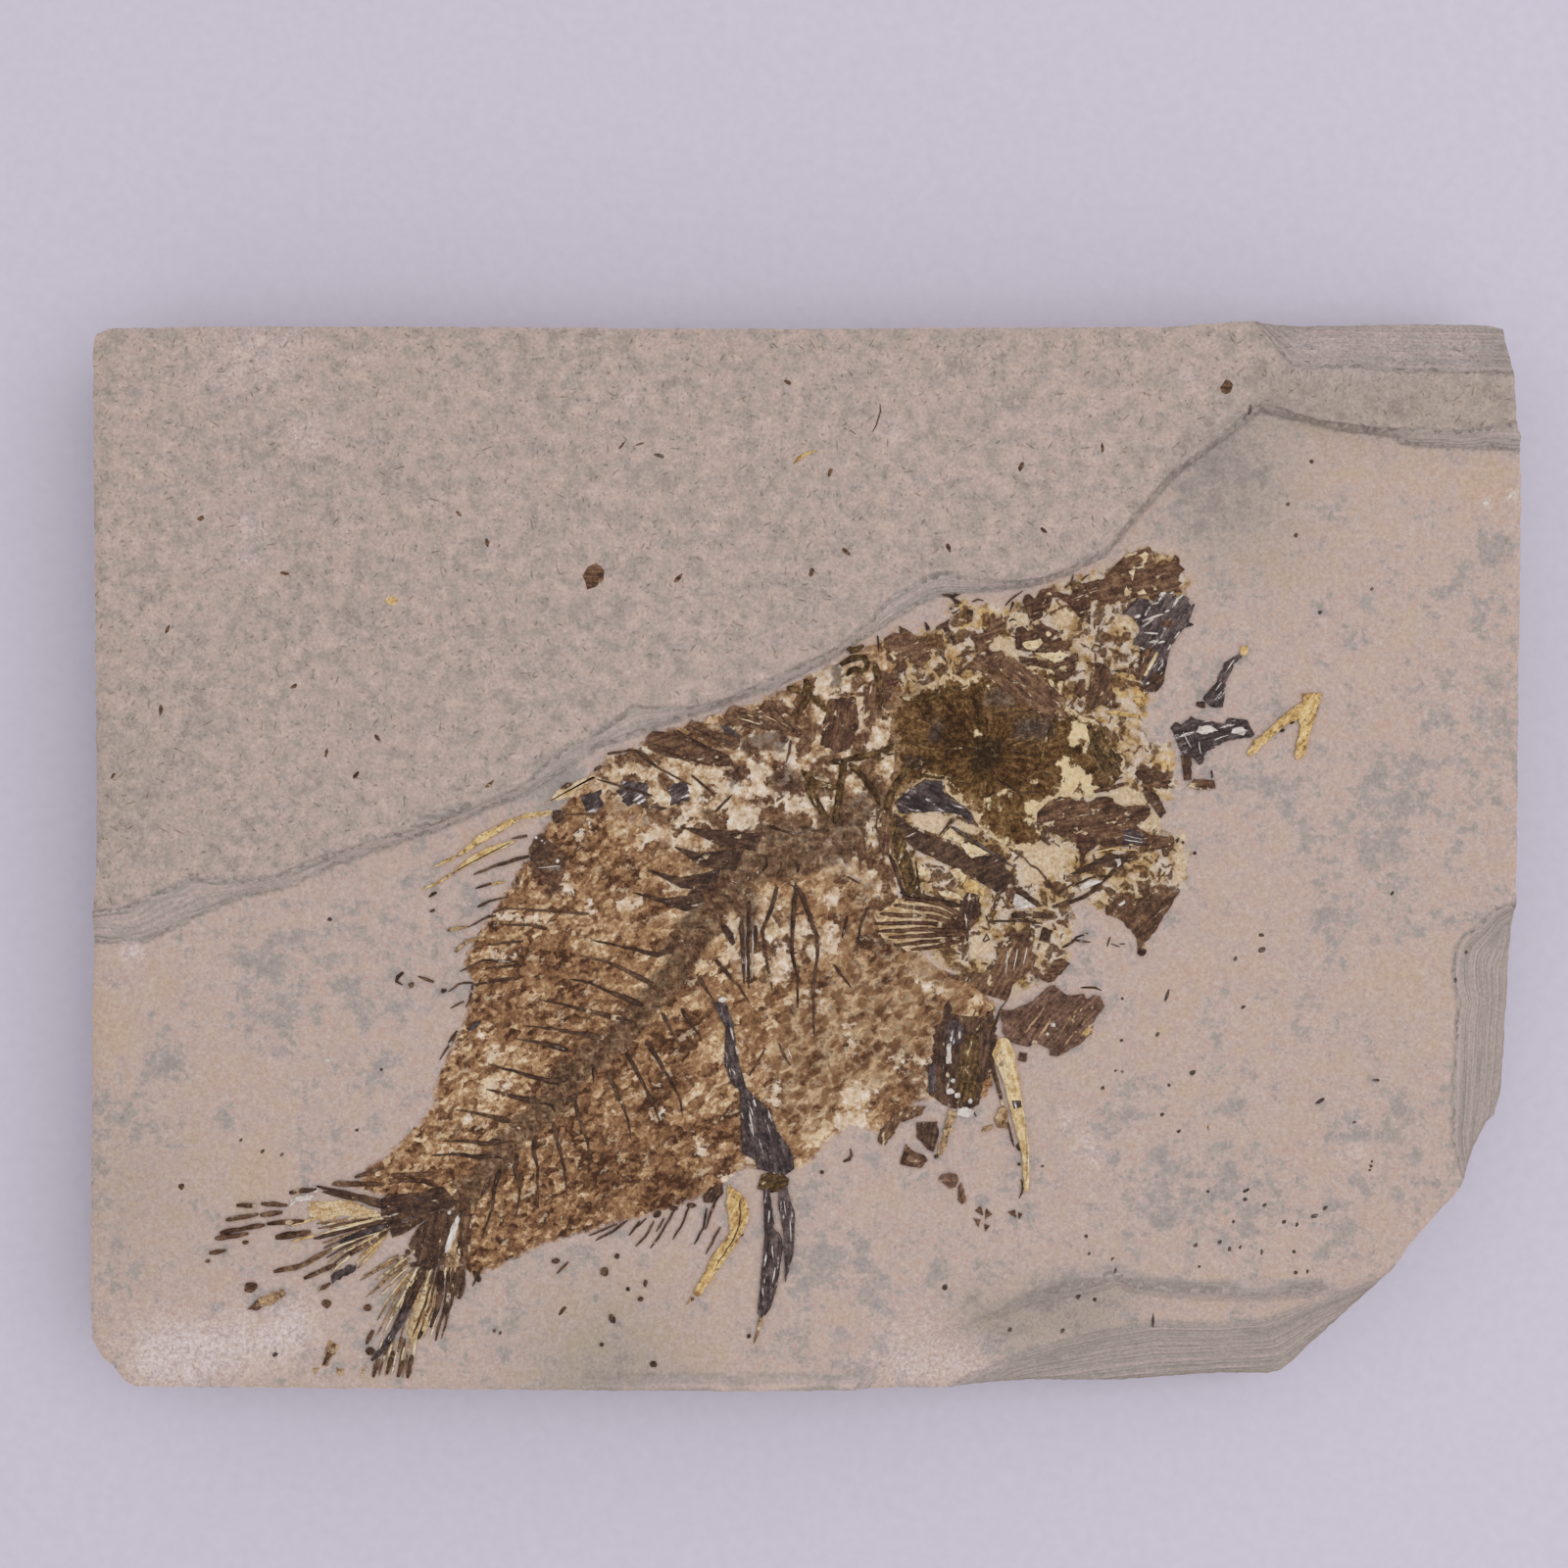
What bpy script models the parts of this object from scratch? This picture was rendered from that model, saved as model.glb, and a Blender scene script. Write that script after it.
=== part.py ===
"""Fossil fish slab: a flat piece of pale layered limestone that holds a crushed fish.

Plan outlines are in millimetres from the slab's lower left corner, x along its long
edge and y towards the top of its face.  The model itself is in metres, +Z up, with
its origin under the middle of the slab.
"""
import math

import bmesh
import bpy

# Driving dimensions, in millimetres.
MM = 0.001
PLAN_CENTRE = (72.7, 54.0)
UPPER_FACE = 14.0        # height of the stone layer that covers the upper left
FISH_FACE = 12.8         # height of the bedding plane that the fish lies on
BED_FLOOR = 12.0         # floor of the shallow beds that the fish's pieces lie in
FILM_LOW = 12.3          # underside of the fish's pieces
FILM_HIGH = 12.95        # top of the scale sheet and the fins' webs
BONE_HIGH = 13.15        # top of the skull plates and other flat bones
SPINE_HIGH = 13.25       # top of the stout fin spines
CLEARANCE = 0.3          # between any two pieces
WORN_EDGE = 0.5          # chamfer along the sawn edges, above and below
BEYOND = 6.0             # how far the cutting tools reach past the stone
WELD = 1e-6
FLATNESS = math.radians(0.2)   # faces closer in angle than this are one flat face
RIDGE_SINK = 0.06        # how far a ridge's axis lies under the face it stands on
FOUR_SIDES = 0           # bevel resolutions of the rods
SIX_SIDES = 1

NATURE = "fossil_fish_slab"
TOOLS = "cutting_tools"


# ---------------------------------------------------------------- outlines of the stone
SLAB_OUTLINE = [
    (0.0, 5.0), (1.2, 3.3), (2.5, 2.5), (3.0, 1.0), (4.5, 0.3), (15, 0.2), (30, 0.0),
    (50, -0.1), (65, -0.2), (80, 0.0), (100, 0.5), (104.5, 0.6), (110, 1.2), (115, 1.5),
    (120, 1.5), (121, 1.9), (123, 4.3), (125, 6.0), (127, 8.5), (129, 10.3), (131.5, 11.3),
    (135, 15.6), (138.5, 19.5), (140, 22), (141.8, 25.5), (142, 27), (143.1, 27.7),
    (143.5, 30), (143.8, 35), (144.2, 43), (144.3, 45.4), (144.9, 47), (145.2, 53),
    (145.4, 65), (145.5, 90), (145.6, 93), (145.5, 97), (145.1, 98.3), (144.7, 104),
    (144.2, 106.5), (143.7, 107.7), (142, 108), (134, 108.1), (130, 107.8), (119, 108.2),
    (110, 107.9), (90, 107.8), (70, 107.7), (50, 107.7), (30, 107.8), (15, 107.95),
    (5, 107.9), (1.5, 107.7), (0.4, 107.2), (0, 106.2), (0, 100), (0.4, 80), (0.6, 60),
    (0.4, 52), (0, 40), (-0.2, 10),
]

# The step between the two layers: its crest on the upper layer and its foot on the fish's.
LEDGE_CREST = [
    (-0.6, 48.2), (3, 49), (5, 50), (8, 51.2), (10, 52), (15, 51.7), (20, 52.7), (25, 54.5),
    (30, 56.3), (35, 57.5), (38.5, 59), (42, 60.5), (44, 61.5), (48, 65), (51, 66.5),
    (55, 69.5), (60, 69.3), (64, 70), (68, 72), (72, 73.5), (76, 75.5), (79, 78),
    (83, 81.3), (87, 83.3), (91, 82.3), (97, 82.7), (100, 83.8), (103, 85.3), (105, 87.6),
    (110, 93.3), (115, 96.9), (119.3, 100.5), (123, 99.2), (128, 98.3), (134, 97.9),
    (140, 97.6), (146.4, 98.5),
]
LEDGE_FOOT = [
    (-0.6, 45.2), (3, 45.2), (5, 45.3), (8, 46.6), (10, 47.7), (15, 49.8), (20, 51),
    (25, 53.3), (30, 55), (35, 56.7), (38.5, 58.1), (42, 59.5), (44, 60.3), (48, 62.7),
    (51, 65), (55, 66.5), (60, 68.2), (65, 69.8), (70, 71.5), (74, 73.4), (78, 76), (81, 78),
    (84, 79.7), (87, 80.9), (91, 81.4), (97, 82), (100.3, 83.3), (103.4, 84.9), (105.5, 87.3),
    (110.5, 92.9), (115.4, 96.4), (119.4, 99.6), (123, 98.6), (128, 97.6), (134, 96.5),
    (140, 96), (146.4, 95.5),
]

# Broken edges: a crest on the face, a foot where the break leaves the stone, and heights.
TOP_RIGHT_CREST = [(118.6, 108.9), (119.2, 107.8), (120.5, 106.5), (122.3, 104.4),
                   (128, 104), (134, 103.7), (140, 103.5), (146.4, 103.3)]
TOP_RIGHT_FOOT = [(119.4, 109.4), (120.6, 109.1), (122, 108.9), (124, 108.8),
                  (128, 108.8), (134, 108.8), (140, 108.8), (146.4, 108.6)]
RIGHT_CHIP_CREST = [(145.9, 49.4), (143.6, 48.8), (141.6, 47), (140, 46), (139.2, 44.2),
                    (139, 41.5), (139.7, 38.6), (139.4, 33), (139.1, 26), (139.6, 22.2),
                    (141, 20.8)]
RIGHT_CHIP_FOOT = [(146.2, 48.6), (145.8, 47.4), (145.4, 46.2), (145, 45), (144.8, 43),
                   (144.7, 41), (144.5, 38), (144.2, 33), (143.5, 27.3), (142, 23.5),
                   (141.6, 20.4)]
SHELF_CREST = [(76, -1), (80, 3), (84, 4.8), (89, 6.5), (93, 7.8), (97, 9.2), (101, 9.7),
               (104.5, 10.9), (107, 9.9), (112, 9.3), (120, 9.2), (126, 9.8), (131, 12.2)]
SHELF_FOOT = [(78, -1.2), (81, 2), (84.6, 3.8), (89.4, 5.4), (93.4, 6.8), (97.4, 8.1),
              (101.2, 8.7), (104.6, 9.7), (107, 8.8), (112, 8.2), (120, 8.1), (126.6, 8.9),
              (131.6, 11.4)]
SHELF_HEIGHT = 11.9
SHELF_EDGE_CREST = [(88, -1), (94, 2.6), (99, 4.2), (104, 5.4), (109, 6.2), (115, 6),
                    (120, 6.4), (125, 8), (130.4, 11.6)]
SHELF_EDGE_FOOT = [(89, -1.3), (95, -0.6), (100, -0.3), (105, 0), (110, 0.6), (115, 0.9),
                   (121.4, 1), (126, 5.6), (131, 10.2)]
BREAK_DEPTH = 5.0        # how far the broken edges fall below the face they start from


# ---------------------------------------------------------------- outlines of the fish
# Neighbours share their boundary points; each piece is then drawn in by half a clearance.
FLANK = [
    (27.4, 20.8), (28.2, 22.4), (29.5, 22.8), (31.6, 25.6), (33.1, 27.3), (34.4, 28.6),
    (34.2, 30.2), (35.3, 32.6), (36.4, 35.9), (38.2, 39.5), (38.3, 41.3), (37.3, 43),
    (38.6, 45.3), (40.2, 47.5), (42, 50.5), (44.3, 54.5), (45.8, 56.9), (47.4, 58.9),
    (49.7, 61.8), (52.4, 64.5), (56.2, 65.3), (58, 64.4), (61.5, 63.7), (65.7, 63.3),
    (66.3, 64.9), (66.2, 67.4), (68, 67.2), (72.8, 66.1), (71.3, 68.3), (70.8, 69.8),
    (71.6, 71.2), (73.4, 72.6), (76.4, 74), (78.6, 74.8), (80.5, 75.7), (81, 74.5), (83.2, 72),
    (82.4, 69), (81.8, 66), (80.9, 60.2), (80.5, 57.5), (80.4, 54.5), (81.4, 50.4),
    (80.1, 48.4), (80, 46.6), (80.5, 44.2), (83.2, 44.6), (85.3, 43), (87.4, 42.1),
    (89.3, 41.3), (90.4, 40.4), (89.6, 38.5), (88.6, 38.1), (87.3, 39.3), (86.2, 38),
    (86, 36), (86.2, 34), (85.3, 33.2), (85, 30.5), (85.8, 28.8), (84.3, 27.2),
    (82.2, 26.5), (81, 24.5), (80.1, 24.7), (79.6, 27.2), (77.6, 25.8), (77.5, 23.2),
    (75.6, 23.4), (74.7, 21.9), (71.6, 21.6), (71.4, 23.8), (69.7, 26.8), (68.2, 28.6),
    (66.6, 30.4), (66.1, 32.5), (65.3, 37.5), (64.6, 39.7), (63.4, 39.7), (62.6, 38.4),
    (63.9, 36.6), (64.3, 33.5), (65.2, 30.4), (65.9, 28.8), (66.1, 26), (66.3, 24),
    (67.2, 22.4), (65.6, 21.6), (64.2, 20.2), (63.3, 18.3), (59.2, 18.1), (57.3, 17.3),
    (53, 16.4), (49.8, 15.2), (46.2, 14.2), (43, 12.6), (41.3, 12.2), (39, 10.9),
    (37.9, 11), (37.7, 17.6), (36.6, 19.1), (35.3, 20.3), (33, 20.9), (30, 20.6),
]
ANAL_SUPPORT = [
    (62.6, 38.4), (63.4, 39.7), (64.6, 39.7), (65.3, 37.5), (66.1, 32.5), (66.6, 30.4),
    (68.2, 28.6), (69.7, 26.8), (71.4, 23.8), (71.6, 21.6), (70.6, 21.2), (68.6, 21.2),
    (67.2, 22.4), (66.3, 24), (66.1, 26), (65.9, 28.8), (65.2, 30.4), (64.3, 33.5),
    (63.9, 36.6),
]
TAIL_UPPER = [
    (36.6, 19.1), (35.3, 20.3), (33, 20.9), (30, 20.6), (27.4, 20.8), (24.2, 20.9),
    (21.5, 20.2), (18, 19.4), (14.3, 19), (12.6, 16.9), (11.8, 14.6), (14.2, 14.4),
    (17.2, 15), (20.6, 14), (17.8, 11.9), (18.2, 11.3), (20.7, 11.5), (21, 10.5),
    (22.9, 10.7), (22.4, 9.2), (26.3, 11), (28, 12.8), (29.8, 14.4), (32.5, 15.7),
    (34.3, 16.6), (36.9, 18.1),
]
TAIL_LOWER = [
    (36.9, 18.1), (37.7, 17.6), (37.9, 11), (37.2, 8.6), (36.5, 7.8), (35.8, 5.6),
    (34.8, 4), (33.4, 4), (32.7, 1.7), (31.2, 1.2), (28.2, 1.1), (27.8, 2.8), (28.6, 4.4),
    (27.6, 5.4), (28.4, 6.6), (27.3, 8), (28.2, 9.4), (27.3, 10.4), (29.6, 11.6),
    (31.4, 13.2), (32.5, 15.7), (34.3, 16.6),
]
DORSAL_FIN = [
    (37.3, 43), (38.6, 45.3), (40.2, 47.5), (42, 50.5), (44.3, 54.5), (45.8, 56.9),
    (47.4, 58.9), (45.2, 59), (43.2, 58.5), (40.6, 57.7), (38.5, 56.3), (36.4, 54.4),
    (34.3, 53.1), (35.8, 52), (33.2, 50.4), (34, 48.2), (35.4, 46), (36.3, 44.2),
]
NAPE_BLADES = {
    "nape_blade_front": [
        (64, 67.6), (64.8, 69.4), (65.5, 69.6), (67.3, 69.1), (68.5, 70.1), (69.4, 70),
        (71.3, 68.3), (72.8, 66.1), (68, 67.2), (66.2, 67.4),
    ],
    "nape_blade_middle": [
        (60.2, 67.2), (61, 68.2), (64, 67.6), (66.2, 67.4), (66.3, 64.9), (65.7, 64.3),
        (62.6, 65.9),
    ],
    "nape_blade_rear": [
        (56.2, 65.3), (56.3, 66.5), (57.4, 67), (60.2, 67.2), (62.6, 65.9), (65.7, 64.3),
        (65.7, 63.3), (61.5, 63.7), (58, 64.4),
    ],
}
SKULL = [
    (83.2, 72), (84.2, 73.5), (86, 73.6), (87.6, 72.6), (90, 73.6), (93.5, 73),
    (96, 71.5), (98.5, 70.6), (100.5, 69.2), (103.2, 67.6), (104, 66), (105.3, 64.1),
    (105.2, 62.4), (103.6, 61), (102.3, 60.3), (99.5, 59.8), (97.4, 58.2), (94.8, 58.3),
    (90.5, 57.6), (88, 58.4), (85.5, 58.4), (83, 59.9), (80.9, 60.2), (81.8, 66),
    (82.4, 69),
]
SKULL_ROOF = [
    (80.5, 75.7), (82.3, 77.7), (84, 77.2), (86, 78), (86.7, 80.5), (88.8, 80.8),
    (90, 79.6), (92.5, 79.8), (94.9, 81.1), (96.2, 80.6), (98.3, 81.6), (100.5, 80.8),
    (102.2, 79.4), (103.6, 78.6), (103.7, 76.4), (103.2, 74), (103.9, 71.5), (104.3, 69.4),
    (103.2, 67.6), (100.5, 69.2), (98.5, 70.6), (96, 71.5), (93.5, 73), (90, 73.6),
    (87.6, 72.6), (86, 73.6), (84.2, 73.5), (83.2, 72), (81, 74.5),
]
SNOUT = [
    (101.3, 81.6), (103, 82.5), (104.4, 83.7), (105.8, 85.1), (108, 85.9), (108.6, 84.3),
    (109.4, 83.9), (110.2, 85), (111.7, 83.5), (111, 81.6), (112.7, 79.8), (112, 78.2),
    (110.5, 76), (109.8, 74.2), (109.5, 71.6), (107.4, 70.8), (104.3, 69.4), (103.9, 71.5),
    (103.2, 74), (103.7, 76.4), (103.6, 78.6), (102.2, 79.4),
]
SHOULDER_GIRDLE = [
    (80.9, 60.2), (83, 59.9), (85.5, 58.4), (88, 58.4), (90.5, 57.6), (93.8, 53.2),
    (94.2, 51.2), (92.8, 50), (91.3, 47.8), (90.2, 48), (88.2, 49.9), (84.2, 50),
    (82.6, 48.2), (80.1, 48.4), (81.4, 50.4), (80.4, 54.5), (80.5, 57.5),
]
PECTORAL_FIN = [
    (88.2, 49.9), (88.9, 48), (89, 46), (88, 45), (86.8, 43.7), (85.3, 43), (83.2, 44.6),
    (80.5, 44.2), (80, 46.6), (80.1, 48.4), (82.6, 48.2), (84.2, 50),
]
GILL_BONES = [
    (94.2, 51.2), (93.8, 53.2), (90.5, 57.6), (94.8, 58.3), (97.4, 58.2), (99.5, 59.8),
    (102.3, 60.3), (104.6, 60.2), (107.9, 60.2), (108, 57.2), (110.4, 56.4), (110, 54.4),
    (106.3, 54.2), (105, 52), (102.8, 50.4), (98.6, 48.4), (98.2, 47.2), (95.2, 46.9),
    (93, 47.2), (91.3, 47.8), (92.8, 50),
]
BREAST_PLATE = [
    (87.4, 42.1), (90, 42.4), (92.3, 42.6), (92.6, 43.6), (92.2, 45.4), (93.6, 46.2),
    (95, 46.6), (96, 46.3), (96.4, 44), (96.2, 42.1), (94.6, 41.3), (93.8, 40),
    (93.2, 39), (91.6, 39.6), (90.4, 40.4), (89.3, 41.3),
]
GILL_PLATE = [
    (92.7, 38.2), (93, 36.6), (94, 35.2), (95.7, 34.6), (97.7, 34.4), (98.4, 33.6),
    (100.5, 34.6), (101.8, 35.6), (102.4, 37.4), (103.2, 38.2), (103.4, 39.2),
    (102.6, 39.8), (100.8, 40), (99.5, 39.9), (98.2, 41), (97.2, 40.4), (95.4, 38.8),
    (94.2, 38.4),
]
CHEEK_PLATE = [
    (103.4, 48.7), (105.2, 49.9), (106.5, 49.7), (108.8, 51.2), (111, 50.4), (109.8, 48.3),
    (108.6, 46.5), (107.7, 45.2), (108, 44), (106.9, 43.8), (106.2, 46), (104.8, 47.6),
]
PELVIC_GIRDLE = [
    (86.2, 38), (87.3, 39.3), (88.6, 38.1), (89.6, 38.5), (91.6, 38.4), (92.2, 37),
    (91.6, 35), (91.2, 33), (91.6, 31.2), (91.3, 29.5), (90, 29), (89.8, 27.7),
    (88.2, 27.6), (87.2, 25.2), (86.2, 23.3), (85.2, 24), (84.1, 25.7), (84.3, 27.2),
    (85.8, 28.8), (85, 30.5), (85.3, 33.2), (86.2, 34), (86, 36),
]
PELVIC_SPINE = [
    (92.2, 35.6), (93.3, 34.9), (94.2, 33.4), (94.8, 31), (95.2, 28), (95.6, 25),
    (95.8, 22.5), (95.7, 19.8), (95.0, 19.8), (94.9, 22.5), (94.5, 25), (94.1, 27.5),
    (93.5, 30), (92.9, 32.3), (92.1, 34),
]
ANAL_FIN = [
    (49.8, 15.2), (51.3, 14.4), (54.2, 14.8), (55.2, 13.8), (56.7, 13.5), (58.8, 14.3),
    (61, 14), (62.3, 12.9), (63.2, 13.6), (64.4, 16), (63.6, 17.2), (63.3, 18.3),
    (59.2, 18.1), (57.3, 17.3), (53, 16.4),
]
ANAL_SPINES = {
    "anal_spine_rear": [
        (64.2, 20.2), (65.6, 21.6), (66.6, 20.6), (66.9, 18.7), (66.8, 16.8), (66, 15),
        (64.2, 12.3), (62.4, 9.8), (61.4, 8.6), (60.2, 7.4), (60.5, 8.3), (61.4, 9.8),
        (62.6, 11.8), (64.4, 14.6), (64.8, 16.6), (64.6, 18.6),
    ],
    "anal_spine_long": [
        (68.2, 21.2), (68.5, 19.5), (68.6, 17.5), (68.4, 13.5), (68, 10), (67.6, 6.5),
        (67.2, 4.2), (67.9, 4.9), (68.6, 6.8), (69.2, 8.8), (69.7, 10.6), (70.1, 13.8),
        (69.7, 16), (69.5, 18), (69.5, 21.2),
    ],
    "anal_spine_front": [
        (70, 21.2), (71.2, 21.2), (71.5, 19.6), (71.9, 17.2), (71.9, 15), (71.4, 12.6),
        (70.9, 10.2), (70.4, 10.2), (70.5, 12.4), (70.6, 14.4), (70.1, 16.6), (70, 18.4),
    ],
}
TOOTHED_JAW = [
    (110.2, 67.3), (110.7, 68), (112.5, 68.4), (115.8, 67.8), (116.3, 68.4), (118, 68.2),
    (118.7, 66.5), (116, 66), (114.2, 65), (113.3, 63.5), (111.3, 64.7), (110.4, 66.2),
]
JAW_ROD = [
    (117.4, 75.2), (115.6, 74.1), (115.2, 73), (114.7, 72), (113.2, 70.2), (113.9, 69.2),
    (115.7, 69.1), (115.9, 71.2), (116.3, 72.6), (116.8, 73.9), (118.1, 74.8), (118, 75.7),
]
FORKED_BONE = [
    (123.6, 71), (125.9, 71), (125.4, 69.1), (124.9, 68), (124.3, 66), (123.8, 64.1),
    (122.8, 64.1), (123, 66), (123.2, 67.5), (122.2, 67.4), (120.5, 66.2), (118.2, 64),
    (117.6, 64.8), (119, 66.4), (121, 68.3), (122.9, 69.6),
]
LIP_PLATE = [
    (106.7, 62.2), (107.1, 63.7), (108.4, 63.4), (109.8, 62.6), (110.3, 61.7), (108.5, 60.9),
]
JAW_CHIP = [(111.9, 61.4), (112.8, 62.1), (114.8, 61.9), (114.8, 61), (113.2, 60.7)]
LOOSE_SCALES = {
    "loose_scale_large": [
        (82.4, 22.4), (82.8, 24), (84, 23.8), (85, 23.5), (85.3, 22.6), (84.7, 22),
    ],
    "loose_scale_small": [
        (86.2, 20.9), (86.9, 21.6), (88.2, 21.4), (88.4, 20.6), (87.9, 19.9), (87.1, 20.2),
    ],
}


# ---------------------------------------------------------------- ridges on the pieces
BACKBONE = [
    (38.6, 19.8), (41.2, 22.8), (43.2, 25.6), (46, 28.4), (48, 31), (51, 33.5), (54, 36),
    (57, 39.5), (59.5, 42.5), (62, 46), (64, 49.5), (66, 52), (68, 53.4), (71, 53.2),
    (75, 54.5), (79.4, 57.2),
]
NEURAL_SPINES = [           # each from its root on the backbone to its tip
    [(40.6, 23.2), (38, 23.5), (35.6, 23.5)], [(42, 24.9), (39.9, 24.7), (35.8, 24.9)],
    [(43.4, 26.6), (40.8, 27.4), (37, 28.1)], [(45.4, 28.9), (42.9, 29.4), (40.4, 30.2)],
    [(47.6, 30.9), (44.6, 31.6), (40.6, 32.7)], [(50.2, 33.6), (47.2, 34.6), (43.2, 35.3)],
    [(52, 35.5), (48, 36.2), (44.2, 36.7)], [(54.5, 37.2), (51, 38), (46, 39.4)],
    [(56.2, 38.9), (52, 40.5), (49, 41.4)], [(57.8, 41.8), (54, 42.9), (49.6, 43.9)],
    [(59.6, 43.8), (56, 44.4), (51.8, 45.4)], [(61, 46.2), (57, 47), (52.6, 48.3)],
    [(62, 49.2), (58.5, 49.2), (54.8, 50.3)], [(64, 51.5), (60, 51.3), (56.6, 52.5)],
    [(65.2, 53.4), (62, 53.6), (59.4, 55)], [(67.4, 55.2), (64, 55.8), (60.4, 57)],
]
HAEMAL_SPINES = [
    [(41.3, 21.9), (40.6, 18.6), (39.5, 15)], [(43, 23.6), (43.4, 20), (43, 16.6)],
    [(45, 26), (44.8, 23.6), (45.3, 18.4)], [(46.9, 27.5), (47.7, 24), (48.3, 19.4)],
    [(49, 29.3), (50.3, 25.2), (50.6, 21.4)], [(52.4, 33), (53.2, 29.8), (54.8, 25.2)],
    [(54.2, 34.6), (56.4, 30.8), (57.8, 26.4)], [(56.6, 36.8), (58.6, 32), (59.9, 27.6)],
    [(57.8, 38.6), (59.4, 35), (60.2, 33)], [(61.2, 42.2), (62.4, 40.3), (62.4, 39.6)],
]
RIBS = [
    [(67, 49.6), (66.2, 46), (66, 42), (66.6, 40.6)], [(67.6, 48.8), (67, 44), (67.4, 40.8)],
    [(69.2, 50.6), (68.6, 46), (68.8, 41), (69.4, 38)], [(71.4, 50.6), (71.5, 45), (71.9, 38.8)],
    [(71.2, 51.6), (72.8, 49.4), (73.8, 45), (73.6, 36)],
]
FLANK_BARS = [              # loose bones that lie across the front of the flank
    [(73, 71.4), (73.1, 70.2), (75.2, 68.9)], [(73.1, 70.2), (71.6, 68.6)],
    [(72.4, 63), (74.8, 58.6)], [(76.6, 62.8), (76, 58)], [(75.4, 63.8), (79.6, 64.3)],
    [(77.3, 63.5), (79.3, 61.6), (80, 59.6)], [(48.2, 58.5), (51.4, 58.6)],
    [(51.5, 62), (56.8, 60.3)], [(54, 64), (60.8, 61.5)], [(40.8, 48.4), (50.2, 48.2)],
    [(69.6, 63), (71.8, 61)],
]
TAIL_UPPER_RAYS = [
    [(30.5, 19.3), (25, 19.7), (22.3, 19.7)], [(30.5, 19.9), (27.5, 20.3), (23.6, 20.3)],
    [(20.8, 18.5), (14.7, 18.4)], [(21.5, 17.9), (16, 17.3), (13.5, 16.9)],
    [(21.2, 16.7), (17.3, 16.1), (12.5, 14.9)], [(30.2, 17), (26, 16), (22.3, 14.6)],
    [(30.4, 16.3), (25, 14.6)], [(30.7, 15.6), (27.9, 14.35), (26.1, 13.25)],
    [(24.2, 13.9), (21.7, 12.7), (18.7, 11.8)], [(24.6, 12.2), (21.4, 10.9)],
    [(26.4, 12.1), (23.8, 10.3)], [(22, 15.8), (18.7, 15.1)],
]
TAIL_LOWER_RAYS = [
    [(34.2, 12.2), (32.2, 8.4), (30.4, 4.4)], [(32.1, 9.9), (31, 7.3)],
    [(35.2, 12), (35.1, 8.6), (34.2, 5.7)], [(36.1, 12), (36.2, 8.8), (35.6, 6)],
    [(33, 12.4), (30, 9.2), (28.8, 7)], [(32.4, 13.2), (28.4, 10.8)],
    [(37.1, 16.8), (36.3, 12.6)], [(29, 5), (28.4, 3), (28.6, 1.6)],
    [(31.9, 4.8), (31.4, 3.4)], [(32.2, 2.6), (31.7, 1.6)],
]
HYPURAL_BARS = [
    [(36.4, 18.9), (33.5, 18.8), (30.2, 18.6)], [(35.6, 18.1), (33, 17.6), (30.4, 17.2)],
]
HYPURAL_BARS_LOWER = [
    [(36.6, 17.4), (35.8, 15), (35.2, 12.6)], [(35.8, 17.1), (34.4, 14.6), (33.9, 12.6)],
]
DORSAL_RAYS = [
    [(43.3, 57.7), (40.5, 56.8), (37.8, 55)], [(42.8, 55.3), (39.5, 54.3), (36.6, 52.6)],
    [(43.2, 53.8), (38.9, 52.3)], [(41.6, 51.2), (38.8, 50.7)], [(41, 49.6), (39.3, 49.1)],
    [(40, 47.9), (38.2, 47)], [(39, 46.3), (37.2, 45)], [(46.6, 58.6), (43.6, 58)],
]
ANAL_RAYS = [
    [(54.2, 16.4), (51.3, 14.9)], [(55.2, 16.5), (54.6, 15.4)], [(57, 16.8), (55.3, 14.2)],
    [(59.2, 17.6), (56.9, 14)], [(60.8, 17.7), (59.1, 14.8)], [(62.9, 17.7), (61.3, 14.5)],
    [(64, 16), (62.6, 13.5)],
]
PECTORAL_RAYS = [
    [(88.3, 49.2), (85, 49.6)], [(88.5, 48.4), (84.6, 48.9)], [(88.5, 47.6), (81, 47.6)],
    [(88.6, 46.9), (81, 46.9)], [(88.6, 46.3), (81.2, 46)], [(88.4, 45.9), (81.4, 44.7)],
    [(87.8, 45.4), (85.6, 43.6)],
]
SKULL_BARS = [
    [(84.2, 72.4), (83.2, 69), (82.4, 65)], [(101.8, 68), (103.8, 65), (104.6, 62.8)],
    [(84, 60.4), (88, 59.6), (92, 58.8)], [(96, 59.2), (99, 60.6), (103.4, 61.8)],
]
EYE_SOCKET = (91.6, 64.8)
EYE_SOCKET_RADIUS = 2.2
ROOF_BARS = [
    [(88.4, 73.4), (90, 75.3), (93, 77.9)], [(88.3, 74.8), (90, 75.3), (97.6, 71.9)],
    [(81.4, 75.2), (84.8, 75.2)], [(95.6, 79.9), (98.2, 80.6), (101.4, 79.1)],
    [(95.2, 74.5), (98.2, 73.2), (100.4, 74.8)], [(97.2, 78), (98.4, 76.6), (99.4, 75.4)],
    [(102.6, 75), (102.9, 72), (103.8, 70)],
]
SNOUT_BARS = [
    [(102.2, 81.4), (106, 82.4), (110.6, 82)], [(106.6, 80), (109, 80.4), (112, 79.6)],
    [(107.4, 78.6), (110.2, 78.9)], [(107.6, 76), (109.6, 75.6)], [(104, 73.1), (106.8, 73.2)],
]
SHOULDER_BARS = [
    [(81.6, 58.4), (85.6, 56.2), (90, 52.8), (92.8, 51.2)],
    [(81.6, 59), (81.3, 55), (82.4, 51)],
]
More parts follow.
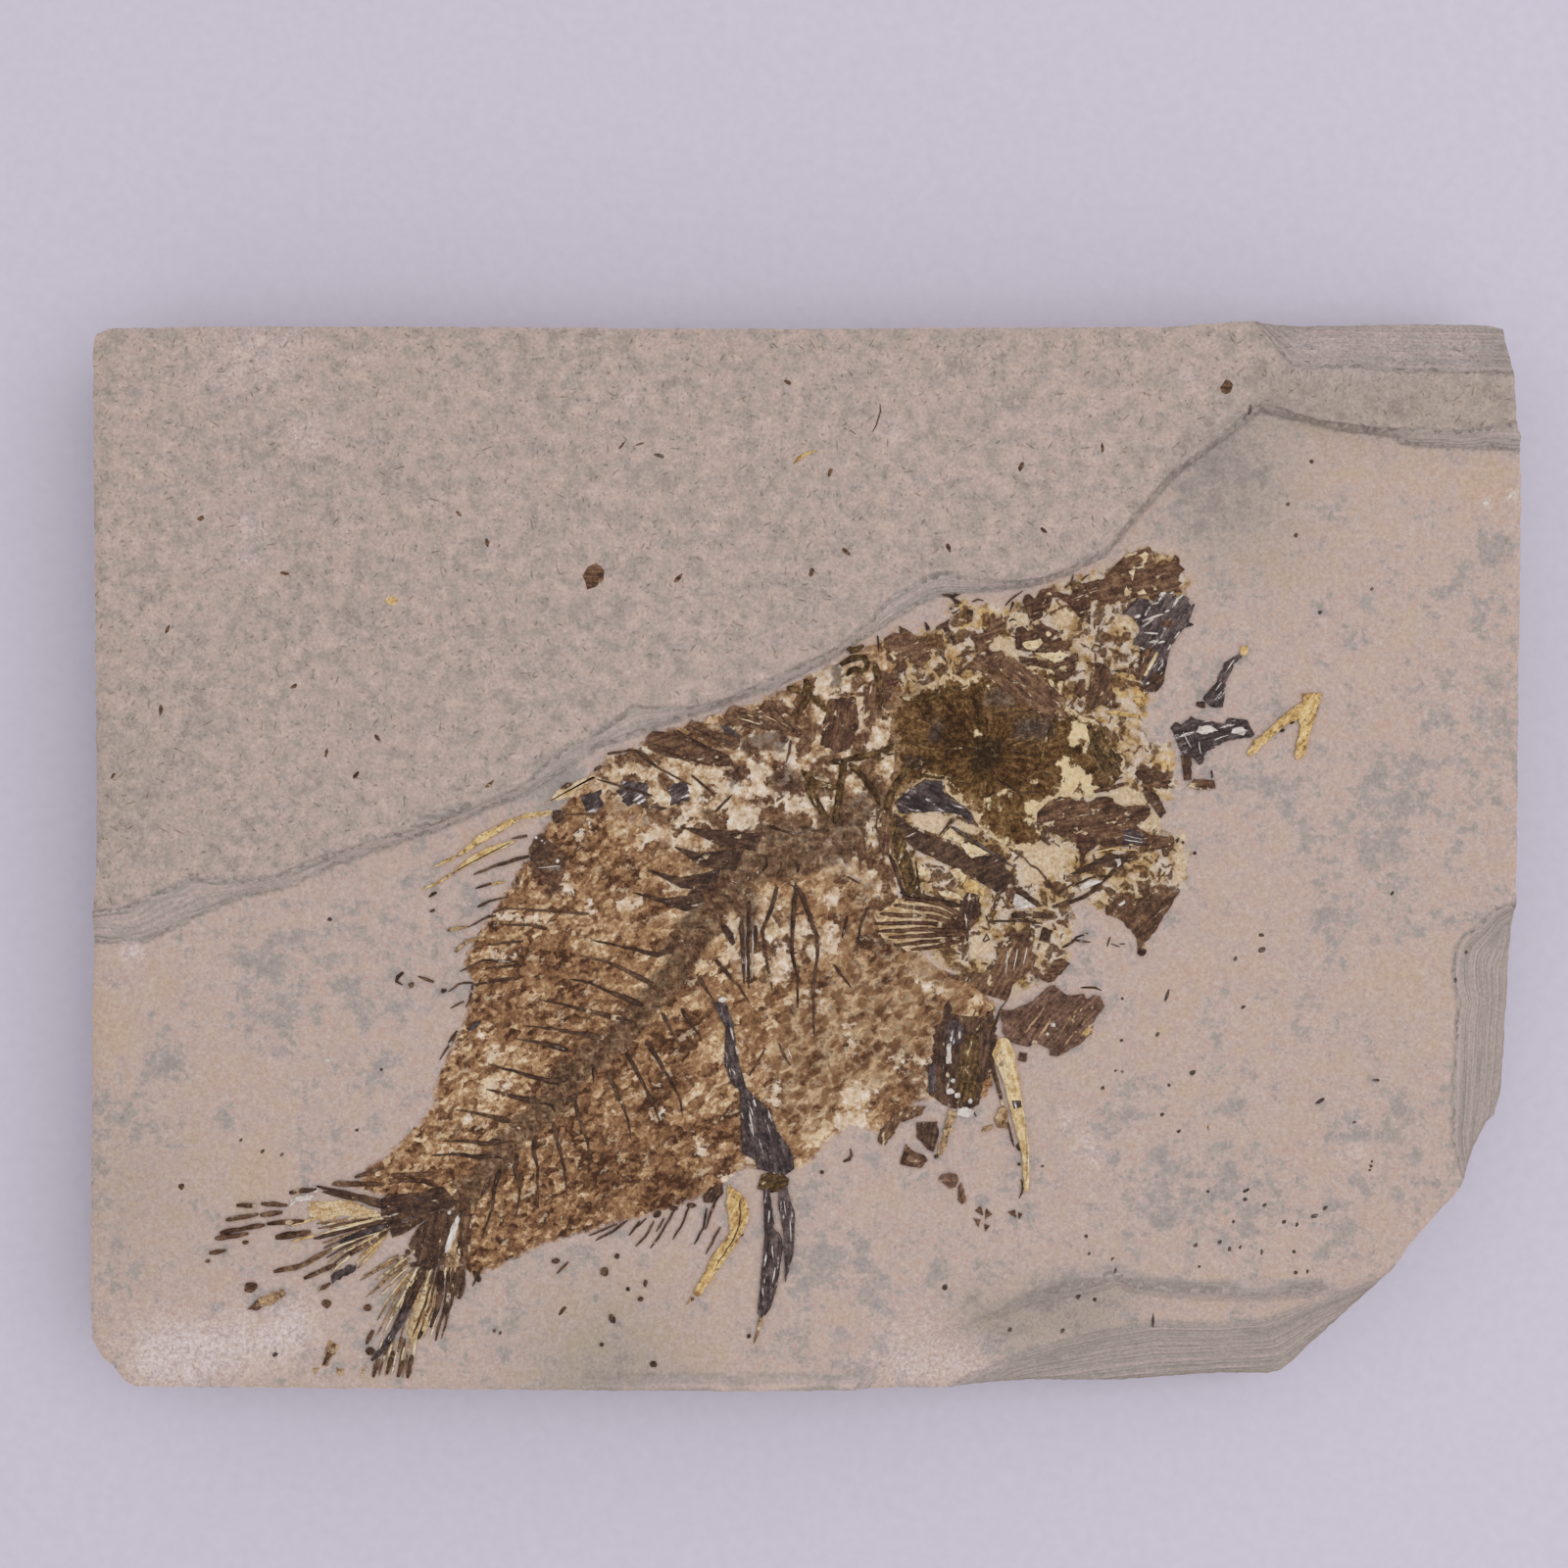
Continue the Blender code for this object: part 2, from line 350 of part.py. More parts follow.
GILL_BARS = [
    [(94.6, 50.8), (97, 49), (100.4, 49.8), (103.6, 52.2), (106, 55)],
    [(96, 57.4), (101, 56.8), (107, 57.8)], [(91.8, 47.9), (97.8, 47.8)],
    [(92.4, 56.2), (95.6, 53)],
]
GILL_PLATE_RIBS = [
    [(98.6, 40), (96.4, 37.4)], [(99.9, 39.3), (97.8, 36.8)], [(101, 39.2), (98.4, 35.4)],
    [(102, 38), (99.8, 35)],
]
BREAST_BARS = [[(94.6, 45.8), (93.6, 41.6), (92.8, 40)]]
GIRDLE_BARS = [[(87.2, 38.4), (86.6, 33), (87.6, 26.4)], [(90.6, 38), (90, 33), (89.4, 29)]]
SUPPORT_BARS = [[(64, 39), (65, 34.5), (66, 30), (69, 25), (69.6, 22)]]
PELVIC_RAY = [(91.7, 33), (92.3, 31.5), (92.9, 29), (93.5, 26.6), (94, 24.2)]
PELVIC_RAY_WIDTH = 0.5

SPINE_ROOT = 0.38        # radii of the ridges, at the thick end and at the tip
SPINE_TIP = 0.16
RAY_RADIUS = 0.24
BAR_RADIUS = 0.34
CENTRUM_WAIST = 0.42
CENTRUM_RIM = 0.72


# ---------------------------------------------------------------- colours
PALE_STONE = (0.45, 0.37, 0.31)
BROWN_SCALES = (0.20, 0.11, 0.055)
DARK_BONE = (0.060, 0.032, 0.020)
OLIVE_BONE = (0.10, 0.060, 0.022)
SLATE_BONE = (0.060, 0.048, 0.050)
YELLOW_BONE = (0.50, 0.32, 0.11)
CREAM_BONE = (0.42, 0.30, 0.17)
RED_BROWN_BONE = (0.12, 0.060, 0.040)


def clear_scene():
    for thing in list(bpy.data.objects):
        bpy.data.objects.remove(thing)


def new_collection(name):
    group = bpy.data.collections.new(name)
    bpy.context.scene.collection.children.link(group)
    return group


def material(name, colour, roughness):
    finish = bpy.data.materials.new(name)
    finish.use_nodes = True
    shader = finish.node_tree.nodes["Principled BSDF"]
    shader.inputs["Base Color"].default_value = (*colour, 1.0)
    shader.inputs["Roughness"].default_value = roughness
    shader.inputs["Metallic"].default_value = 0.0
    finish.diffuse_color = (*colour, 1.0)
    return finish


def place(point, height=0.0):
    """A plan point in slab millimetres, and a height, as model metres."""
    x, y = point
    return ((x - PLAN_CENTRE[0]) * MM, (y - PLAN_CENTRE[1]) * MM, height * MM)


def signed_area(outline):
    pairs = zip(outline, outline[1:] + outline[:1])
    return 0.5 * sum(a[0] * b[1] - b[0] * a[1] for a, b in pairs)


def anticlockwise(outline):
    return list(outline) if signed_area(outline) > 0 else list(reversed(outline))


def offset_outline(outline, distance):
    """The outline moved out by a distance (in when it is negative), with mitred corners."""
    points = anticlockwise(outline)
    moved = []
    for index, here in enumerate(points):
        before = points[index - 1]
        after = points[(index + 1) % len(points)]
        first = unit_normal(before, here)
        second = unit_normal(here, after)
        spread = max(1.0 + first[0] * second[0] + first[1] * second[1], 0.5)
        moved.append((here[0] + distance * (first[0] + second[0]) / spread,
                      here[1] + distance * (first[1] + second[1]) / spread))
    return moved


def unit_normal(start, end):
    """The right-hand normal of a stretch, which points out of an anticlockwise outline."""
    along = (end[0] - start[0], end[1] - start[1])
    length = math.hypot(*along)
    return (along[1] / length, -along[0] / length)


def ribbon(path, width):
    """The outline of a band of even width that follows a path."""
    left, right = [], []
    for index, here in enumerate(path):
        before = path[max(index - 1, 0)]
        after = path[min(index + 1, len(path) - 1)]
        normal = unit_normal(before, after)
        right.append((here[0] + normal[0] * width / 2, here[1] + normal[1] * width / 2))
        left.append((here[0] - normal[0] * width / 2, here[1] - normal[1] * width / 2))
    return right + list(reversed(left))


def mesh_from_curve(thing, group):
    """Turn a curve object into a closed mesh object of the same name, and drop the curve."""
    depsgraph = bpy.context.evaluated_depsgraph_get()
    mesh = bpy.data.meshes.new_from_object(thing.evaluated_get(depsgraph))
    shape = bmesh.new()
    shape.from_mesh(mesh)
    bmesh.ops.remove_doubles(shape, verts=shape.verts, dist=WELD)
    bmesh.ops.triangulate(shape, faces=shape.faces)
    bmesh.ops.recalc_face_normals(shape, faces=shape.faces)
    shape.to_mesh(mesh)
    shape.free()
    name = thing.name
    matrix = thing.matrix_world.copy()
    bpy.data.objects.remove(thing)
    solid = bpy.data.objects.new(name, mesh)
    solid.matrix_world = matrix
    group.objects.link(solid)
    bpy.context.view_layer.update()
    return solid


def flat_piece(name, outline, low, high, group):
    """A flat solid of a plan outline, between two heights."""
    curve = bpy.data.curves.new(name, "CURVE")
    curve.dimensions = "2D"
    curve.fill_mode = "BOTH"
    curve.extrude = (high - low) * MM / 2
    spline = curve.splines.new("POLY")
    points = anticlockwise(outline)
    spline.points.add(len(points) - 1)
    for target, point in zip(spline.points, points):
        target.co = (*place(point), 1.0)
    spline.use_cyclic_u = True
    thing = bpy.data.objects.new(name, curve)
    thing.location.z = (high + low) * MM / 2
    group.objects.link(thing)
    bpy.context.view_layer.update()
    return mesh_from_curve(thing, group)


def rod(name, path, radii, height, sides, group):
    """A tapered rod along a plan path, with its axis at one height."""
    curve = bpy.data.curves.new(name, "CURVE")
    curve.dimensions = "3D"
    curve.bevel_depth = MM
    curve.bevel_resolution = sides
    curve.use_fill_caps = True
    spline = curve.splines.new("POLY")
    spline.points.add(len(path) - 1)
    for target, point, radius in zip(spline.points, path, radii):
        target.co = (*place(point, height), 1.0)
        target.radius = radius
    thing = bpy.data.objects.new(name, curve)
    group.objects.link(thing)
    bpy.context.view_layer.update()
    return mesh_from_curve(thing, group)


def combine(body, tool, operation):
    """Join a tool to a body, or cut the body with it, and drop the tool."""
    change = body.modifiers.new(operation.lower(), "BOOLEAN")
    change.operation = operation
    change.solver = "EXACT"
    change.object = tool
    bpy.context.view_layer.update()
    depsgraph = bpy.context.evaluated_depsgraph_get()
    mesh = bpy.data.meshes.new_from_object(body.evaluated_get(depsgraph))
    body.modifiers.clear()
    previous = body.data
    body.data = mesh
    bpy.data.meshes.remove(previous)
    bpy.data.objects.remove(tool)


def as_tool(thing):
    thing.hide_render = True
    thing.display_type = "WIRE"
    return thing


def taper(path, start, end):
    """Radii that run evenly from one end of a path to the other."""
    steps = len(path) - 1
    return [start + (end - start) * index / steps for index in range(steps + 1)]


def add_ridges(body, paths, start, end, face, tools):
    """Fuse tapered ridges to a piece, half sunk in the face that they stand on."""
    for path in paths:
        radii = taper(path, start, end)
        ridge = rod("ridge", path, radii, face - RIDGE_SINK, FOUR_SIDES, tools)
        combine(body, as_tool(ridge), "UNION")


def tidy_faces(piece):
    """Make each flat face one face again, then cut it into as few triangles as it needs."""
    shape = bmesh.new()
    shape.from_mesh(piece.data)
    bmesh.ops.dissolve_limit(shape, angle_limit=FLATNESS, verts=shape.verts,
                             edges=shape.edges)
    bmesh.ops.triangulate(shape, faces=shape.faces)
    shape.to_mesh(piece.data)
    shape.free()


def vertebrae():
    """The backbone's path with its radii: a rim at each joint and a waist between them."""
    path, radii = [], []
    for start, end in zip(BACKBONE, BACKBONE[1:]):
        middle = ((start[0] + end[0]) / 2, (start[1] + end[1]) / 2)
        path += [start, middle]
        radii += [CENTRUM_RIM, CENTRUM_WAIST]
    return path + [BACKBONE[-1]], radii + [CENTRUM_RIM]


def circle(centre, radius, count=10):
    turns = [2 * math.pi * step / count for step in range(count + 1)]
    return [(centre[0] + radius * math.cos(turn), centre[1] + radius * math.sin(turn))
            for turn in turns]


def break_tool(name, crest, foot, crest_height, foot_height, outside, tools):
    """A solid above a sloping break, which runs from a crest line down to a foot line.

    The outside points close the plan beyond the stone, from the lines' last point back
    to their first.
    """
    rings = []
    shape = bmesh.new()
    for line, height in ((foot, foot_height), (crest, crest_height),
                         (crest, crest_height + BEYOND)):
        rings.append([shape.verts.new(place(point, height)) for point in line + outside])
    count = len(rings[0])
    for lower, upper in zip(rings, rings[1:]):
        for index in range(count):
            following = (index + 1) % count
            shape.faces.new((lower[index], lower[following], upper[following], upper[index]))
    shape.faces.new(rings[0])
    shape.faces.new(rings[-1])
    bmesh.ops.triangulate(shape, faces=shape.faces)
    bmesh.ops.recalc_face_normals(shape, faces=shape.faces)
    mesh = bpy.data.meshes.new(name)
    shape.to_mesh(mesh)
    shape.free()
    tool = bpy.data.objects.new(name, mesh)
    tools.objects.link(tool)
    bpy.context.view_layer.update()
    return as_tool(tool)


def wear_edges(slab):
    """Chamfer the edges between the slab's two faces and its sides."""
    shape = bmesh.new()
    shape.from_mesh(slab.data)
    rim = [edge for edge in shape.edges
           if abs(edge.verts[0].co.z - edge.verts[1].co.z) < WELD
           and edge.calc_face_angle() > math.radians(60)]
    bmesh.ops.bevel(shape, geom=rim, offset=WORN_EDGE * MM, segments=1, affect="EDGES",
                    profile=0.5, clamp_overlap=True)
    bmesh.ops.triangulate(shape, faces=shape.faces)
    shape.to_mesh(slab.data)
    shape.free()


def make_slab(parts, tools):
    slab = flat_piece("stone_slab", SLAB_OUTLINE, 0.0, UPPER_FACE, parts)
    wear_edges(slab)
    right, left, top, bottom = 146.4 + BEYOND, -0.6 - BEYOND, 108.9 + BEYOND, -1.3 - BEYOND
    breaks = [
        (LEDGE_CREST, LEDGE_FOOT, UPPER_FACE, FISH_FACE,
         [(right, 95), (right, bottom), (left, bottom), (left, 46)]),
        (TOP_RIGHT_CREST, TOP_RIGHT_FOOT, UPPER_FACE, UPPER_FACE - BREAK_DEPTH,
         [(right, 106), (right, top), (118, top)]),
        (RIGHT_CHIP_CREST, RIGHT_CHIP_FOOT, FISH_FACE, FISH_FACE - BREAK_DEPTH,
         [(right, 20), (right, 49.5)]),
        (SHELF_CREST, SHELF_FOOT, FISH_FACE, SHELF_HEIGHT,
         [(right, 12), (right, bottom), (77, bottom)]),
        (SHELF_EDGE_CREST, SHELF_EDGE_FOOT, SHELF_HEIGHT, SHELF_HEIGHT - BREAK_DEPTH,
         [(right, 11), (right, bottom), (88.5, bottom)]),
    ]
    for crest, foot, crest_height, foot_height, outside in breaks:
        tool = break_tool("break", crest, foot, crest_height, foot_height, outside, tools)
        combine(slab, tool, "DIFFERENCE")
    return slab


def bed(slab, outline, tools):
    """Cut the shallow bed that one piece of the fish lies in."""
    wider = offset_outline(outline, CLEARANCE / 2)
    hollow = flat_piece("bed", wider, BED_FLOOR, UPPER_FACE + BEYOND, tools)
    combine(slab, as_tool(hollow), "DIFFERENCE")


def fish_piece(name, outline, high, slab, parts, tools):
    """One flat piece of the fish, seated in its own bed in the slab."""
    piece = flat_piece(name, offset_outline(outline, -CLEARANCE / 2), FILM_LOW, high, parts)
    bed(slab, outline, tools)
    return piece


def make_flank(slab, parts, tools):
    flank = fish_piece("scaly_flank", FLANK, FILM_HIGH, slab, parts, tools)
    path, radii = vertebrae()
    backbone = rod("backbone", path, radii, FILM_HIGH - RIDGE_SINK, SIX_SIDES, tools)
    combine(flank, as_tool(backbone), "UNION")
    add_ridges(flank, NEURAL_SPINES + HAEMAL_SPINES, SPINE_ROOT, SPINE_TIP, FILM_HIGH, tools)
    add_ridges(flank, RIBS, BAR_RADIUS, RAY_RADIUS, FILM_HIGH, tools)
    add_ridges(flank, FLANK_BARS, BAR_RADIUS, RAY_RADIUS, FILM_HIGH, tools)
    return flank


def make_ridged_pieces(slab, parts, tools):
    """The fins and bones that carry ridges: name, outline, top, ridges and their radii."""
    ridged = [
        ("tail_fin_upper", TAIL_UPPER, FILM_HIGH, TAIL_UPPER_RAYS, RAY_RADIUS),
        ("tail_fin_lower", TAIL_LOWER, FILM_HIGH, TAIL_LOWER_RAYS, RAY_RADIUS),
        ("dorsal_fin", DORSAL_FIN, FILM_HIGH, DORSAL_RAYS, BAR_RADIUS),
        ("anal_fin", ANAL_FIN, FILM_HIGH, ANAL_RAYS, BAR_RADIUS),
        ("pectoral_fin", PECTORAL_FIN, FILM_HIGH, PECTORAL_RAYS, RAY_RADIUS),
        ("skull", SKULL, BONE_HIGH, SKULL_BARS, BAR_RADIUS),
        ("skull_roof", SKULL_ROOF, FILM_HIGH, ROOF_BARS, SPINE_ROOT),
        ("snout", SNOUT, BONE_HIGH, SNOUT_BARS, BAR_RADIUS),
        ("shoulder_girdle", SHOULDER_GIRDLE, FILM_HIGH, SHOULDER_BARS, SPINE_ROOT),
        ("gill_bones", GILL_BONES, FILM_HIGH, GILL_BARS, SPINE_ROOT),
        ("gill_plate", GILL_PLATE, BONE_HIGH, GILL_PLATE_RIBS, RAY_RADIUS),
        ("breast_plate", BREAST_PLATE, BONE_HIGH, BREAST_BARS, BAR_RADIUS),
        ("pelvic_girdle", PELVIC_GIRDLE, BONE_HIGH, GIRDLE_BARS, BAR_RADIUS),
        ("anal_support", ANAL_SUPPORT, BONE_HIGH, SUPPORT_BARS, BAR_RADIUS),
    ]
    made = {}
    for name, outline, high, paths, radius in ridged:
        piece = fish_piece(name, outline, high, slab, parts, tools)
        add_ridges(piece, paths, radius, radius * 0.7, high, tools)
        made[name] = piece
    add_ridges(made["tail_fin_upper"], HYPURAL_BARS, CENTRUM_WAIST, BAR_RADIUS, FILM_HIGH, tools)
    add_ridges(made["tail_fin_lower"], HYPURAL_BARS_LOWER, CENTRUM_WAIST, BAR_RADIUS,
               FILM_HIGH, tools)
    socket = circle(EYE_SOCKET, EYE_SOCKET_RADIUS)
    add_ridges(made["skull"], [socket[:6], socket[5:]], RAY_RADIUS, RAY_RADIUS, BONE_HIGH, tools)
    return made


def make_plain_pieces(slab, parts, tools):
    """The bones that are one flat shape: name, outline and top."""
    plain = [
        ("cheek_plate", CHEEK_PLATE, BONE_HIGH),
        ("pelvic_spine", PELVIC_SPINE, SPINE_HIGH),
        ("pelvic_ray", ribbon(PELVIC_RAY, PELVIC_RAY_WIDTH + CLEARANCE), BONE_HIGH),
        ("toothed_jaw", TOOTHED_JAW, SPINE_HIGH),
        ("jaw_rod", JAW_ROD, SPINE_HIGH),
        ("forked_bone", FORKED_BONE, BONE_HIGH),
        ("lip_plate", LIP_PLATE, BONE_HIGH),
        ("jaw_chip", JAW_CHIP, BONE_HIGH),
    ]
    plain += [(name, outline, SPINE_HIGH) for name, outline in ANAL_SPINES.items()]
    plain += [(name, outline, BONE_HIGH) for name, outline in NAPE_BLADES.items()]
    plain += [(name, outline, FILM_HIGH) for name, outline in LOOSE_SCALES.items()]
    return {name: fish_piece(name, outline, high, slab, parts, tools)
            for name, outline, high in plain}


def give_materials(pieces):
    brown = ("scaly_flank",)
    dark = ("tail_fin_upper", "tail_fin_lower", "anal_fin", "pectoral_fin", "shoulder_girdle",
            "pelvic_ray")
    olive = ("skull", "pelvic_girdle")
    slate = ("anal_support", "anal_spine_long", "anal_spine_front", "toothed_jaw", "jaw_rod",
             "snout", "breast_plate")
    yellow = ("dorsal_fin", "pelvic_spine", "anal_spine_rear", "forked_bone")
    cream = ("skull_roof", "gill_bones")
    groups = [
        ("stone", PALE_STONE, 0.95, ("stone_slab",)),
        ("scales", BROWN_SCALES, 0.8, brown),
        ("dark_bone", DARK_BONE, 0.55, dark),
        ("olive_bone", OLIVE_BONE, 0.6, olive),
        ("slate_bone", SLATE_BONE, 0.45, slate),
        ("yellow_bone", YELLOW_BONE, 0.6, yellow),
        ("cream_bone", CREAM_BONE, 0.75, cream),
    ]
    assigned = {name for group in groups for name in group[3]}
    red = tuple(name for name in pieces if name not in assigned)
    groups.append(("red_brown_bone", RED_BROWN_BONE, 0.6, red))
    for slot, colour, roughness, names in groups:
        for name in names:
            pieces[name].data.materials.clear()
            pieces[name].data.materials.append(material(f"{slot}_{name}", colour, roughness))


def main():
    clear_scene()
    parts = new_collection(NATURE)
    tools = new_collection(TOOLS)
    slab = make_slab(parts, tools)
    pieces = {"stone_slab": slab, "scaly_flank": make_flank(slab, parts, tools)}
    pieces.update(make_ridged_pieces(slab, parts, tools))
    pieces.update(make_plain_pieces(slab, parts, tools))
    give_materials(pieces)
    for piece in pieces.values():
        tidy_faces(piece)


main()
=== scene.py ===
"""Looks of a fossil fish slab: a flat piece of pale layered limestone that holds a crushed fish.

Plan points are in millimetres from the slab's lower left corner, x along its long edge
and y towards the top of its face.  Heights are in millimetres above the rest face.
"""
import math
import random

import bpy
import numpy as np
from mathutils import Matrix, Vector, noise
from mathutils.geometry import delaunay_2d_cdt


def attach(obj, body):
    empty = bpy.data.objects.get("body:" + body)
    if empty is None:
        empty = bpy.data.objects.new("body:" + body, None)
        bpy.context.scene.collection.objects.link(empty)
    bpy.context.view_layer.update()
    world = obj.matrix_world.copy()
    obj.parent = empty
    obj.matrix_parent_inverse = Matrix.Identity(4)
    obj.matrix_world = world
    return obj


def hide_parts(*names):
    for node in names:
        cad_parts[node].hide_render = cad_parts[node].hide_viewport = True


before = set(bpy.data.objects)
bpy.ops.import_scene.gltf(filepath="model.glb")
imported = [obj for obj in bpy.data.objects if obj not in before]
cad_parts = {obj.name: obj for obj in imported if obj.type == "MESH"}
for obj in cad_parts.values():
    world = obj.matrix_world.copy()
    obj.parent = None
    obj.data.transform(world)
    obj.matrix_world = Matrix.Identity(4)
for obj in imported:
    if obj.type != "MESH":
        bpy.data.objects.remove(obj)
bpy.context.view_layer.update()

# Driving dimensions, in millimetres.
MM = 0.001
PLAN_CENTRE = (72.7, 54.0)
UPPER_FACE = 13.95       # the stone layer that covers the upper left
FISH_FACE = 12.8         # the bedding plane that the fish lies on
SHELF_FACE = 11.9
BREAK_DEPTH = 5.0        # how far the broken edges fall
FILM_BASE = 12.6
FILM_TOP = 12.93         # the scale sheet and the cream film
BONE_BASE = 12.7
BONE_TOP = 13.08         # the flat bones
ROD_AXIS = 12.97         # the middle of the spines and rays
WORN_DROP = 0.05         # how far a flat bone's edge is worn down
SPECK_DEPTH = 0.25       # how far a speck goes down into the stone
WALK_STEP = 0.7          # from ring to ring along a spine or ray
WALK_WANDER = 0.05       # how far its rings stray from the line
END_WIDTH = 0.55         # its end, as a share of its width
WALL_ROWS = 18           # rows of faces down the slab's sides
FOOT_HEIGHT = 0.5        # where the sides turn in to the rest face
FOOT_ROOM = 0.5          # how far they turn in


# ---------------------------------------------------------------- plan geometry
def at(point, height):
    """A plan point and a height as a place in the model."""
    return Vector(((point[0] - PLAN_CENTRE[0]) * MM, (point[1] - PLAN_CENTRE[1]) * MM, height * MM))


def groups(size, *numbers):
    """A run of numbers taken so many at a time."""
    return [numbers[k:k + size] for k in range(0, len(numbers), size)]


def plan(points):
    """Plan points from a run of numbers x, y, x, y; points that are pairs already are kept."""
    return groups(2, *points) if isinstance(points[0], (int, float)) else list(points)


def outlines(*runs):
    """Several outlines or paths from runs of numbers."""
    return [plan(run) for run in runs]


def inside(points, outline):
    """Which of the plan points lie inside an outline."""
    x, y = points[:, 0], points[:, 1]
    hit = np.zeros(len(points), bool)
    for (ax, ay), (bx, by) in zip(outline, outline[1:] + outline[:1]):
        if ay != by:
            hit ^= ((ay > y) != (by > y)) & (x < (bx - ax) * (y - ay) / (by - ay) + ax)
    return hit


def nearest(points, line, closed=False):
    """How far each plan point is from a line, and the line's nearest point to it."""
    best = np.full(len(points), 1e9)
    spot_on = np.zeros_like(points)
    ends = line[1:] + line[:1] if closed else line[1:]
    for a, b in zip(line, ends):
        a, b = np.array(a, float), np.array(b, float)
        run = b - a
        share = np.clip(((points - a) @ run) / max(run @ run, 1e-12), 0, 1)
        foot = a + share[:, None] * run
        away = np.hypot(*(points - foot).T)
        closer = away < best
        best[closer] = away[closer]
        spot_on[closer] = foot[closer]
    return best, spot_on


def depth_in(points, outline):
    """How deep inside an outline each plan point is, in millimetres; outside is negative."""
    away = nearest(points, outline, True)[0]
    return np.where(inside(points, outline), away, -away)


def deepest(points, rings, floor=-3.0):
    """The greatest depth in any of several outlines."""
    best = np.full(len(points), floor)
    for outline in rings:
        ring = np.array(outline)
        low, high = ring.min(0) + floor, ring.max(0) - floor
        near = ((points > low) & (points < high)).all(1)
        if near.any():
            best[near] = np.maximum(best[near], depth_in(points[near], outline))
    return best


def swell(points, spots):
    """A soft field: the sum of round swells given as x, y, radius and strength."""
    field = np.zeros(len(points))
    for x, y, radius, strength in spots:
        field += strength * np.exp(-((points[:, 0] - x) ** 2 + (points[:, 1] - y) ** 2) / radius ** 2)
    return field


def unevenness(points, spread, seed=0.0):
    """Smooth unevenness from -1 to 1 over the plan, with hollows about spread apart."""
    return np.array([noise.noise(Vector((x / spread, y / spread, seed))) for x, y in points])


def spot(x, y, wide, high=None, turn=0.0, points=10):
    """A small round or oval outline."""
    high = wide if high is None else high
    c, s = math.cos(math.radians(turn)), math.sin(math.radians(turn))
    ring = []
    for k in range(points):
        a = 2 * math.pi * k / points
        u, v = wide / 2 * math.cos(a), high / 2 * math.sin(a)
        ring.append((x + u * c - v * s, y + u * s + v * c))
    return ring


def anticlockwise(outline):
    area = sum(a[0] * b[1] - b[0] * a[1] for a, b in zip(outline, outline[1:] + outline[:1]))
    return list(outline) if area > 0 else list(reversed(outline))


def ragged(outline, step=0.35, depth=0.08, seed=1):
    """An outline walked in short steps, each a little off the straight line."""
    chance = random.Random(seed)
    ring = []
    for a, b in zip(outline, outline[1:] + outline[:1]):
        count = max(1, round(math.dist(a, b) / step))
        for k in range(count):
            t = k / count
            x, y = a[0] + (b[0] - a[0]) * t, a[1] + (b[1] - a[1]) * t
            ring.append((x + chance.uniform(-depth, depth), y + chance.uniform(-depth, depth)))
    return ring


# ---------------------------------------------------------------- modelling by hand
def let_go():
    if bpy.context.mode != "OBJECT":
        bpy.ops.object.mode_set(mode="OBJECT")
    bpy.ops.object.select_all(action="DESELECT")


def work_on(piece):
    """Makes one piece the only one selected, in edit mode with all of it selected."""
    let_go()
    piece.select_set(True)
    bpy.context.view_layer.objects.active = piece
    bpy.ops.object.mode_set(mode="EDIT")
    bpy.ops.mesh.select_all(action="SELECT")


def close_up():
    """Turns every face of the piece being worked on outwards, and ends the work on it."""
    bpy.ops.mesh.select_all(action="SELECT")
    bpy.ops.mesh.normals_make_consistent(inside=False)
    bpy.ops.object.mode_set(mode="OBJECT")


def raise_by(height):
    """Extrudes what is selected straight up, or down where the height is negative."""
    bpy.ops.mesh.extrude_region_move(TRANSFORM_OT_translate={"value": (0, 0, height * MM)})


def disc(ring, height):
    """A circle drawn to an outline at a height, all selected in edit mode."""
    let_go()
    bpy.ops.mesh.primitive_circle_add(vertices=len(ring), radius=MM, fill_type="NGON")
    piece = bpy.context.object
    put(piece, np.array(ring), np.full(len(ring), height))
    work_on(piece)
    return piece


def places(piece):
    """A piece's points: in plan millimetres, and their heights."""
    flat = np.zeros(len(piece.data.vertices) * 3)
    piece.data.vertices.foreach_get("co", flat)
    flat = flat.reshape(-1, 3) / MM
    return flat[:, :2] + np.array(PLAN_CENTRE), flat[:, 2]


def put(piece, points, heights):
    """Moves a piece's points to plan places and heights."""
    moved = np.column_stack([points - np.array(PLAN_CENTRE), heights]) * MM
    piece.data.vertices.foreach_set("co", moved.ravel())
    piece.data.update()


def mark(piece, name, values):
    """Keeps a number on each point of a piece, for its finish to read."""
    layer = piece.data.attributes.get(name) or piece.data.attributes.new(name, "FLOAT", "POINT")
    layer.data.foreach_set("value", np.asarray(values, np.float32))


def mark_grain(piece, along, across, shade):
    """Keeps the run of the bone's fibres on each point: along, across, and the piece's shade."""
    layer = piece.data.attributes.get("grain") or piece.data.attributes.new("grain", "FLOAT_VECTOR", "POINT")
    shade = np.full(len(along), shade)
    layer.data.foreach_set("vector", np.column_stack([along, across, shade]).astype(np.float32).ravel())


shades = random.Random(11)


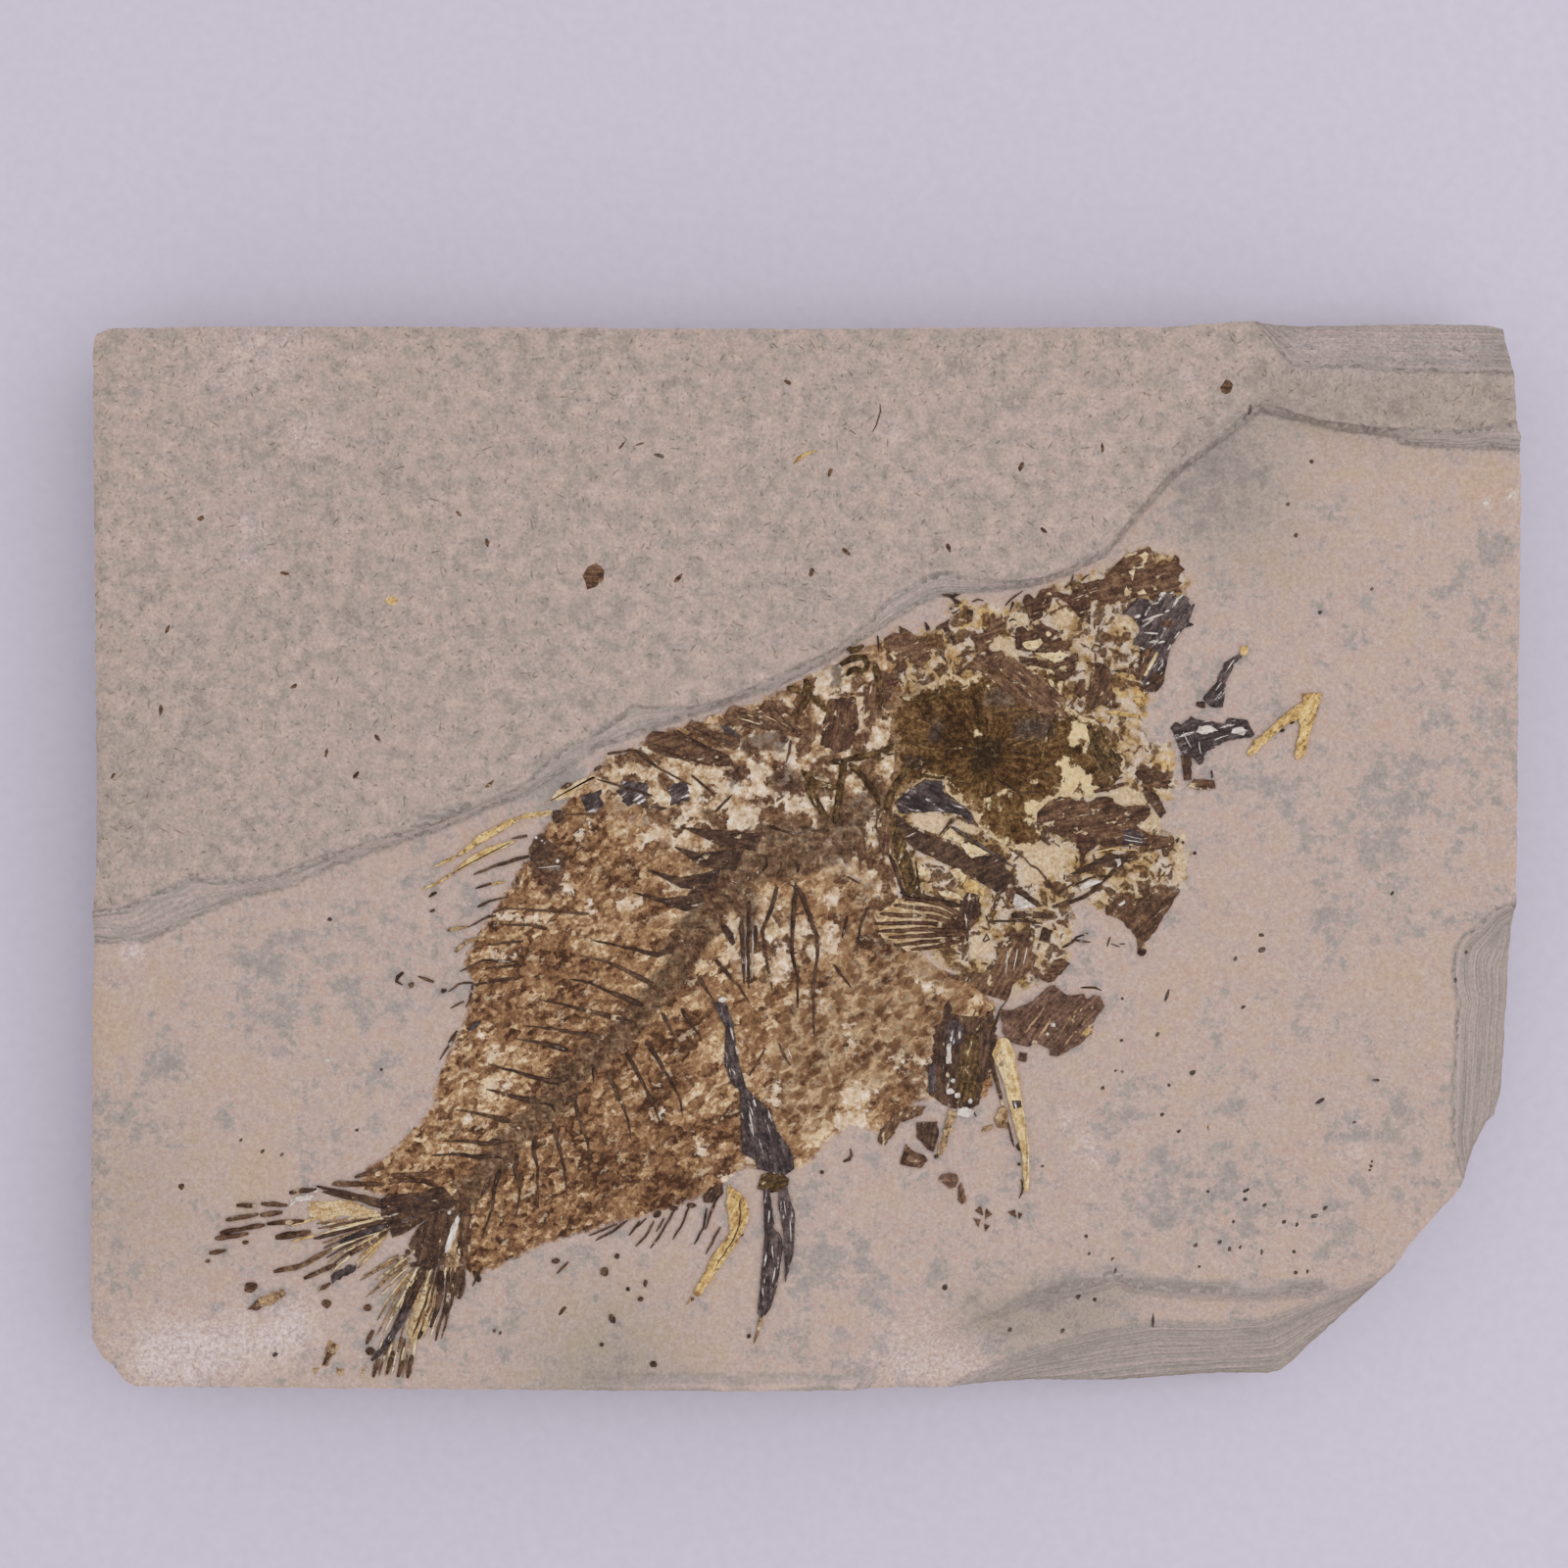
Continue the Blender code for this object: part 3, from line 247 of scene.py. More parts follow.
def enlivened(path, widths):
    """A path walked in short steps, a little off the straight, with a width for each step."""
    lengths = [0.0]
    for a, b in zip(path, path[1:]):
        lengths.append(lengths[-1] + math.dist(a, b))
    total = lengths[-1]
    marks = [total * k / (len(widths) - 1) for k in range(len(widths))]
    count = max(2, round(total / WALK_STEP))
    walked_points, thick = [], []
    for k in range(count + 1):
        s = total * k / count
        x, y = (float(np.interp(s, lengths, [p[i] for p in path])) for i in (0, 1))
        off = WALK_WANDER if 0 < k < count else 0.0
        walked_points.append((x + shades.uniform(-off, off), y + shades.uniform(-off, off)))
        end = END_WIDTH if k in (0, count) else shades.uniform(0.82, 1.18)
        thick.append(float(np.interp(s, marks, widths)) * end)
    return walked_points, thick


def rod(path, widths, finish, axis=ROD_AXIS, flat=0.55, sides=6):
    """A spine, ray or splinter: a ring extruded from point to point, turned and narrowed."""
    path, widths = enlivened(path, widths)
    stations = [at(p, axis) for p in path]
    runs = [b - a for a, b in zip(stations, stations[1:])]
    angles = [math.atan2(r.y, r.x) for r in runs]
    for k in range(1, len(angles)):
        while angles[k] - angles[k - 1] > math.pi:
            angles[k] -= 2 * math.pi
        while angles[k] - angles[k - 1] < -math.pi:
            angles[k] += 2 * math.pi
    faced = [angles[0]] + [(a + b) / 2 for a, b in zip(angles, angles[1:])] + [angles[-1]]
    let_go()
    bpy.ops.mesh.primitive_circle_add(vertices=sides, radius=widths[0] / 2 * MM, fill_type="NGON",
                                      location=stations[0],
                                      rotation=(math.pi / 2, 0, faced[0] + math.pi / 2))
    piece = bpy.context.object
    bpy.ops.object.transform_apply(location=True, rotation=True, scale=True)
    bpy.ops.object.mode_set(mode="EDIT")
    bpy.ops.mesh.select_all(action="SELECT")
    for k, run in enumerate(runs, 1):
        bpy.ops.mesh.extrude_region_move(TRANSFORM_OT_translate={"value": run})
        turn = faced[k] - faced[k - 1]
        if abs(turn) > 0.01:
            bpy.ops.transform.rotate(value=-turn, orient_axis="Z", center_override=stations[k])
        narrow = widths[k] / widths[k - 1]
        bpy.ops.transform.resize(value=(narrow, narrow, narrow), center_override=stations[k])
    bpy.ops.mesh.select_all(action="SELECT")
    bpy.ops.transform.resize(value=(1, 1, flat), center_override=stations[0])
    close_up()
    lengths = np.cumsum([0.0] + [r.length / MM for r in runs])
    ring = np.arange(len(piece.data.vertices)) // sides
    round_the_ring = 2 * np.pi * (np.arange(len(piece.data.vertices)) % sides) / sides
    across = np.cos(round_the_ring) * np.array(widths)[ring] / 2
    mark_grain(piece, lengths[ring] + path[0][0], across + path[0][1], shades.random())
    mark(piece, "rim", (np.sin(round_the_ring) > 0.3) * 1.0)
    piece.data.materials.append(finish)
    bpy.ops.object.shade_smooth()
    return piece


def plate(outline, finish, top=BONE_TOP, grain=0.0, worn=0.12, rough=0.07, step=0.35):
    """A flat bone: an outline extruded up out of the stone, its upper edge worn by an inset."""
    across = np.ptp(np.array(outline), axis=0).min()
    rough, worn = min(rough, 0.1 * across), min(worn, 0.16 * across)
    ring = ragged(anticlockwise(outline), step, rough, len(outline) + int(outline[0][0] * 10))
    piece = disc(ring, BONE_BASE)
    raise_by(top - WORN_DROP - BONE_BASE)
    bpy.ops.mesh.inset(thickness=worn * MM, depth=WORN_DROP * MM, use_boundary=True)
    close_up()
    points, heights = places(piece)
    c, s = math.cos(math.radians(grain)), math.sin(math.radians(grain))
    mark_grain(piece, points @ np.array((c, s)), points @ np.array((-s, c)), shades.random())
    mark(piece, "rim", (heights > top - 0.02) * 1.0)
    piece.data.materials.append(finish)
    return piece


def sheet(outline, finish, step, top=FILM_TOP, base=FILM_BASE, rough=0.1, seed=3):
    """A thin crust: a fine grid cut to a ragged outline, its rim drawn to it, and extruded down."""
    ring = ragged(anticlockwise(outline), max(0.3, step), rough, seed)
    low, high = np.array(ring).min(0), np.array(ring).max(0)
    middle, size = (low + high) / 2, high - low + 2 * step
    let_go()
    columns, rows = (round(side / step) for side in size)
    bpy.ops.mesh.primitive_grid_add(x_subdivisions=columns, y_subdivisions=rows, size=MM,
                                    location=at(middle, top))
    piece = bpy.context.object
    bpy.ops.object.transform_apply(location=True, rotation=True, scale=True)
    work_on(piece)
    bpy.ops.transform.resize(value=(size[0], size[1], 1), center_override=at(middle, top))
    bpy.ops.object.mode_set(mode="OBJECT")
    centres = np.zeros(len(piece.data.polygons) * 3)
    piece.data.polygons.foreach_get("center", centres)
    centres = centres.reshape(-1, 3)[:, :2] / MM + np.array(PLAN_CENTRE)
    work_on(piece)
    bpy.ops.mesh.select_mode(type="FACE")
    bpy.ops.mesh.select_all(action="DESELECT")
    bpy.ops.object.mode_set(mode="OBJECT")
    piece.data.polygons.foreach_set("select", ~inside(centres, ring))
    bpy.ops.object.mode_set(mode="EDIT")
    bpy.ops.mesh.delete(type="FACE")
    bpy.ops.mesh.select_mode(type="VERT")
    bpy.ops.mesh.select_all(action="DESELECT")
    bpy.ops.mesh.select_non_manifold(extend=False, use_wire=True, use_boundary=True,
                                     use_multi_face=False, use_non_contiguous=False, use_verts=False)
    bpy.ops.object.mode_set(mode="OBJECT")
    rim = np.zeros(len(piece.data.vertices), bool)
    piece.data.vertices.foreach_get("select", rim)
    points, heights = places(piece)
    away, on_line = nearest(points[rim], ring, True)
    points[rim] = np.where((away < step)[:, None], on_line, points[rim])
    put(piece, points, heights)
    work_on(piece)
    raise_by(base - top)
    bpy.ops.mesh.dissolve_faces()
    close_up()
    bpy.ops.object.shade_smooth_by_angle(angle=math.radians(50))
    points, heights = places(piece)
    mark_grain(piece, points[:, 0], points[:, 1], 0.5)
    mark(piece, "rim", (heights > top - 0.01) * 1.0)
    piece.data.materials.append(finish)
    return piece


def gather(name, parts, slot, *nodes):
    """Joins a piece's parts, names it and gives it its place on the slab."""
    let_go()
    for part in parts:
        part.select_set(True)
    bpy.context.view_layer.objects.active = parts[0]
    if len(parts) > 1:
        bpy.ops.object.join()
    piece = bpy.context.view_layer.objects.active
    piece.name = name
    piece.data.name = name
    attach(piece, "root")
    if nodes:
        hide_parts(*nodes)
    let_go()
    return piece


# ---------------------------------------------------------------- finishes
def colour(red, green, blue):
    """A colour matched on a scale of 255, as the linear numbers that a shader reads."""
    shares = [v / 255 for v in (red, green, blue)]
    return tuple(v / 12.92 if v <= 0.04045 else ((v + 0.055) / 1.055) ** 2.4 for v in shares) + (1.0,)


class Recipe:
    """A node tree, and short ways of adding to it.  Sizes are in millimetres."""

    def __init__(self, tree):
        self.tree = tree

    def add(self, kind, sockets=None, **settings):
        made = self.tree.nodes.new("ShaderNode" + kind)
        for name, value in settings.items():
            setattr(made, name, value)
        return self.feed(made, sockets or {})

    def feed(self, made, sockets):
        for name, value in sockets.items():
            if isinstance(value, bpy.types.NodeSocket):
                self.tree.links.new(value, made.inputs[name])
            else:
                made.inputs[name].default_value = value
        return made

    def sum(self, operation, a, b=0.0):
        return self.add("Math", {0: a, 1: b}, operation=operation).outputs[0]

    def times(self, a, b):
        return self.sum("MULTIPLY", a, b)

    def plus(self, a, b):
        return self.sum("ADD", a, b)

    def less(self, a, b):
        return self.sum("SUBTRACT", a, b)

    def vector(self, operation, a, b=(0.0, 0.0, 0.0), scale=1.0):
        made = self.add("VectorMath", {0: a, 1: b, 3: scale}, operation=operation)
        return made.outputs["Value" if operation in ("DOT_PRODUCT", "LENGTH") else "Vector"]

    def noise(self, place, size, detail=2.0, roughness=0.55, distortion=0.0):
        sockets = {"Vector": place, "Scale": 1 / size, "Detail": detail,
                   "Roughness": roughness, "Distortion": distortion}
        return self.add("TexNoise", sockets).outputs["Fac"]

    def between(self, value, low, high, least=0.0, most=1.0):
        made = self.add("MapRange", {0: value, 1: low, 2: high, 3: least, 4: most}, clamp=True)
        return made.outputs[0]

    def blend(self, mask, a, b, kind="MIX"):
        return self.add("Mix", {0: mask, 6: a, 7: b}, data_type="RGBA", blend_type=kind).outputs[2]

    def ramp(self, value, *stops):
        """Colours at places from 0 to 1, blended between."""
        made = self.add("ValToRGB", {0: value})
        first, last = made.color_ramp.elements[0], made.color_ramp.elements[1]
        first.position, first.color = stops[0][0], colour(*stops[0][1])
        last.position, last.color = stops[-1][0], colour(*stops[-1][1])
        for place, shade in stops[1:-1]:
            made.color_ramp.elements.new(place).color = colour(*shade)
        return made.outputs[0]

    def read(self, name):
        return self.add("Attribute", attribute_name=name).outputs["Fac"]

    def read_vector(self, name):
        return self.add("Attribute", attribute_name=name).outputs["Vector"]

    def place(self):
        """Where a point is on the slab, in millimetres."""
        return self.vector("SCALE", self.add("TexCoord").outputs["Object"], scale=1000.0)

    def stretched(self, place, turn, shares):
        """A place turned about the slab's upright and then squeezed, for a pattern that lies askew."""
        turned = self.add("Mapping", {"Vector": place, "Rotation": (0, 0, math.radians(turn))})
        return self.vector("MULTIPLY", turned.outputs[0], shares)

    def use(self, effect, **sockets):
        made = self.add("Group", node_tree=effect)
        return self.feed(made, {k.replace("_", " "): v for k, v in sockets.items()}).outputs

    def shade(self, base, roughness, height=None, relief=0.1, specular=0.25):
        """Ends a finish: base colour, roughness, and relief in millimetres."""
        shader = self.add("BsdfPrincipled", {"Base Color": base, "Roughness": roughness,
                                             "Specular IOR Level": specular})
        if height is not None:
            bump = self.add("Bump", {"Height": height, "Strength": 1.0, "Distance": relief * MM})
            self.tree.links.new(bump.outputs[0], shader.inputs["Normal"])
        end = self.add("OutputMaterial")
        self.tree.links.new(shader.outputs[0], end.inputs["Surface"])


def effect(name, inputs, outputs):
    """A shared effect with named inputs and outputs."""
    tree = bpy.data.node_groups.new(name, "ShaderNodeTree")
    for label, value in inputs.items():
        kind = "NodeSocketVector" if isinstance(value, tuple) else "NodeSocketFloat"
        tree.interface.new_socket(name=label, in_out="INPUT", socket_type=kind).default_value = value
    for label in outputs:
        kind = "NodeSocketColor" if label == "Colour" else "NodeSocketFloat"
        tree.interface.new_socket(name=label, in_out="OUTPUT", socket_type=kind)
    taken = tree.nodes.new("NodeGroupInput").outputs
    given = tree.nodes.new("NodeGroupOutput").inputs
    return tree, Recipe(tree), taken, given


def make_ragged_patch():
    """A patch with a torn edge, from how deep a point lies inside its drawn outline."""
    tree, r, taken, given = effect("ragged_patch", {
        "Depth": 0.0, "Place": (0.0, 0.0, 0.0), "Raggedness": 0.5, "Grains": 2.0, "Softness": 0.1}, ["Mask"])
    tear = r.add("TexNoise", {"Vector": taken["Place"], "Scale": taken["Grains"], "Detail": 3.0,
                              "Roughness": 0.65}).outputs["Fac"]
    tear = r.times(r.less(tear, 0.5), taken["Raggedness"])
    depth = r.plus(taken["Depth"], r.times(tear, 2.0))
    edge = r.sum("DIVIDE", depth, taken["Softness"])
    tree.links.new(r.between(edge, -0.5, 0.5), given["Mask"])
    return tree


def make_needle_flecks():
    """Short needles strewn at random, each turned its own way."""
    tree, r, taken, given = effect("needle_flecks", {
        "Place": (0.0, 0.0, 0.0), "Spacing": 1.5, "Length": 0.8, "Breadth": 0.16, "Share": 0.5}, ["Mask"])
    scaled = r.vector("DIVIDE", taken["Place"], r.add("CombineXYZ", {
        0: taken["Spacing"], 1: taken["Spacing"], 2: taken["Spacing"]}).outputs[0])
    cell = r.add("TexVoronoi", {"Vector": scaled, "Scale": 1.0, "Randomness": 0.9}, voronoi_dimensions="2D")
    away = r.vector("SUBTRACT", scaled, cell.outputs["Position"])
    chance = r.add("SeparateColor", {0: cell.outputs["Color"]}).outputs
    turn = r.times(chance[0], math.tau)
    cosine, sine = r.sum("COSINE", turn), r.sum("SINE", turn)
    run = r.add("CombineXYZ", {0: cosine, 1: sine}).outputs[0]
    side = r.add("CombineXYZ", {0: r.times(sine, -1.0), 1: cosine}).outputs[0]
    long = r.times(taken["Length"], r.plus(chance[2], 0.3))
    along = r.sum("DIVIDE", r.times(r.vector("DOT_PRODUCT", away, run), taken["Spacing"]), long)
    across = r.sum("DIVIDE", r.times(r.vector("DOT_PRODUCT", away, side), taken["Spacing"]),
                   taken["Breadth"])
    ring = r.plus(r.sum("POWER", r.sum("ABSOLUTE", along), 2.0),
                 r.sum("POWER", r.sum("ABSOLUTE", across), 2.0))
    kept = r.sum("LESS_THAN", chance[1], taken["Share"])
    tree.links.new(r.times(r.between(ring, 0.34, 0.16), kept), given["Mask"])
    return tree


def make_scale_mosaic():
    """Crushed scales lying over each other: a shade for each, and how far a point is from its middle."""
    tree, r, taken, given = effect("scale_mosaic", {
        "Place": (0.0, 0.0, 0.0), "Scales": 0.9, "Crush": 0.5}, ["Shade", "Rim", "Crumb", "Height"])
    bent = r.add("TexNoise", {"Vector": taken["Place"], "Scale": 1.4, "Detail": 2.0}).outputs["Color"]
    bent = r.vector("SCALE", r.vector("SUBTRACT", bent, (0.5, 0.5, 0.5)), scale=taken["Crush"])
    place = r.vector("ADD", taken["Place"], bent)
    cell = r.add("TexVoronoi", {"Vector": place, "Scale": taken["Scales"]}, voronoi_dimensions="2D")
    fine = r.add("TexVoronoi", {"Vector": place, "Scale": r.times(taken["Scales"], 2.6)},
                 voronoi_dimensions="2D")
    shade = r.add("SeparateColor", {0: cell.outputs["Color"]}).outputs
    crumb = r.add("SeparateColor", {0: fine.outputs["Color"]}).outputs
    rim = r.between(cell.outputs["Distance"], 0.15, 0.6)
    tree.links.new(shade[0], given["Shade"])
    tree.links.new(rim, given["Rim"])
    tree.links.new(crumb[0], given["Crumb"])
    height = r.plus(r.times(shade[1], 0.6), r.times(crumb[1], 0.4))
    tree.links.new(height, given["Height"])
    return tree


def make_bone_streaks():
    """Fibres along a bone: long fine streaks with breaks across them."""
    tree, r, taken, given = effect("bone_streaks", {
        "Grain": (0.0, 0.0, 0.0), "Fineness": 3.0, "Length": 2.0}, ["Streak", "Shade"])
    parts = r.add("SeparateXYZ", {0: taken["Grain"]}).outputs
    bundle = r.add("CombineXYZ", {0: r.sum("DIVIDE", parts[0], taken["Length"]),
                                  1: r.times(parts[1], taken["Fineness"]),
                                  2: r.times(parts[2], 37.0)}).outputs[0]
    streak = r.noise(bundle, 1.0, 3.0, 0.6)
    tree.links.new(streak, given["Streak"])
    tree.links.new(parts[2], given["Shade"])
    return tree


def make_stone_tones():
    """The fish layer's own stone: yellow-grey and lavender-grey clouds."""
    tree, r, taken, given = effect("stone_tones", {
        "Place": (0.0, 0.0, 0.0), "Tint": 0.0}, ["Colour", "Cloud"])
    broad = r.noise(taken["Place"], 5.0, 3.0, 0.6)
    mild = r.noise(taken["Place"], 1.5, 4.0, 0.7)
    tint = r.plus(taken["Tint"], r.times(r.less(broad, 0.5), 2.2))
    tint = r.plus(tint, r.times(r.less(mild, 0.5), 3.4))
    tones = r.ramp(r.between(tint, -1.0, 1.0), (0.0, (175, 163, 159)), (0.3, (188, 175, 168)),
                   (0.42, (199, 186, 178)), (0.6, (201, 187, 176)), (1.0, (200, 185, 165)))
    tree.links.new(tones, given["Colour"])
    tree.links.new(mild, given["Cloud"])
    return tree


RAGGED_PATCH = make_ragged_patch()
NEEDLE_FLECKS = make_needle_flecks()
SCALE_MOSAIC = make_scale_mosaic()
BONE_STREAKS = make_bone_streaks()
STONE_TONES = make_stone_tones()


def finish(name, recipe):
    """A new finish, made by its recipe."""
    made = bpy.data.materials.new(name)
    made.use_nodes = True
    made.node_tree.nodes.clear()
    recipe(Recipe(made.node_tree))
    return made


def torn_patch(r, depth, place, raggedness, grains, softness):
    """Where a drawn patch shows, with its edge torn."""
    return r.use(RAGGED_PATCH, Depth=depth, Place=place, Raggedness=raggedness, Grains=grains,
                 Softness=softness)["Mask"]


def grained(r, base, fine, share=0.55):
    """Lays the stone's fine grain over a colour."""
    grain = r.ramp(r.between(fine, 0.3, 0.72), (0.0, (92, 91, 90)), (1.0, (162, 162, 163)))
    return r.blend(share, base, grain, "OVERLAY")


def strewn_splinters(r, place, layers):
    """Broken splinters of several sizes, thrown over each other."""
    splinters = None
    for shift, spacing, length, breadth, share in layers:
        mask = r.use(NEEDLE_FLECKS, Place=r.vector("ADD", place, (shift, shift * 0.3, 0.0)), Spacing=spacing,
                     Length=length, Breadth=breadth, Share=share)["Mask"]
        splinters = mask if splinters is None else r.sum("MAXIMUM", splinters, mask)
    return splinters


def wavered(r, place, reach):
    """A place pushed about by fine noise, so that what is drawn there has torn edges."""
    bend = r.add("TexNoise", {"Vector": place, "Scale": 0.9, "Detail": 3.0}).outputs["Color"]
    return r.vector("ADD", place, r.vector("SCALE", r.vector("SUBTRACT", bend, (0.5, 0.5, 0.5)), scale=reach))


def limestone(r):
    place = r.place()
    upright = r.add("SeparateXYZ", {0: place}).outputs[2]
    ground = r.use(STONE_TONES, Place=place, Tint=r.read("tint"))
    base, mild = ground["Colour"], ground["Cloud"]
    fine = r.noise(place, 0.36, 3.0, 0.75)
    upper = torn_patch(r, r.read("upper"), place, 0.35, 1.6, 0.5)
    base = r.blend(r.times(upper, 0.75), base,
                   r.ramp(mild, (0.32, (173, 157, 148)), (0.5, (192, 178, 169)),
                          (0.68, (205, 193, 185))))
    bands = r.add("CombineXYZ", {0: r.times(r.noise(place, 9.0), 3.0),
                                 1: r.times(r.read("fall"), 6.5)}).outputs[0]
    lamina = r.noise(bands, 1.0, 2.0, 0.6)
    grey = r.ramp(lamina, (0.3, (152, 140, 134)), (0.45, (180, 167, 160)),
                  (0.6, (196, 183, 177)), (0.7, (206, 194, 188)))
    slope = torn_patch(r, r.read("grey"), place, 0.35, 1.2, 0.7)
    base = r.blend(r.times(slope, 0.85), base, grey)
    layer = r.noise(r.vector("MULTIPLY", place, (0.05, 0.05, 2.2)), 1.0, 3.0, 0.6)
    side = r.ramp(layer, (0.3, (146, 131, 117)), (0.5, (176, 161, 147)),
                  (0.62, (192, 178, 162)), (0.7, (160, 144, 128)))
    facing = r.add("NewGeometry").outputs["True Normal"]
    turned = r.sum("ABSOLUTE", r.add("SeparateXYZ", {0: facing}).outputs[2])
    wall = r.times(r.between(turned, 0.75, 0.45), r.between(upright, 11.2, 10.6))
    base = r.blend(wall, base, side)
    chalk = torn_patch(r, r.read("chalk"), place, 0.6, 0.9, 1.0)
    chalky = r.ramp(fine, (0.3, (196, 184, 182)), (0.6, (217, 208, 208)))
    base = r.blend(r.times(chalk, 0.85), base, chalky)
    needles = r.use(NEEDLE_FLECKS, Place=place, Spacing=2.6, Length=0.95, Breadth=0.17, Share=0.38)["Mask"]
    small = r.use(NEEDLE_FLECKS, Place=r.vector("ADD", place, (31.0, 17.0, 0.0)), Spacing=1.35, Length=0.45,
                  Breadth=0.16, Share=0.36)["Mask"]
    strewn = r.times(r.sum("MAXIMUM", needles, small), r.plus(r.times(upper, 0.75), 0.1))
    strewn = r.times(strewn, r.between(upright, 11.0, 11.4))
    base = r.blend(r.times(strewn, 0.6), base, r.ramp(mild, (0.4, (96, 74, 56)), (0.6, (148, 118, 92))))
    pepper = r.between(r.noise(place, 0.55, 2.0, 0.7), 0.62, 0.72)
    base = r.blend(r.times(pepper, r.plus(r.times(upper, 0.34), 0.12)), base, colour(122, 98, 80))
    # Darkens and warms the stone a little where the darkening field is set.
    base = r.blend(r.between(r.read("darkening"), 0.0, 1.0), base, colour(190, 175, 163), "MULTIPLY")
    base = grained(r, base, fine)
    height = r.plus(r.times(mild, 0.6), r.times(fine, 0.4))
    height = r.plus(height, r.times(r.times(lamina, slope), 0.9))
    height = r.plus(height, r.times(r.times(layer, wall), 1.2))
    r.shade(base, r.between(fine, 0.2, 0.8, 0.86, 0.96), height, 0.14, 0.05)


def faded(r, base, place, low=0.15, torn=0.9):
    """Lets a crust's outer edge break up into the stone around it."""
    kept = torn_patch(r, r.less(r.read("edge"), low), place, torn, 1.1, 0.5)
    stone = grained(r, r.use(STONE_TONES, Place=place, Tint=0.2)["Colour"], r.noise(place, 0.36, 3.0, 0.75))
    return r.blend(kept, stone, base)


def scales(r):
    place = r.place()
    lying = r.stretched(place, -33, (0.72, 1.0, 1.0))
    mosaic = r.use(SCALE_MOSAIC, Place=lying, Scales=0.95, Crush=1.3)
    small = r.use(SCALE_MOSAIC, Place=lying, Scales=1.9, Crush=0.8)
    mix = r.blend(r.between(r.read("fine"), 0.3, 0.7), mosaic["Shade"], small["Shade"])
    cloud = r.noise(lying, 3.4, 3.0, 0.62)
    grit = r.noise(place, 0.45, 3.0, 0.75)
    tone = r.plus(r.times(mix, 0.30), r.times(mosaic["Crumb"], 0.20))
    tone = r.plus(tone, r.times(cloud, 0.58))
    tone = r.plus(tone, r.times(r.less(grit, 0.5), 0.62))
    tone = r.less(tone, r.times(r.read("dark"), 0.125))
    tone = r.plus(tone, r.times(r.read("pale"), 0.10))
    base = r.ramp(tone, (0.28, (66, 42, 30)), (0.39, (102, 71, 50)), (0.50, (134, 98, 70)),
                  (0.60, (157, 122, 89)), (0.70, (186, 156, 122)), (0.81, (210, 191, 166)))
    flaked = r.between(r.noise(lying, 1.15, 4.0, 0.7), 0.585, 0.635)
    base = r.blend(r.times(flaked, 0.65), base,
                   r.ramp(grit, (0.35, (168, 138, 104)), (0.6, (208, 188, 164))))
    round_ones = r.times(r.between(r.read("round"), 0.2, 0.6), 0.6)
    rims = r.ramp(mosaic["Rim"], (0.1, (70, 46, 33)), (0.5, (112, 80, 58)),
                  (0.72, (152, 121, 92)), (0.9, (190, 166, 136)))
    base = r.blend(r.times(round_ones, r.between(grit, 0.3, 0.6)), base, rims)
    shards = strewn_splinters(r, wavered(r, place, 2.2), (
        (9.0, 2.8, 4.4, 1.5, 0.8), (27.0, 2.0, 3.2, 0.8, 0.6)))
    ground = r.ramp(r.noise(place, 1.3, 4.0, 0.7), (0.38, (128, 94, 66)), (0.47, (176, 146, 114)),
                    (0.56, (208, 190, 168)), (0.64, (222, 211, 200)))
    plates = r.blend(shards, ground, r.ramp(grit, (0.32, (58, 38, 29)), (0.5, (96, 68, 50)),
                                           (0.68, (144, 112, 86))))
    torn = r.plus(r.read("plates"), r.times(r.less(cloud, 0.5), 1.4))
    base = r.blend(r.between(torn, 0.25, 0.6, 0.0, 0.9), base, plates)
    spine = torn_patch(r, r.read("spine"), place, 1.3, 1.1, 0.6)
    knobs = r.noise(place, 0.7, 4.0, 0.7)
    backbone = r.ramp(knobs, (0.34, (38, 25, 19)), (0.44, (74, 52, 40)),
                      (0.56, (112, 86, 66)), (0.70, (168, 142, 116)))
    base = r.blend(r.times(spine, 0.85), base, backbone)
    bare = torn_patch(r, r.less(r.read("bare"), 0.2), place, 1.9, 1.1, 0.3)
    stone = r.ramp(r.noise(place, 0.8, 3.0), (0.3, (170, 142, 114)), (0.5, (204, 184, 162)),
                   (0.66, (220, 208, 198)))
    base = r.blend(r.times(bare, 0.9), base, stone)
    soot = torn_patch(r, r.read("black"), place, 1.1, 1.4, 0.5)
    base = r.blend(r.times(soot, 0.75), base,
                   r.ramp(grit, (0.3, (44, 30, 26)), (0.5, (76, 54, 46)), (0.7, (120, 94, 78))))
    base = faded(r, base, place)
    height = r.plus(r.times(mosaic["Height"], 0.5), r.times(grit, 0.7))
    height = r.plus(height, r.times(r.times(knobs, spine), 1.2))
    r.shade(base, r.between(tone, 0.3, 0.8, 0.62, 0.88), height, 0.14, 0.08)


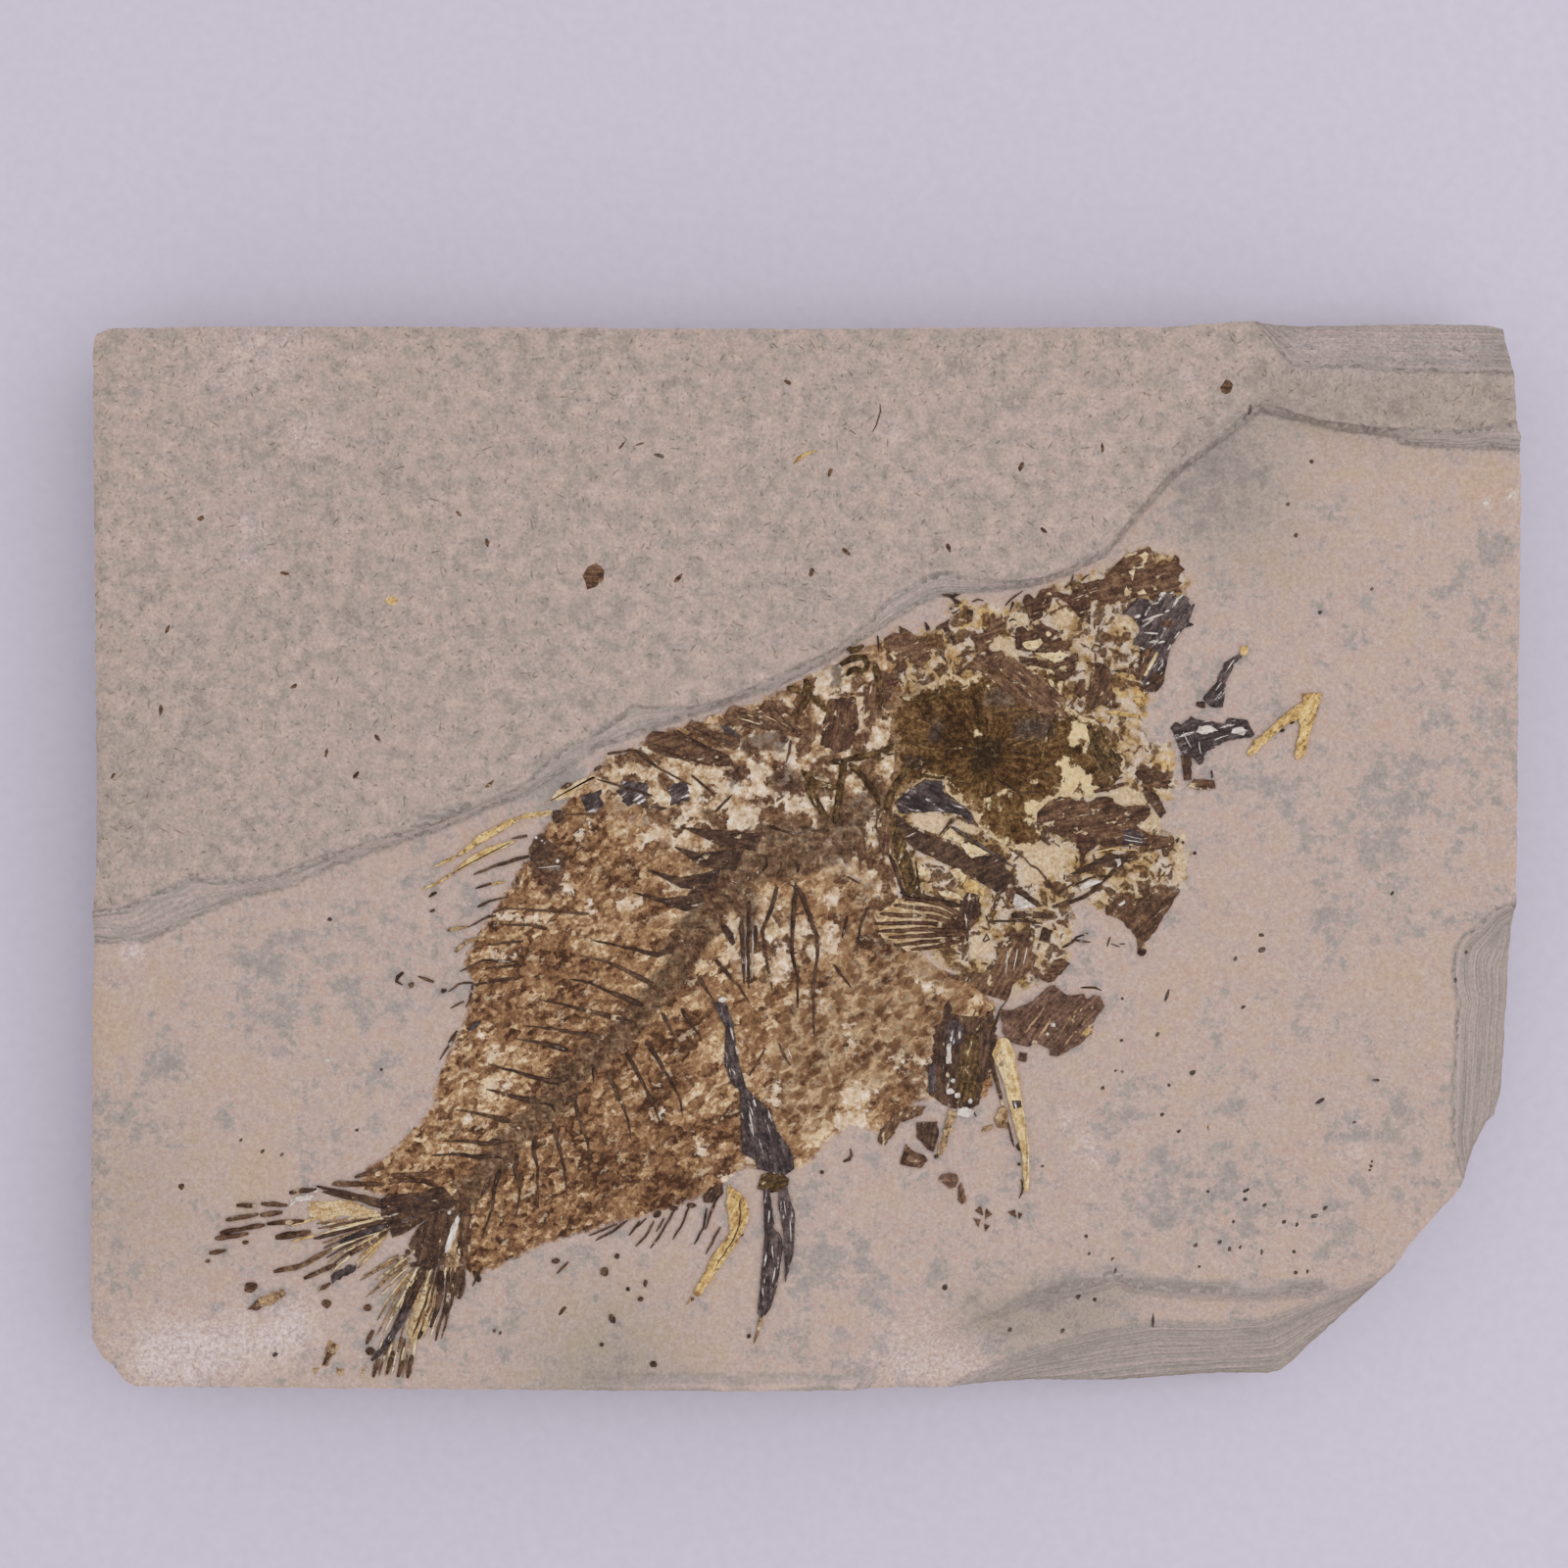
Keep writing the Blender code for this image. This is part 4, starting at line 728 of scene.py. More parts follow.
def bone(dark, middle, light, glint=None, share=0.5, speck=0.0, torn=0.3):
    """A recipe for a bone: three shades along its fibres, bright streaks where it glints, torn gaps."""
    def recipe(r):
        place = r.place()
        grain = r.read_vector("grain")
        fibres = r.use(BONE_STREAKS, Grain=grain, Fineness=3.2, Length=2.2)
        cloud = r.noise(place, 0.9, 3.0, 0.65)
        grit = r.noise(place, 0.3, 2.0, 0.7)
        tone = r.plus(r.times(fibres["Streak"], 0.62), r.times(cloud, 0.62))
        tone = r.plus(tone, r.times(r.less(grit, 0.77), 0.45))
        tone = r.plus(tone, r.times(r.less(fibres["Shade"], 0.5), 0.08))
        base = r.ramp(tone, (0.34, dark), (0.5, middle), (0.68, light))
        if glint:
            bright = r.use(BONE_STREAKS, Grain=r.vector("ADD", grain, (9.0, 5.0, 0.3)), Fineness=2.4,
                           Length=2.6)["Streak"]
            low = 0.70 - 0.12 * share
            shown = r.times(r.between(bright, low, low + 0.06), r.between(grit, 0.3, 0.55))
            base = r.blend(shown, base, colour(*glint))
        if speck:
            marks = r.between(r.noise(place, 0.55, 2.0, 0.7), 0.60 - 0.1 * speck, 0.66 - 0.1 * speck)
            base = r.blend(r.times(marks, 0.7), base, colour(*[v * 0.5 for v in dark]))
        if torn:
            gaps = r.use(BONE_STREAKS, Grain=r.vector("ADD", grain, (3.0, 31.0, 0.7)), Fineness=1.1,
                         Length=1.6)["Streak"]
            low = 0.66 - 0.1 * torn
            base = r.blend(r.times(r.between(gaps, low, low + 0.05), 0.85), base,
                           r.ramp(grit, (0.35, (180, 152, 116)), (0.65, (212, 194, 168))))
        height = r.plus(r.times(fibres["Streak"], 0.8), r.times(grit, 0.4))
        r.shade(base, r.between(tone, 0.3, 0.8, 0.5, 0.8), height, 0.10, 0.12)
    return recipe


def cream_film(r):
    """The pale crust that holds the broken bones of the head, with splinters strewn all through it."""
    place = r.place()
    cloud = r.noise(place, 1.5, 4.0, 0.7)
    grit = r.noise(place, 0.4, 3.0, 0.75)
    tone = r.plus(r.times(cloud, 0.7), r.times(r.less(grit, 0.28), 0.6))
    base = r.ramp(tone, (0.33, (124, 92, 58)), (0.46, (160, 130, 90)), (0.62, (190, 167, 134)))
    yellow = r.ramp(tone, (0.33, (150, 108, 60)), (0.6, (206, 174, 122)))
    base = r.blend(r.between(r.read("dark"), 0.1, 0.9, 0.0, 0.8), base, yellow)
    stony = r.between(r.noise(place, 2.6, 4.0, 0.7), 0.46, 0.56)
    base = r.blend(r.times(stony, 0.75), base,
                   r.ramp(grit, (0.35, (184, 167, 153)), (0.65, (208, 195, 186))))
    bare = torn_patch(r, r.read("bare"), place, 0.5, 2.0, 0.3)
    base = r.blend(r.times(bare, 0.9), base,
                   r.ramp(grit, (0.3, (166, 136, 100)), (0.65, (207, 190, 168))))
    inner = r.between(r.read("edge"), 0.4, 1.4)
    splinters = strewn_splinters(r, wavered(r, place, 2.4), (
        (0.0, 2.4, 3.6, 0.95, 0.72), (17.0, 1.7, 2.4, 0.55, 0.62), (41.0, 1.0, 1.0, 0.34, 0.45)))
    shown = r.times(r.times(splinters, inner), r.between(bare, 0.8, 0.2))
    base = r.blend(r.times(shown, 0.92), base,
                   r.ramp(grit, (0.32, (50, 32, 22)), (0.5, (88, 60, 40)), (0.68, (140, 108, 76))))
    base = faded(r, base, place, 0.75, 1.7)
    height = r.plus(r.times(cloud, 0.5), r.times(grit, 0.6))
    height = r.plus(height, r.times(shown, 0.5))
    r.shade(base, r.between(grit, 0.3, 0.7, 0.65, 0.88), height, 0.12, 0.08)


def skull_crust(r):
    """The mottled olive crust of the skull: brushed outwards from the eye, darker round it, torn through."""
    place = r.place()
    brushed = r.use(BONE_STREAKS, Grain=r.read_vector("grain"), Fineness=2.6, Length=1.8)["Streak"]
    cloud = r.noise(place, 1.3, 4.0, 0.72)
    grit = r.noise(place, 0.4, 3.0, 0.78)
    tone = r.plus(r.times(cloud, 0.55), r.times(brushed, 0.5))
    tone = r.plus(tone, r.times(r.less(grit, 0.56), 0.9))
    tone = r.less(tone, r.times(r.read("dark"), 0.12))
    base = r.ramp(tone, (0.26, (44, 29, 18)), (0.40, (74, 51, 30)), (0.52, (104, 76, 47)),
                  (0.66, (140, 110, 76)))
    slate = torn_patch(r, r.read("slate"), place, 1.2, 1.0, 0.9)
    base = r.blend(r.times(slate, 0.6), base,
                   r.ramp(grit, (0.3, (52, 41, 38)), (0.5, (82, 68, 63)), (0.7, (136, 122, 112))))
    soot = torn_patch(r, r.read("black"), place, 0.9, 1.2, 0.5)
    base = r.blend(r.times(soot, 0.85), base,
                   r.ramp(grit, (0.32, (26, 17, 10)), (0.56, (56, 42, 28)), (0.7, (112, 98, 78))))
    gap = torn_patch(r, r.read("bare"), place, 0.6, 2.2, 0.2)
    base = r.blend(r.times(gap, 0.9), base, r.ramp(grit, (0.3, (196, 170, 126)), (0.65, (216, 200, 168))))
    kept = torn_patch(r, r.less(r.read("edge"), 0.45), place, 1.6, 1.3, 0.3)
    leftward = r.between(r.add("SeparateXYZ", {0: place}).outputs[0], 14.0, 10.0)
    around = r.blend(leftward, r.ramp(grit, (0.3, (172, 140, 102)), (0.65, (206, 188, 158))),
                     r.ramp(grit, (0.35, (92, 64, 44)), (0.65, (168, 136, 102))))
    base = r.blend(kept, around, base)
    height = r.plus(r.times(cloud, 0.6), r.times(grit, 0.8))
    height = r.plus(height, r.times(brushed, 0.5))
    r.shade(base, r.between(grit, 0.3, 0.7, 0.6, 0.85), height, 0.14, 0.08)


def paper(r):
    place = r.place()
    fibres = r.noise(place, 1.2, 3.0, 0.6)
    base = r.ramp(fibres, (0.3, (193, 187, 202)), (0.7, (197, 191, 206)))
    r.shade(base, 0.9, fibres, 0.03, 0.1)


STONE = finish("pale_limestone", limestone)
SCALES = finish("crushed_scales", scales)
DARK = finish("dark_bone", bone((42, 28, 23), (72, 51, 41), (108, 82, 64), (196, 182, 168), 0.3, torn=0.15))
SLATE = finish("slate_bone", bone((38, 29, 30), (68, 56, 55), (108, 94, 91), (208, 200, 196), 0.75, torn=0.0))
YELLOW = finish("yellow_bone", bone((140, 104, 58), (190, 158, 106), (214, 192, 150), None, 0.5, 0.15, 0.3))
BROWN = finish("red_brown_bone", bone((54, 34, 26), (90, 63, 47), (132, 102, 78), (198, 182, 160), 0.3,
                                      torn=0.45))
FADED = finish("faded_brown_bone", bone((66, 44, 35), (104, 77, 64), (140, 110, 92), None, 0.5, torn=0.1))
TAN = finish("tan_bone", bone((110, 84, 58), (150, 120, 90), (188, 160, 126), None, 0.5, 0.4, 0.4))
OLIVE = finish("olive_bone", bone((44, 30, 18), (82, 60, 36), (128, 101, 66), (196, 180, 150), 0.3, 0.3, 0.4))
WHITE = finish("white_glint", bone((160, 148, 142), (192, 183, 177), (214, 207, 202), torn=0.0))
CREAM = finish("cream_bone", bone((172, 142, 104), (200, 180, 146), (214, 200, 178), None, 0.5, 0.2, 0.0))
BLACK = finish("dark_speck", bone((52, 42, 38), (76, 65, 58), (112, 98, 88), torn=0.0))
GOLD = finish("golden_spine", bone((148, 116, 70), (186, 158, 114), (212, 195, 162), torn=0.0))
RAY_FILM = finish("ray_film", bone((140, 106, 68), (180, 152, 112), (204, 186, 160), torn=1.7))
SKULL = finish("olive_skull", skull_crust)
FILM = finish("cream_film", cream_film)
PAPER = finish("studio_paper", paper)


# ---------------------------------------------------------------- the stone
SLAB_OUTLINE = groups(2, -.6,4.6, .4,2.7, 1.6,1.8, 2.5,.4, 4.1,-.4, 65,-.9, 90,-.7, 105.8,-1.1, 116,-.4,
    121.4,-.5, 122.8,-.1, 127.4,4.2, 131.3,8.9, 134.6,14, 139.9,20, 143.8,26.2, 144.9,26.9, 145.6,29.3,
    146.5,45, 145.7,50, 146.2,93, 146,97, 145.4,98.3, 145.1,104.3, 145.3,108.8, 143.7,109.3, 135.4,109.4,
    120.1,109, 110,108.2, 70,108, 15,108.3, 1.4,108, .2,107.4, -.1,106.3, -.1,100, .3,60, .2,52, -.3,47,
    -.5,40, -.7,10)
LEDGE_CREST = groups(2, -3,48.2, 3,49, 10,52, 15,51.7, 18,52, 22,53.7, 30,56.3, 35,57.5, 44,61.5, 46,63.5,
    48,65, 51,66.5, 55,69.5, 60,69.3, 64,70, 76,75.5, 79,78, 81,80.3, 85,82.7, 87,83.3, 89,82.5, 94,82.2,
    97,82.6, 100,83.7, 103,85.2, 110,93.3, 115,96.9, 117,98.9, 119.3,100.5, 125,98.7, 131,97.9, 140,97.6,
    144,98.4, 149,98.6)
LEDGE_FOOT = groups(2, -3,45.1, 5,45.2, 10,47.7, 15,49.8, 20,51, 25,53.3, 36,57, 41,59.3, 44,60.3, 47,62,
    51,65, 70,71.5, 75,74, 82,78.5, 86,80.7, 95,81.6, 98,82.2, 100.3,83.2, 103.4,84.8, 110.5,92.9,
    119.4,99.6, 128,97.6, 133,97.1, 134,96.2, 149,95.5)
TOP_RIGHT_CREST = groups(2, 118,110, 119,108.2, 122.3,104.2, 124,103.9, 128,104, 134,103.6, 149,103.3)
TOP_RIGHT_FOOT = groups(2, 120.5,111.3, 121.7,110.5, 125.2,110.2, 150.8,110)
CHIP_CREST = groups(2, 149,50, 143.6,48.8, 142,47.3, 140,46, 139.3,44.5, 139,42.5, 139.2,40.5, 139.7,39,
    139.3,37, 139,25, 139.8,22, 141,19)
CHIP_FOOT = groups(2, 151.4,48.3, 148.1,47.1, 147.3,44.6, 146.5,32.4, 145.7,26.5, 144.2,22.6, 143.8,18)
SHELF_CREST = groups(2, 76,-3, 80,3, 83,4.5, 89,6.5, 92,7.2, 94,8.5, 97,9.2, 100,9.5, 103,10.3, 104.5,11,
    106,10, 110,9.5, 118,9, 125,9.5, 134,12.2)
SHELF_FOOT = groups(2, 78,-3, 81,2, 84.6,3.8, 97.4,8.1, 101.2,8.7, 104.6,9.7, 107,8.8, 112,8.2, 120,8.1,
    126.6,8.9, 134,11)
SHELF_EDGE = groups(2, 86,-3, 88,0, 94,2.6, 99,4.2, 104,5.4, 109,6.2, 115,6, 120,6.4, 133,11)
SHELF_EDGE_FOOT = groups(2, 89.4,-5.2, 95.5,-2.9, 100.7,-2.7, 116,-1.2, 123.5,-1, 128.4,3.8, 135.2,7.6)


def between_lines(crest, foot):
    return crest + foot[::-1]


LEDGE_STEP = between_lines(LEDGE_CREST, LEDGE_FOOT)
TOP_RIGHT_SLOPE = between_lines(TOP_RIGHT_CREST, TOP_RIGHT_FOOT)
CHIP_SLOPE = between_lines(CHIP_CREST, CHIP_FOOT)
UPPER_LAYER = LEDGE_CREST + [(150, 114), (-4, 114)]
SHELF_SLOPE = SHELF_EDGE + [(142, 0), (130, -5), (86, -5)]
SHELF_CORNER = SHELF_CREST + [(142, 0), (130, -5), (76, -5)]


def in_breaks(points):
    """Which of the plan points lie on the ledge or on a broken edge."""
    zones = LEDGE_STEP, CHIP_SLOPE, TOP_RIGHT_SLOPE, SHELF_CORNER
    return np.any([inside(points, zone) for zone in zones], axis=0)


def how_far_down(points, crest, foot):
    """How far a point has come from a crest to its foot, from 0 to 1."""
    above = nearest(points, crest)[0]
    below = nearest(points, foot)[0]
    return above / np.maximum(above + below, 1e-6)


def stone_heights(points):
    """The height of the stone's face at plan points, and how far each break has fallen there."""
    heights = np.full(len(points), FISH_FACE)
    fallen = np.zeros(len(points))
    upper = inside(points, UPPER_LAYER)
    heights[upper] = UPPER_FACE
    step = inside(points, LEDGE_STEP)
    t = how_far_down(points[step], LEDGE_CREST, LEDGE_FOOT)
    uneven = unevenness(points[step], 3.0, 4.0)
    stair = t * 3 + 0.45 * uneven
    stair = (np.floor(stair) + np.clip((stair - np.floor(stair)) * 1.8 - 0.4, 0, 1)) / 3
    t = np.clip(0.35 * t + 0.65 * np.clip(stair, 0, 1) * (t > 0.02), 0, 1)
    heights[step] = UPPER_FACE - (UPPER_FACE - FISH_FACE) * t
    fallen[step] = 1.2 * t + 0.02
    for crest, foot, start in ((TOP_RIGHT_CREST, TOP_RIGHT_FOOT, UPPER_FACE),
                               (CHIP_CREST, CHIP_FOOT, FISH_FACE)):
        slope = inside(points, between_lines(crest, foot))
        t = how_far_down(points[slope], crest, foot)
        rough = 0.22 * unevenness(points[slope], 1.4, 9.0) * np.clip(t * 5, 0, 1)
        heights[slope] = start - BREAK_DEPTH * t - np.abs(rough)
        fallen[slope] = BREAK_DEPTH * t + 0.02
    drop = inside(points, between_lines(SHELF_CREST, SHELF_FOOT))
    t = how_far_down(points[drop], SHELF_CREST, SHELF_FOOT)
    heights[drop] = FISH_FACE - (FISH_FACE - SHELF_FACE) * t
    fallen[drop] = t + 0.02
    shelf = inside(points, SHELF_FOOT + SHELF_EDGE[::-1])
    heights[shelf] = SHELF_FACE - 0.12 * np.abs(unevenness(points[shelf], 4.0, 3.0))
    edge = inside(points, SHELF_SLOPE)
    t = how_far_down(points[edge], SHELF_EDGE, SHELF_EDGE_FOOT)
    rough = 0.3 * np.abs(unevenness(points[edge], 1.6, 7.0)) * np.clip(t * 5, 0, 1)
    heights[edge] = SHELF_FACE - BREAK_DEPTH * t - rough
    fallen[edge] = 1.2 + BREAK_DEPTH * t
    return heights, fallen


def walked(line, step, depth, seed):
    """An open line walked in short uneven steps."""
    chance = random.Random(seed)
    path = []
    for a, b in zip(line, line[1:]):
        count = max(1, round(math.dist(a, b) / step))
        for k in range(count):
            t = k / count
            path.append((a[0] + (b[0] - a[0]) * t + chance.uniform(-depth, depth),
                         a[1] + (b[1] - a[1]) * t + chance.uniform(-depth, depth)))
    return path + [line[-1]]


def strewn_points(step, low, high, seed):
    """Plan points on a jittered lattice."""
    spots = np.random.default_rng(seed)
    x, y = np.meshgrid(np.arange(low[0], high[0], step), np.arange(low[1], high[1], step))
    lattice = np.column_stack([x.ravel(), y.ravel()])
    return lattice + spots.uniform(-0.3 * step, 0.3 * step, lattice.shape)


def stone_face():
    """The slab's upper face: points along its rim and its ledges, and between them, joined into triangles."""
    rim = ragged(SLAB_OUTLINE, 0.55, 0.07, 21)
    creases = [LEDGE_CREST, LEDGE_FOOT, TOP_RIGHT_CREST, CHIP_CREST, SHELF_CREST, SHELF_FOOT, SHELF_EDGE]
    laid = np.array(rim)
    joins = [(k, (k + 1) % len(rim)) for k in range(len(rim))]
    crease_points = []
    for n, line in enumerate(creases):
        path = np.array(walked(line, 0.5, 0.09, 30 + n))
        deep = depth_in(path, rim) > 0.35
        for k in range(len(path) - 1):
            if deep[k] and deep[k + 1]:
                joins.append((len(laid) + k, len(laid) + k + 1))
        laid = np.vstack([laid, path])
        crease_points.append(path[deep])
    keep = np.ones(len(laid), bool)
    keep[len(rim):] = depth_in(laid[len(rim):], rim) > 0.35
    order = np.cumsum(keep) - 1
    joins = [(int(order[a]), int(order[b])) for a, b in joins if keep[a] and keep[b]]
    laid = laid[keep]
    crease_points = np.vstack(crease_points)
    field = strewn_points(0.72, (-0.5, -0.8), (147, 110), 5)
    field = field[depth_in(field, rim) > 0.45]
    close = strewn_points(0.4, (-0.5, -0.8), (147, 110), 6)
    close = close[in_breaks(close) & (depth_in(close, rim) > 0.3)]
    spread = np.vstack([field[~in_breaks(field)], close])
    cells = {(int(x / 0.3), int(y / 0.3)) for x, y in crease_points}
    clear = [(int(x / 0.3), int(y / 0.3)) not in cells for x, y in spread]
    laid = np.vstack([laid, spread[clear]])
    flat = [Vector(p) for p in laid]
    points, _, faces, *_ = delaunay_2d_cdt(flat, joins, [], 0, 1e-5)
    points = np.array([tuple(p) for p in points])
    faces = np.array(faces)
    faces = faces[inside(points[faces].mean(1), rim)]
    used = np.zeros(len(points), bool)
    used[faces.ravel()] = True
    order = np.cumsum(used) - 1
    return points[used], order[faces], len(rim)


def stone():
    points, faces, rim_count = stone_face()
    heights = stone_heights(points)[0]
    bumps = 0.035 * unevenness(points, 2.2, 1.0) + 0.02 * unevenness(points, 0.9, 2.0)
    heights = heights + np.where(heights > UPPER_FACE - 0.1, np.minimum(bumps * 1.3, 0.04), bumps)
    heights[:rim_count] -= 0.3
    mesh = bpy.data.meshes.new("stone_slab")
    mesh.from_pydata([at(p, h) for p, h in zip(points, heights)], [], [tuple(map(int, f)) for f in faces])
    mesh.update()
    piece = bpy.data.objects.new("stone_slab", mesh)
    bpy.context.scene.collection.objects.link(piece)
    work_on(piece)
    bpy.ops.mesh.normals_make_consistent(inside=False)
    bpy.ops.mesh.select_mode(type="EDGE")
    bpy.ops.mesh.select_all(action="DESELECT")
    bpy.ops.mesh.select_non_manifold(extend=False, use_wire=False, use_boundary=True,
                                     use_multi_face=False, use_non_contiguous=False, use_verts=False)
    for _ in range(WALL_ROWS):
        bpy.ops.mesh.extrude_edges_move(TRANSFORM_OT_translate={"value": (0, 0, -0.3 * MM)})
    bpy.ops.mesh.edge_face_add()
    close_up()
    places_now, levels = places(piece)
    count = len(points)
    ring = points[:rim_count]
    along = np.roll(ring, -1, 0) - np.roll(ring, 1, 0)
    inward = np.column_stack([-along[:, 1], along[:, 0]]) / np.hypot(*along.T)[:, None]
    for row in range(1, WALL_ROWS + 1):
        start = count + (row - 1) * rim_count
        level = heights[:rim_count] * (1 - row / WALL_ROWS)
        wavy = [noise.noise(Vector((x / 9, y / 9, z * 1.1))) for (x, y), z in zip(ring, level)]
        chips = [noise.noise(Vector((x / 2.2, y / 2.2, z * 0.8 + 40))) for (x, y), z in zip(ring, level)]
        cut = 0.16 + 0.22 * np.array(wavy) + 0.14 * np.array(chips)
        cut = np.clip(cut, 0.02, 0.6)
        if row == 1:
            cut *= 0.4
        if row >= WALL_ROWS - 1:
            cut += FOOT_ROOM * (0.35 if row == WALL_ROWS - 1 else 1.0)
        if row == WALL_ROWS - 1:
            level = np.full(rim_count, FOOT_HEIGHT)
        places_now[start:start + rim_count] = ring + inward * cut[:, None]
        levels[start:start + rim_count] = level
    put(piece, places_now, levels)
    bpy.ops.object.shade_smooth_by_angle(angle=math.radians(38))
    points, heights = places(piece)
    fallen = stone_heights(points)[1]
    crest_side = inside(points, UPPER_LAYER)
    mark(piece, "upper", np.where(crest_side, 1, -1) * np.minimum(nearest(points, LEDGE_CREST)[0], 3))
    mark(piece, "grey", deepest(points, [LEDGE_STEP, TOP_RIGHT_SLOPE, CHIP_SLOPE, SHELF_SLOPE] + GREY_PLACES))
    mark(piece, "fall", fallen + 0.12 * points[:, 1] * (fallen < 0.01))
    mark(piece, "tint", swell(points, TINTS))
    mark(piece, "darkening", swell(points, DARKENED_PLACES))
    mark(piece, "chalk", swell(points, CHALK) - 0.5)
    piece.data.materials.append(STONE)
    return piece


GREY_PLACES = outlines((90,6.4, 95,9.2, 103,12, 105,12.4, 108,11, 114,10.6, 126,10.8, 126.6,9, 120,8.4,
    112,8.6, 107,9.2, 104.6,10.2, 101,9, 97,8.4, 93,6.8), (95,9, 100,10.2, 104.6,12, 106,10.8, 103,9,
    97,8.3), (50,.9, 80,1, 80,-1, 50,-1), (125,30, 126,29.8, 126,28, 125,28.2), (130.5,31.6, 132,31.2,
    132,30.8, 130.5,31), (33,58.2, 36,59, 38.4,60, 38.6,58.6, 33,56.4))
TINTS = groups(4, 126,101,3,.5, 138,100,3,.5, 1,38,4,.6, 10,30,5,.5, 17,21,4,.5, 2,36,2,.6, 11,27,1.6,.5,
    15.3,22.5,2,.6, 7.5,32.5,3,-.9, 13,27,2,-.8, 47,62,3,-1, 143,92,2.4,.9, 116,93,5,-.7, 134,92,8,.25,
    120,6,5,.1, 98,7,8,-.2, 60,9,9,.3, 112,40,10,.35, 126,60,12,-.25, 128,80,12,.2, 112,22,7,-.4,
    20,42,8,-.35, 95,16,8,.1, 75,12,6,-.3, 8,14,5,.3, 135,38,6,.35, 118,52,6,.3)
CHALK = groups(4, 126,106.6,3.6,.62, 133,106.6,3.6,.6, 140,106.6,3.6,.62, 6,2.8,3.6,1, 10,3,3.5,.9,
    15.5,4.2,4,.85, 20.5,5.6,3,.8, 3.6,44.4,1.2,1.1, 84,2.6,4.5,.75, 90,2.2,3,.6, 16,106,6,.5, 22,97,2,.6,
    16,88,1.6,.6, 15.6,84.6,1.2,.6, 16.8,92,1.3,.5, 101.6,24.6,1,.9, 102.4,22.8,.9,.8, 99.9,27,.9,.9,
    129,24,1.2,.6, 81.9,97.6,1,.7, 64,89.4,.8,.7, 111.5,103,1,.6, 55,100.8,.9,.6, 142.5,90.3,.6,1,
    145.2,91,.6,1)
# Swells that darken the stone a little, as x, y, radius and strength: along the strip under the top right
# break, on the sunken shelf, below the ledge's right end, and along the bottom and left edges.
DARKENED_PLACES = groups(4, 122,101,4,.2, 129,101,4.5,.22, 136,101,4.5,.22, 143,101,4,.22, 91,6.2,4,.25, 97,6.8,4,.25,
    103,7.6,4,.25, 117,94,6,.17, 114,88,6,.13, 52,.5,9,.3, 2,60,8,.12, 2,20,8,.12, 121,88,7,.1)

SPECKS = groups(3, 119.5,46,.5, 119.5,44.5,.55, 116.8,43.6,.4, 117.6,38.6,.45, 108.8,35.8,.4, 112.4,31.9,.5,
    110,30.6,.4, 103.2,30.3,.35, 109.3,27.6,.4, 111,25.9,.4, 129,26.8,.35, 117.9,19.8,.5, 117.8,18.9,.4,
    119.8,18.3,.45, 112.7,14.2,.4, 115.2,14.5,.45, 116.2,13.8,.4, 117.3,14,.4, 119.5,13.5,.45, 113.1,12,.4,
    122.8,13.5,.4, 123,11.4,.4, 124.2,11.5,.4, 121.8,16.6,.4, 123.1,16.3,.4, 126,18,.4, 114,19.7,.35,
    101.5,15.1,.45, 101.8,13.3,.4, 104.2,12.8,.4, 104.5,11.6,.4, 116.6,16.6,.3, 132.9,50.3,.4, 97,22.3,.4,
    23.9,47.6,.45, 29.2,32.2,.35, 26.7,26,.35, 17,23.8,.4, 14.8,25,.35, 19,23.5,.35, 18.3,3,.5, 57.3,2,.4,
    40.8,5.4,.4, 41.4,5.2,.35, 105.2,39.5,.35, 104.5,32.1,.3, 105.2,32,.3, 105.1,35.2,.3, 93.8,5.3,.55,
    99.2,5.2,.5, 102.5,8.4,.45, 87,9.9,.5, 124.6,94.6,.45, 122.2,90.2,.4, 123,87,.4, 130.8,81.5,.4,
    125.5,79.1,.4, 139.4,41.3,.45, 140.7,44.2,.4, 130.7,22.3,.35, 130.8,22.8,.3, 130.6,21.9,.3)
LONG_SPECKS = groups(5, 109.8,39.8,.9,.4,20, 100.8,8.9,.7,.45,40, 108.5,6.2,1.1,.35,15,
    103.8,45.35,1.1,.22,20, 104.5,44.95,.8,.2,-40, 105.2,45.1,.75,.2,-50, 118.1,99.8,.8,.3,60,
    57.8,95,.4,1.6,8)
BROWN_SPECKS = groups(5, 6.9,69,.9,.5,30, 23.8,64.7,.8,.45,70, 40.5,61.5,.9,.4,20, 11,88.6,.8,.5,10,
    26.8,62.4,.7,.4,50, 29,66.2,.7,.4,100, 2,62.3,.7,.4,0, 7.6,77.3,.8,.4,60, 37.3,89.1,.8,.4,130,
    20.5,71.5,.7,.4,20, 19.5,83,.7,.4,80, 40.2,86.1,.8,.4,40, 75.2,93.3,.7,.5,10, 94.7,93.9,.9,.4,60,
    97,87.4,.8,.4,120, 87.3,85.6,.7,.4,30, 76.8,85.2,.8,.4,90, 73.3,83.1,.7,.4,50, 59.7,82.5,.8,.5,10,
    70.9,102.5,.8,.4,140, 103,95.8,.9,.4,30, 114.1,26.3,.7,.5,0, 8.7,20.2,.7,.6,0, 115.7,102,1.3,1.8,10,
    47.8,7.5,.8,.5,30, 54,96.1,.9,.25,5, 55.8,96.2,.9,.2,5)
GREY_SMUDGES = [(124.9, 17.2, .7, .5, 0), (125.5, 29, .8, .5, 20), (131.2, 31.1, 1, .4, -10)]
WHITE_DOTS = groups(3, 23.4,34.2,.5, 23.6,33.1,.4, 142.5,90.3,.6, 145,91,.5)


def face_height(x, y):
    return float(stone_heights(np.array([(x, y)], float))[0][0])


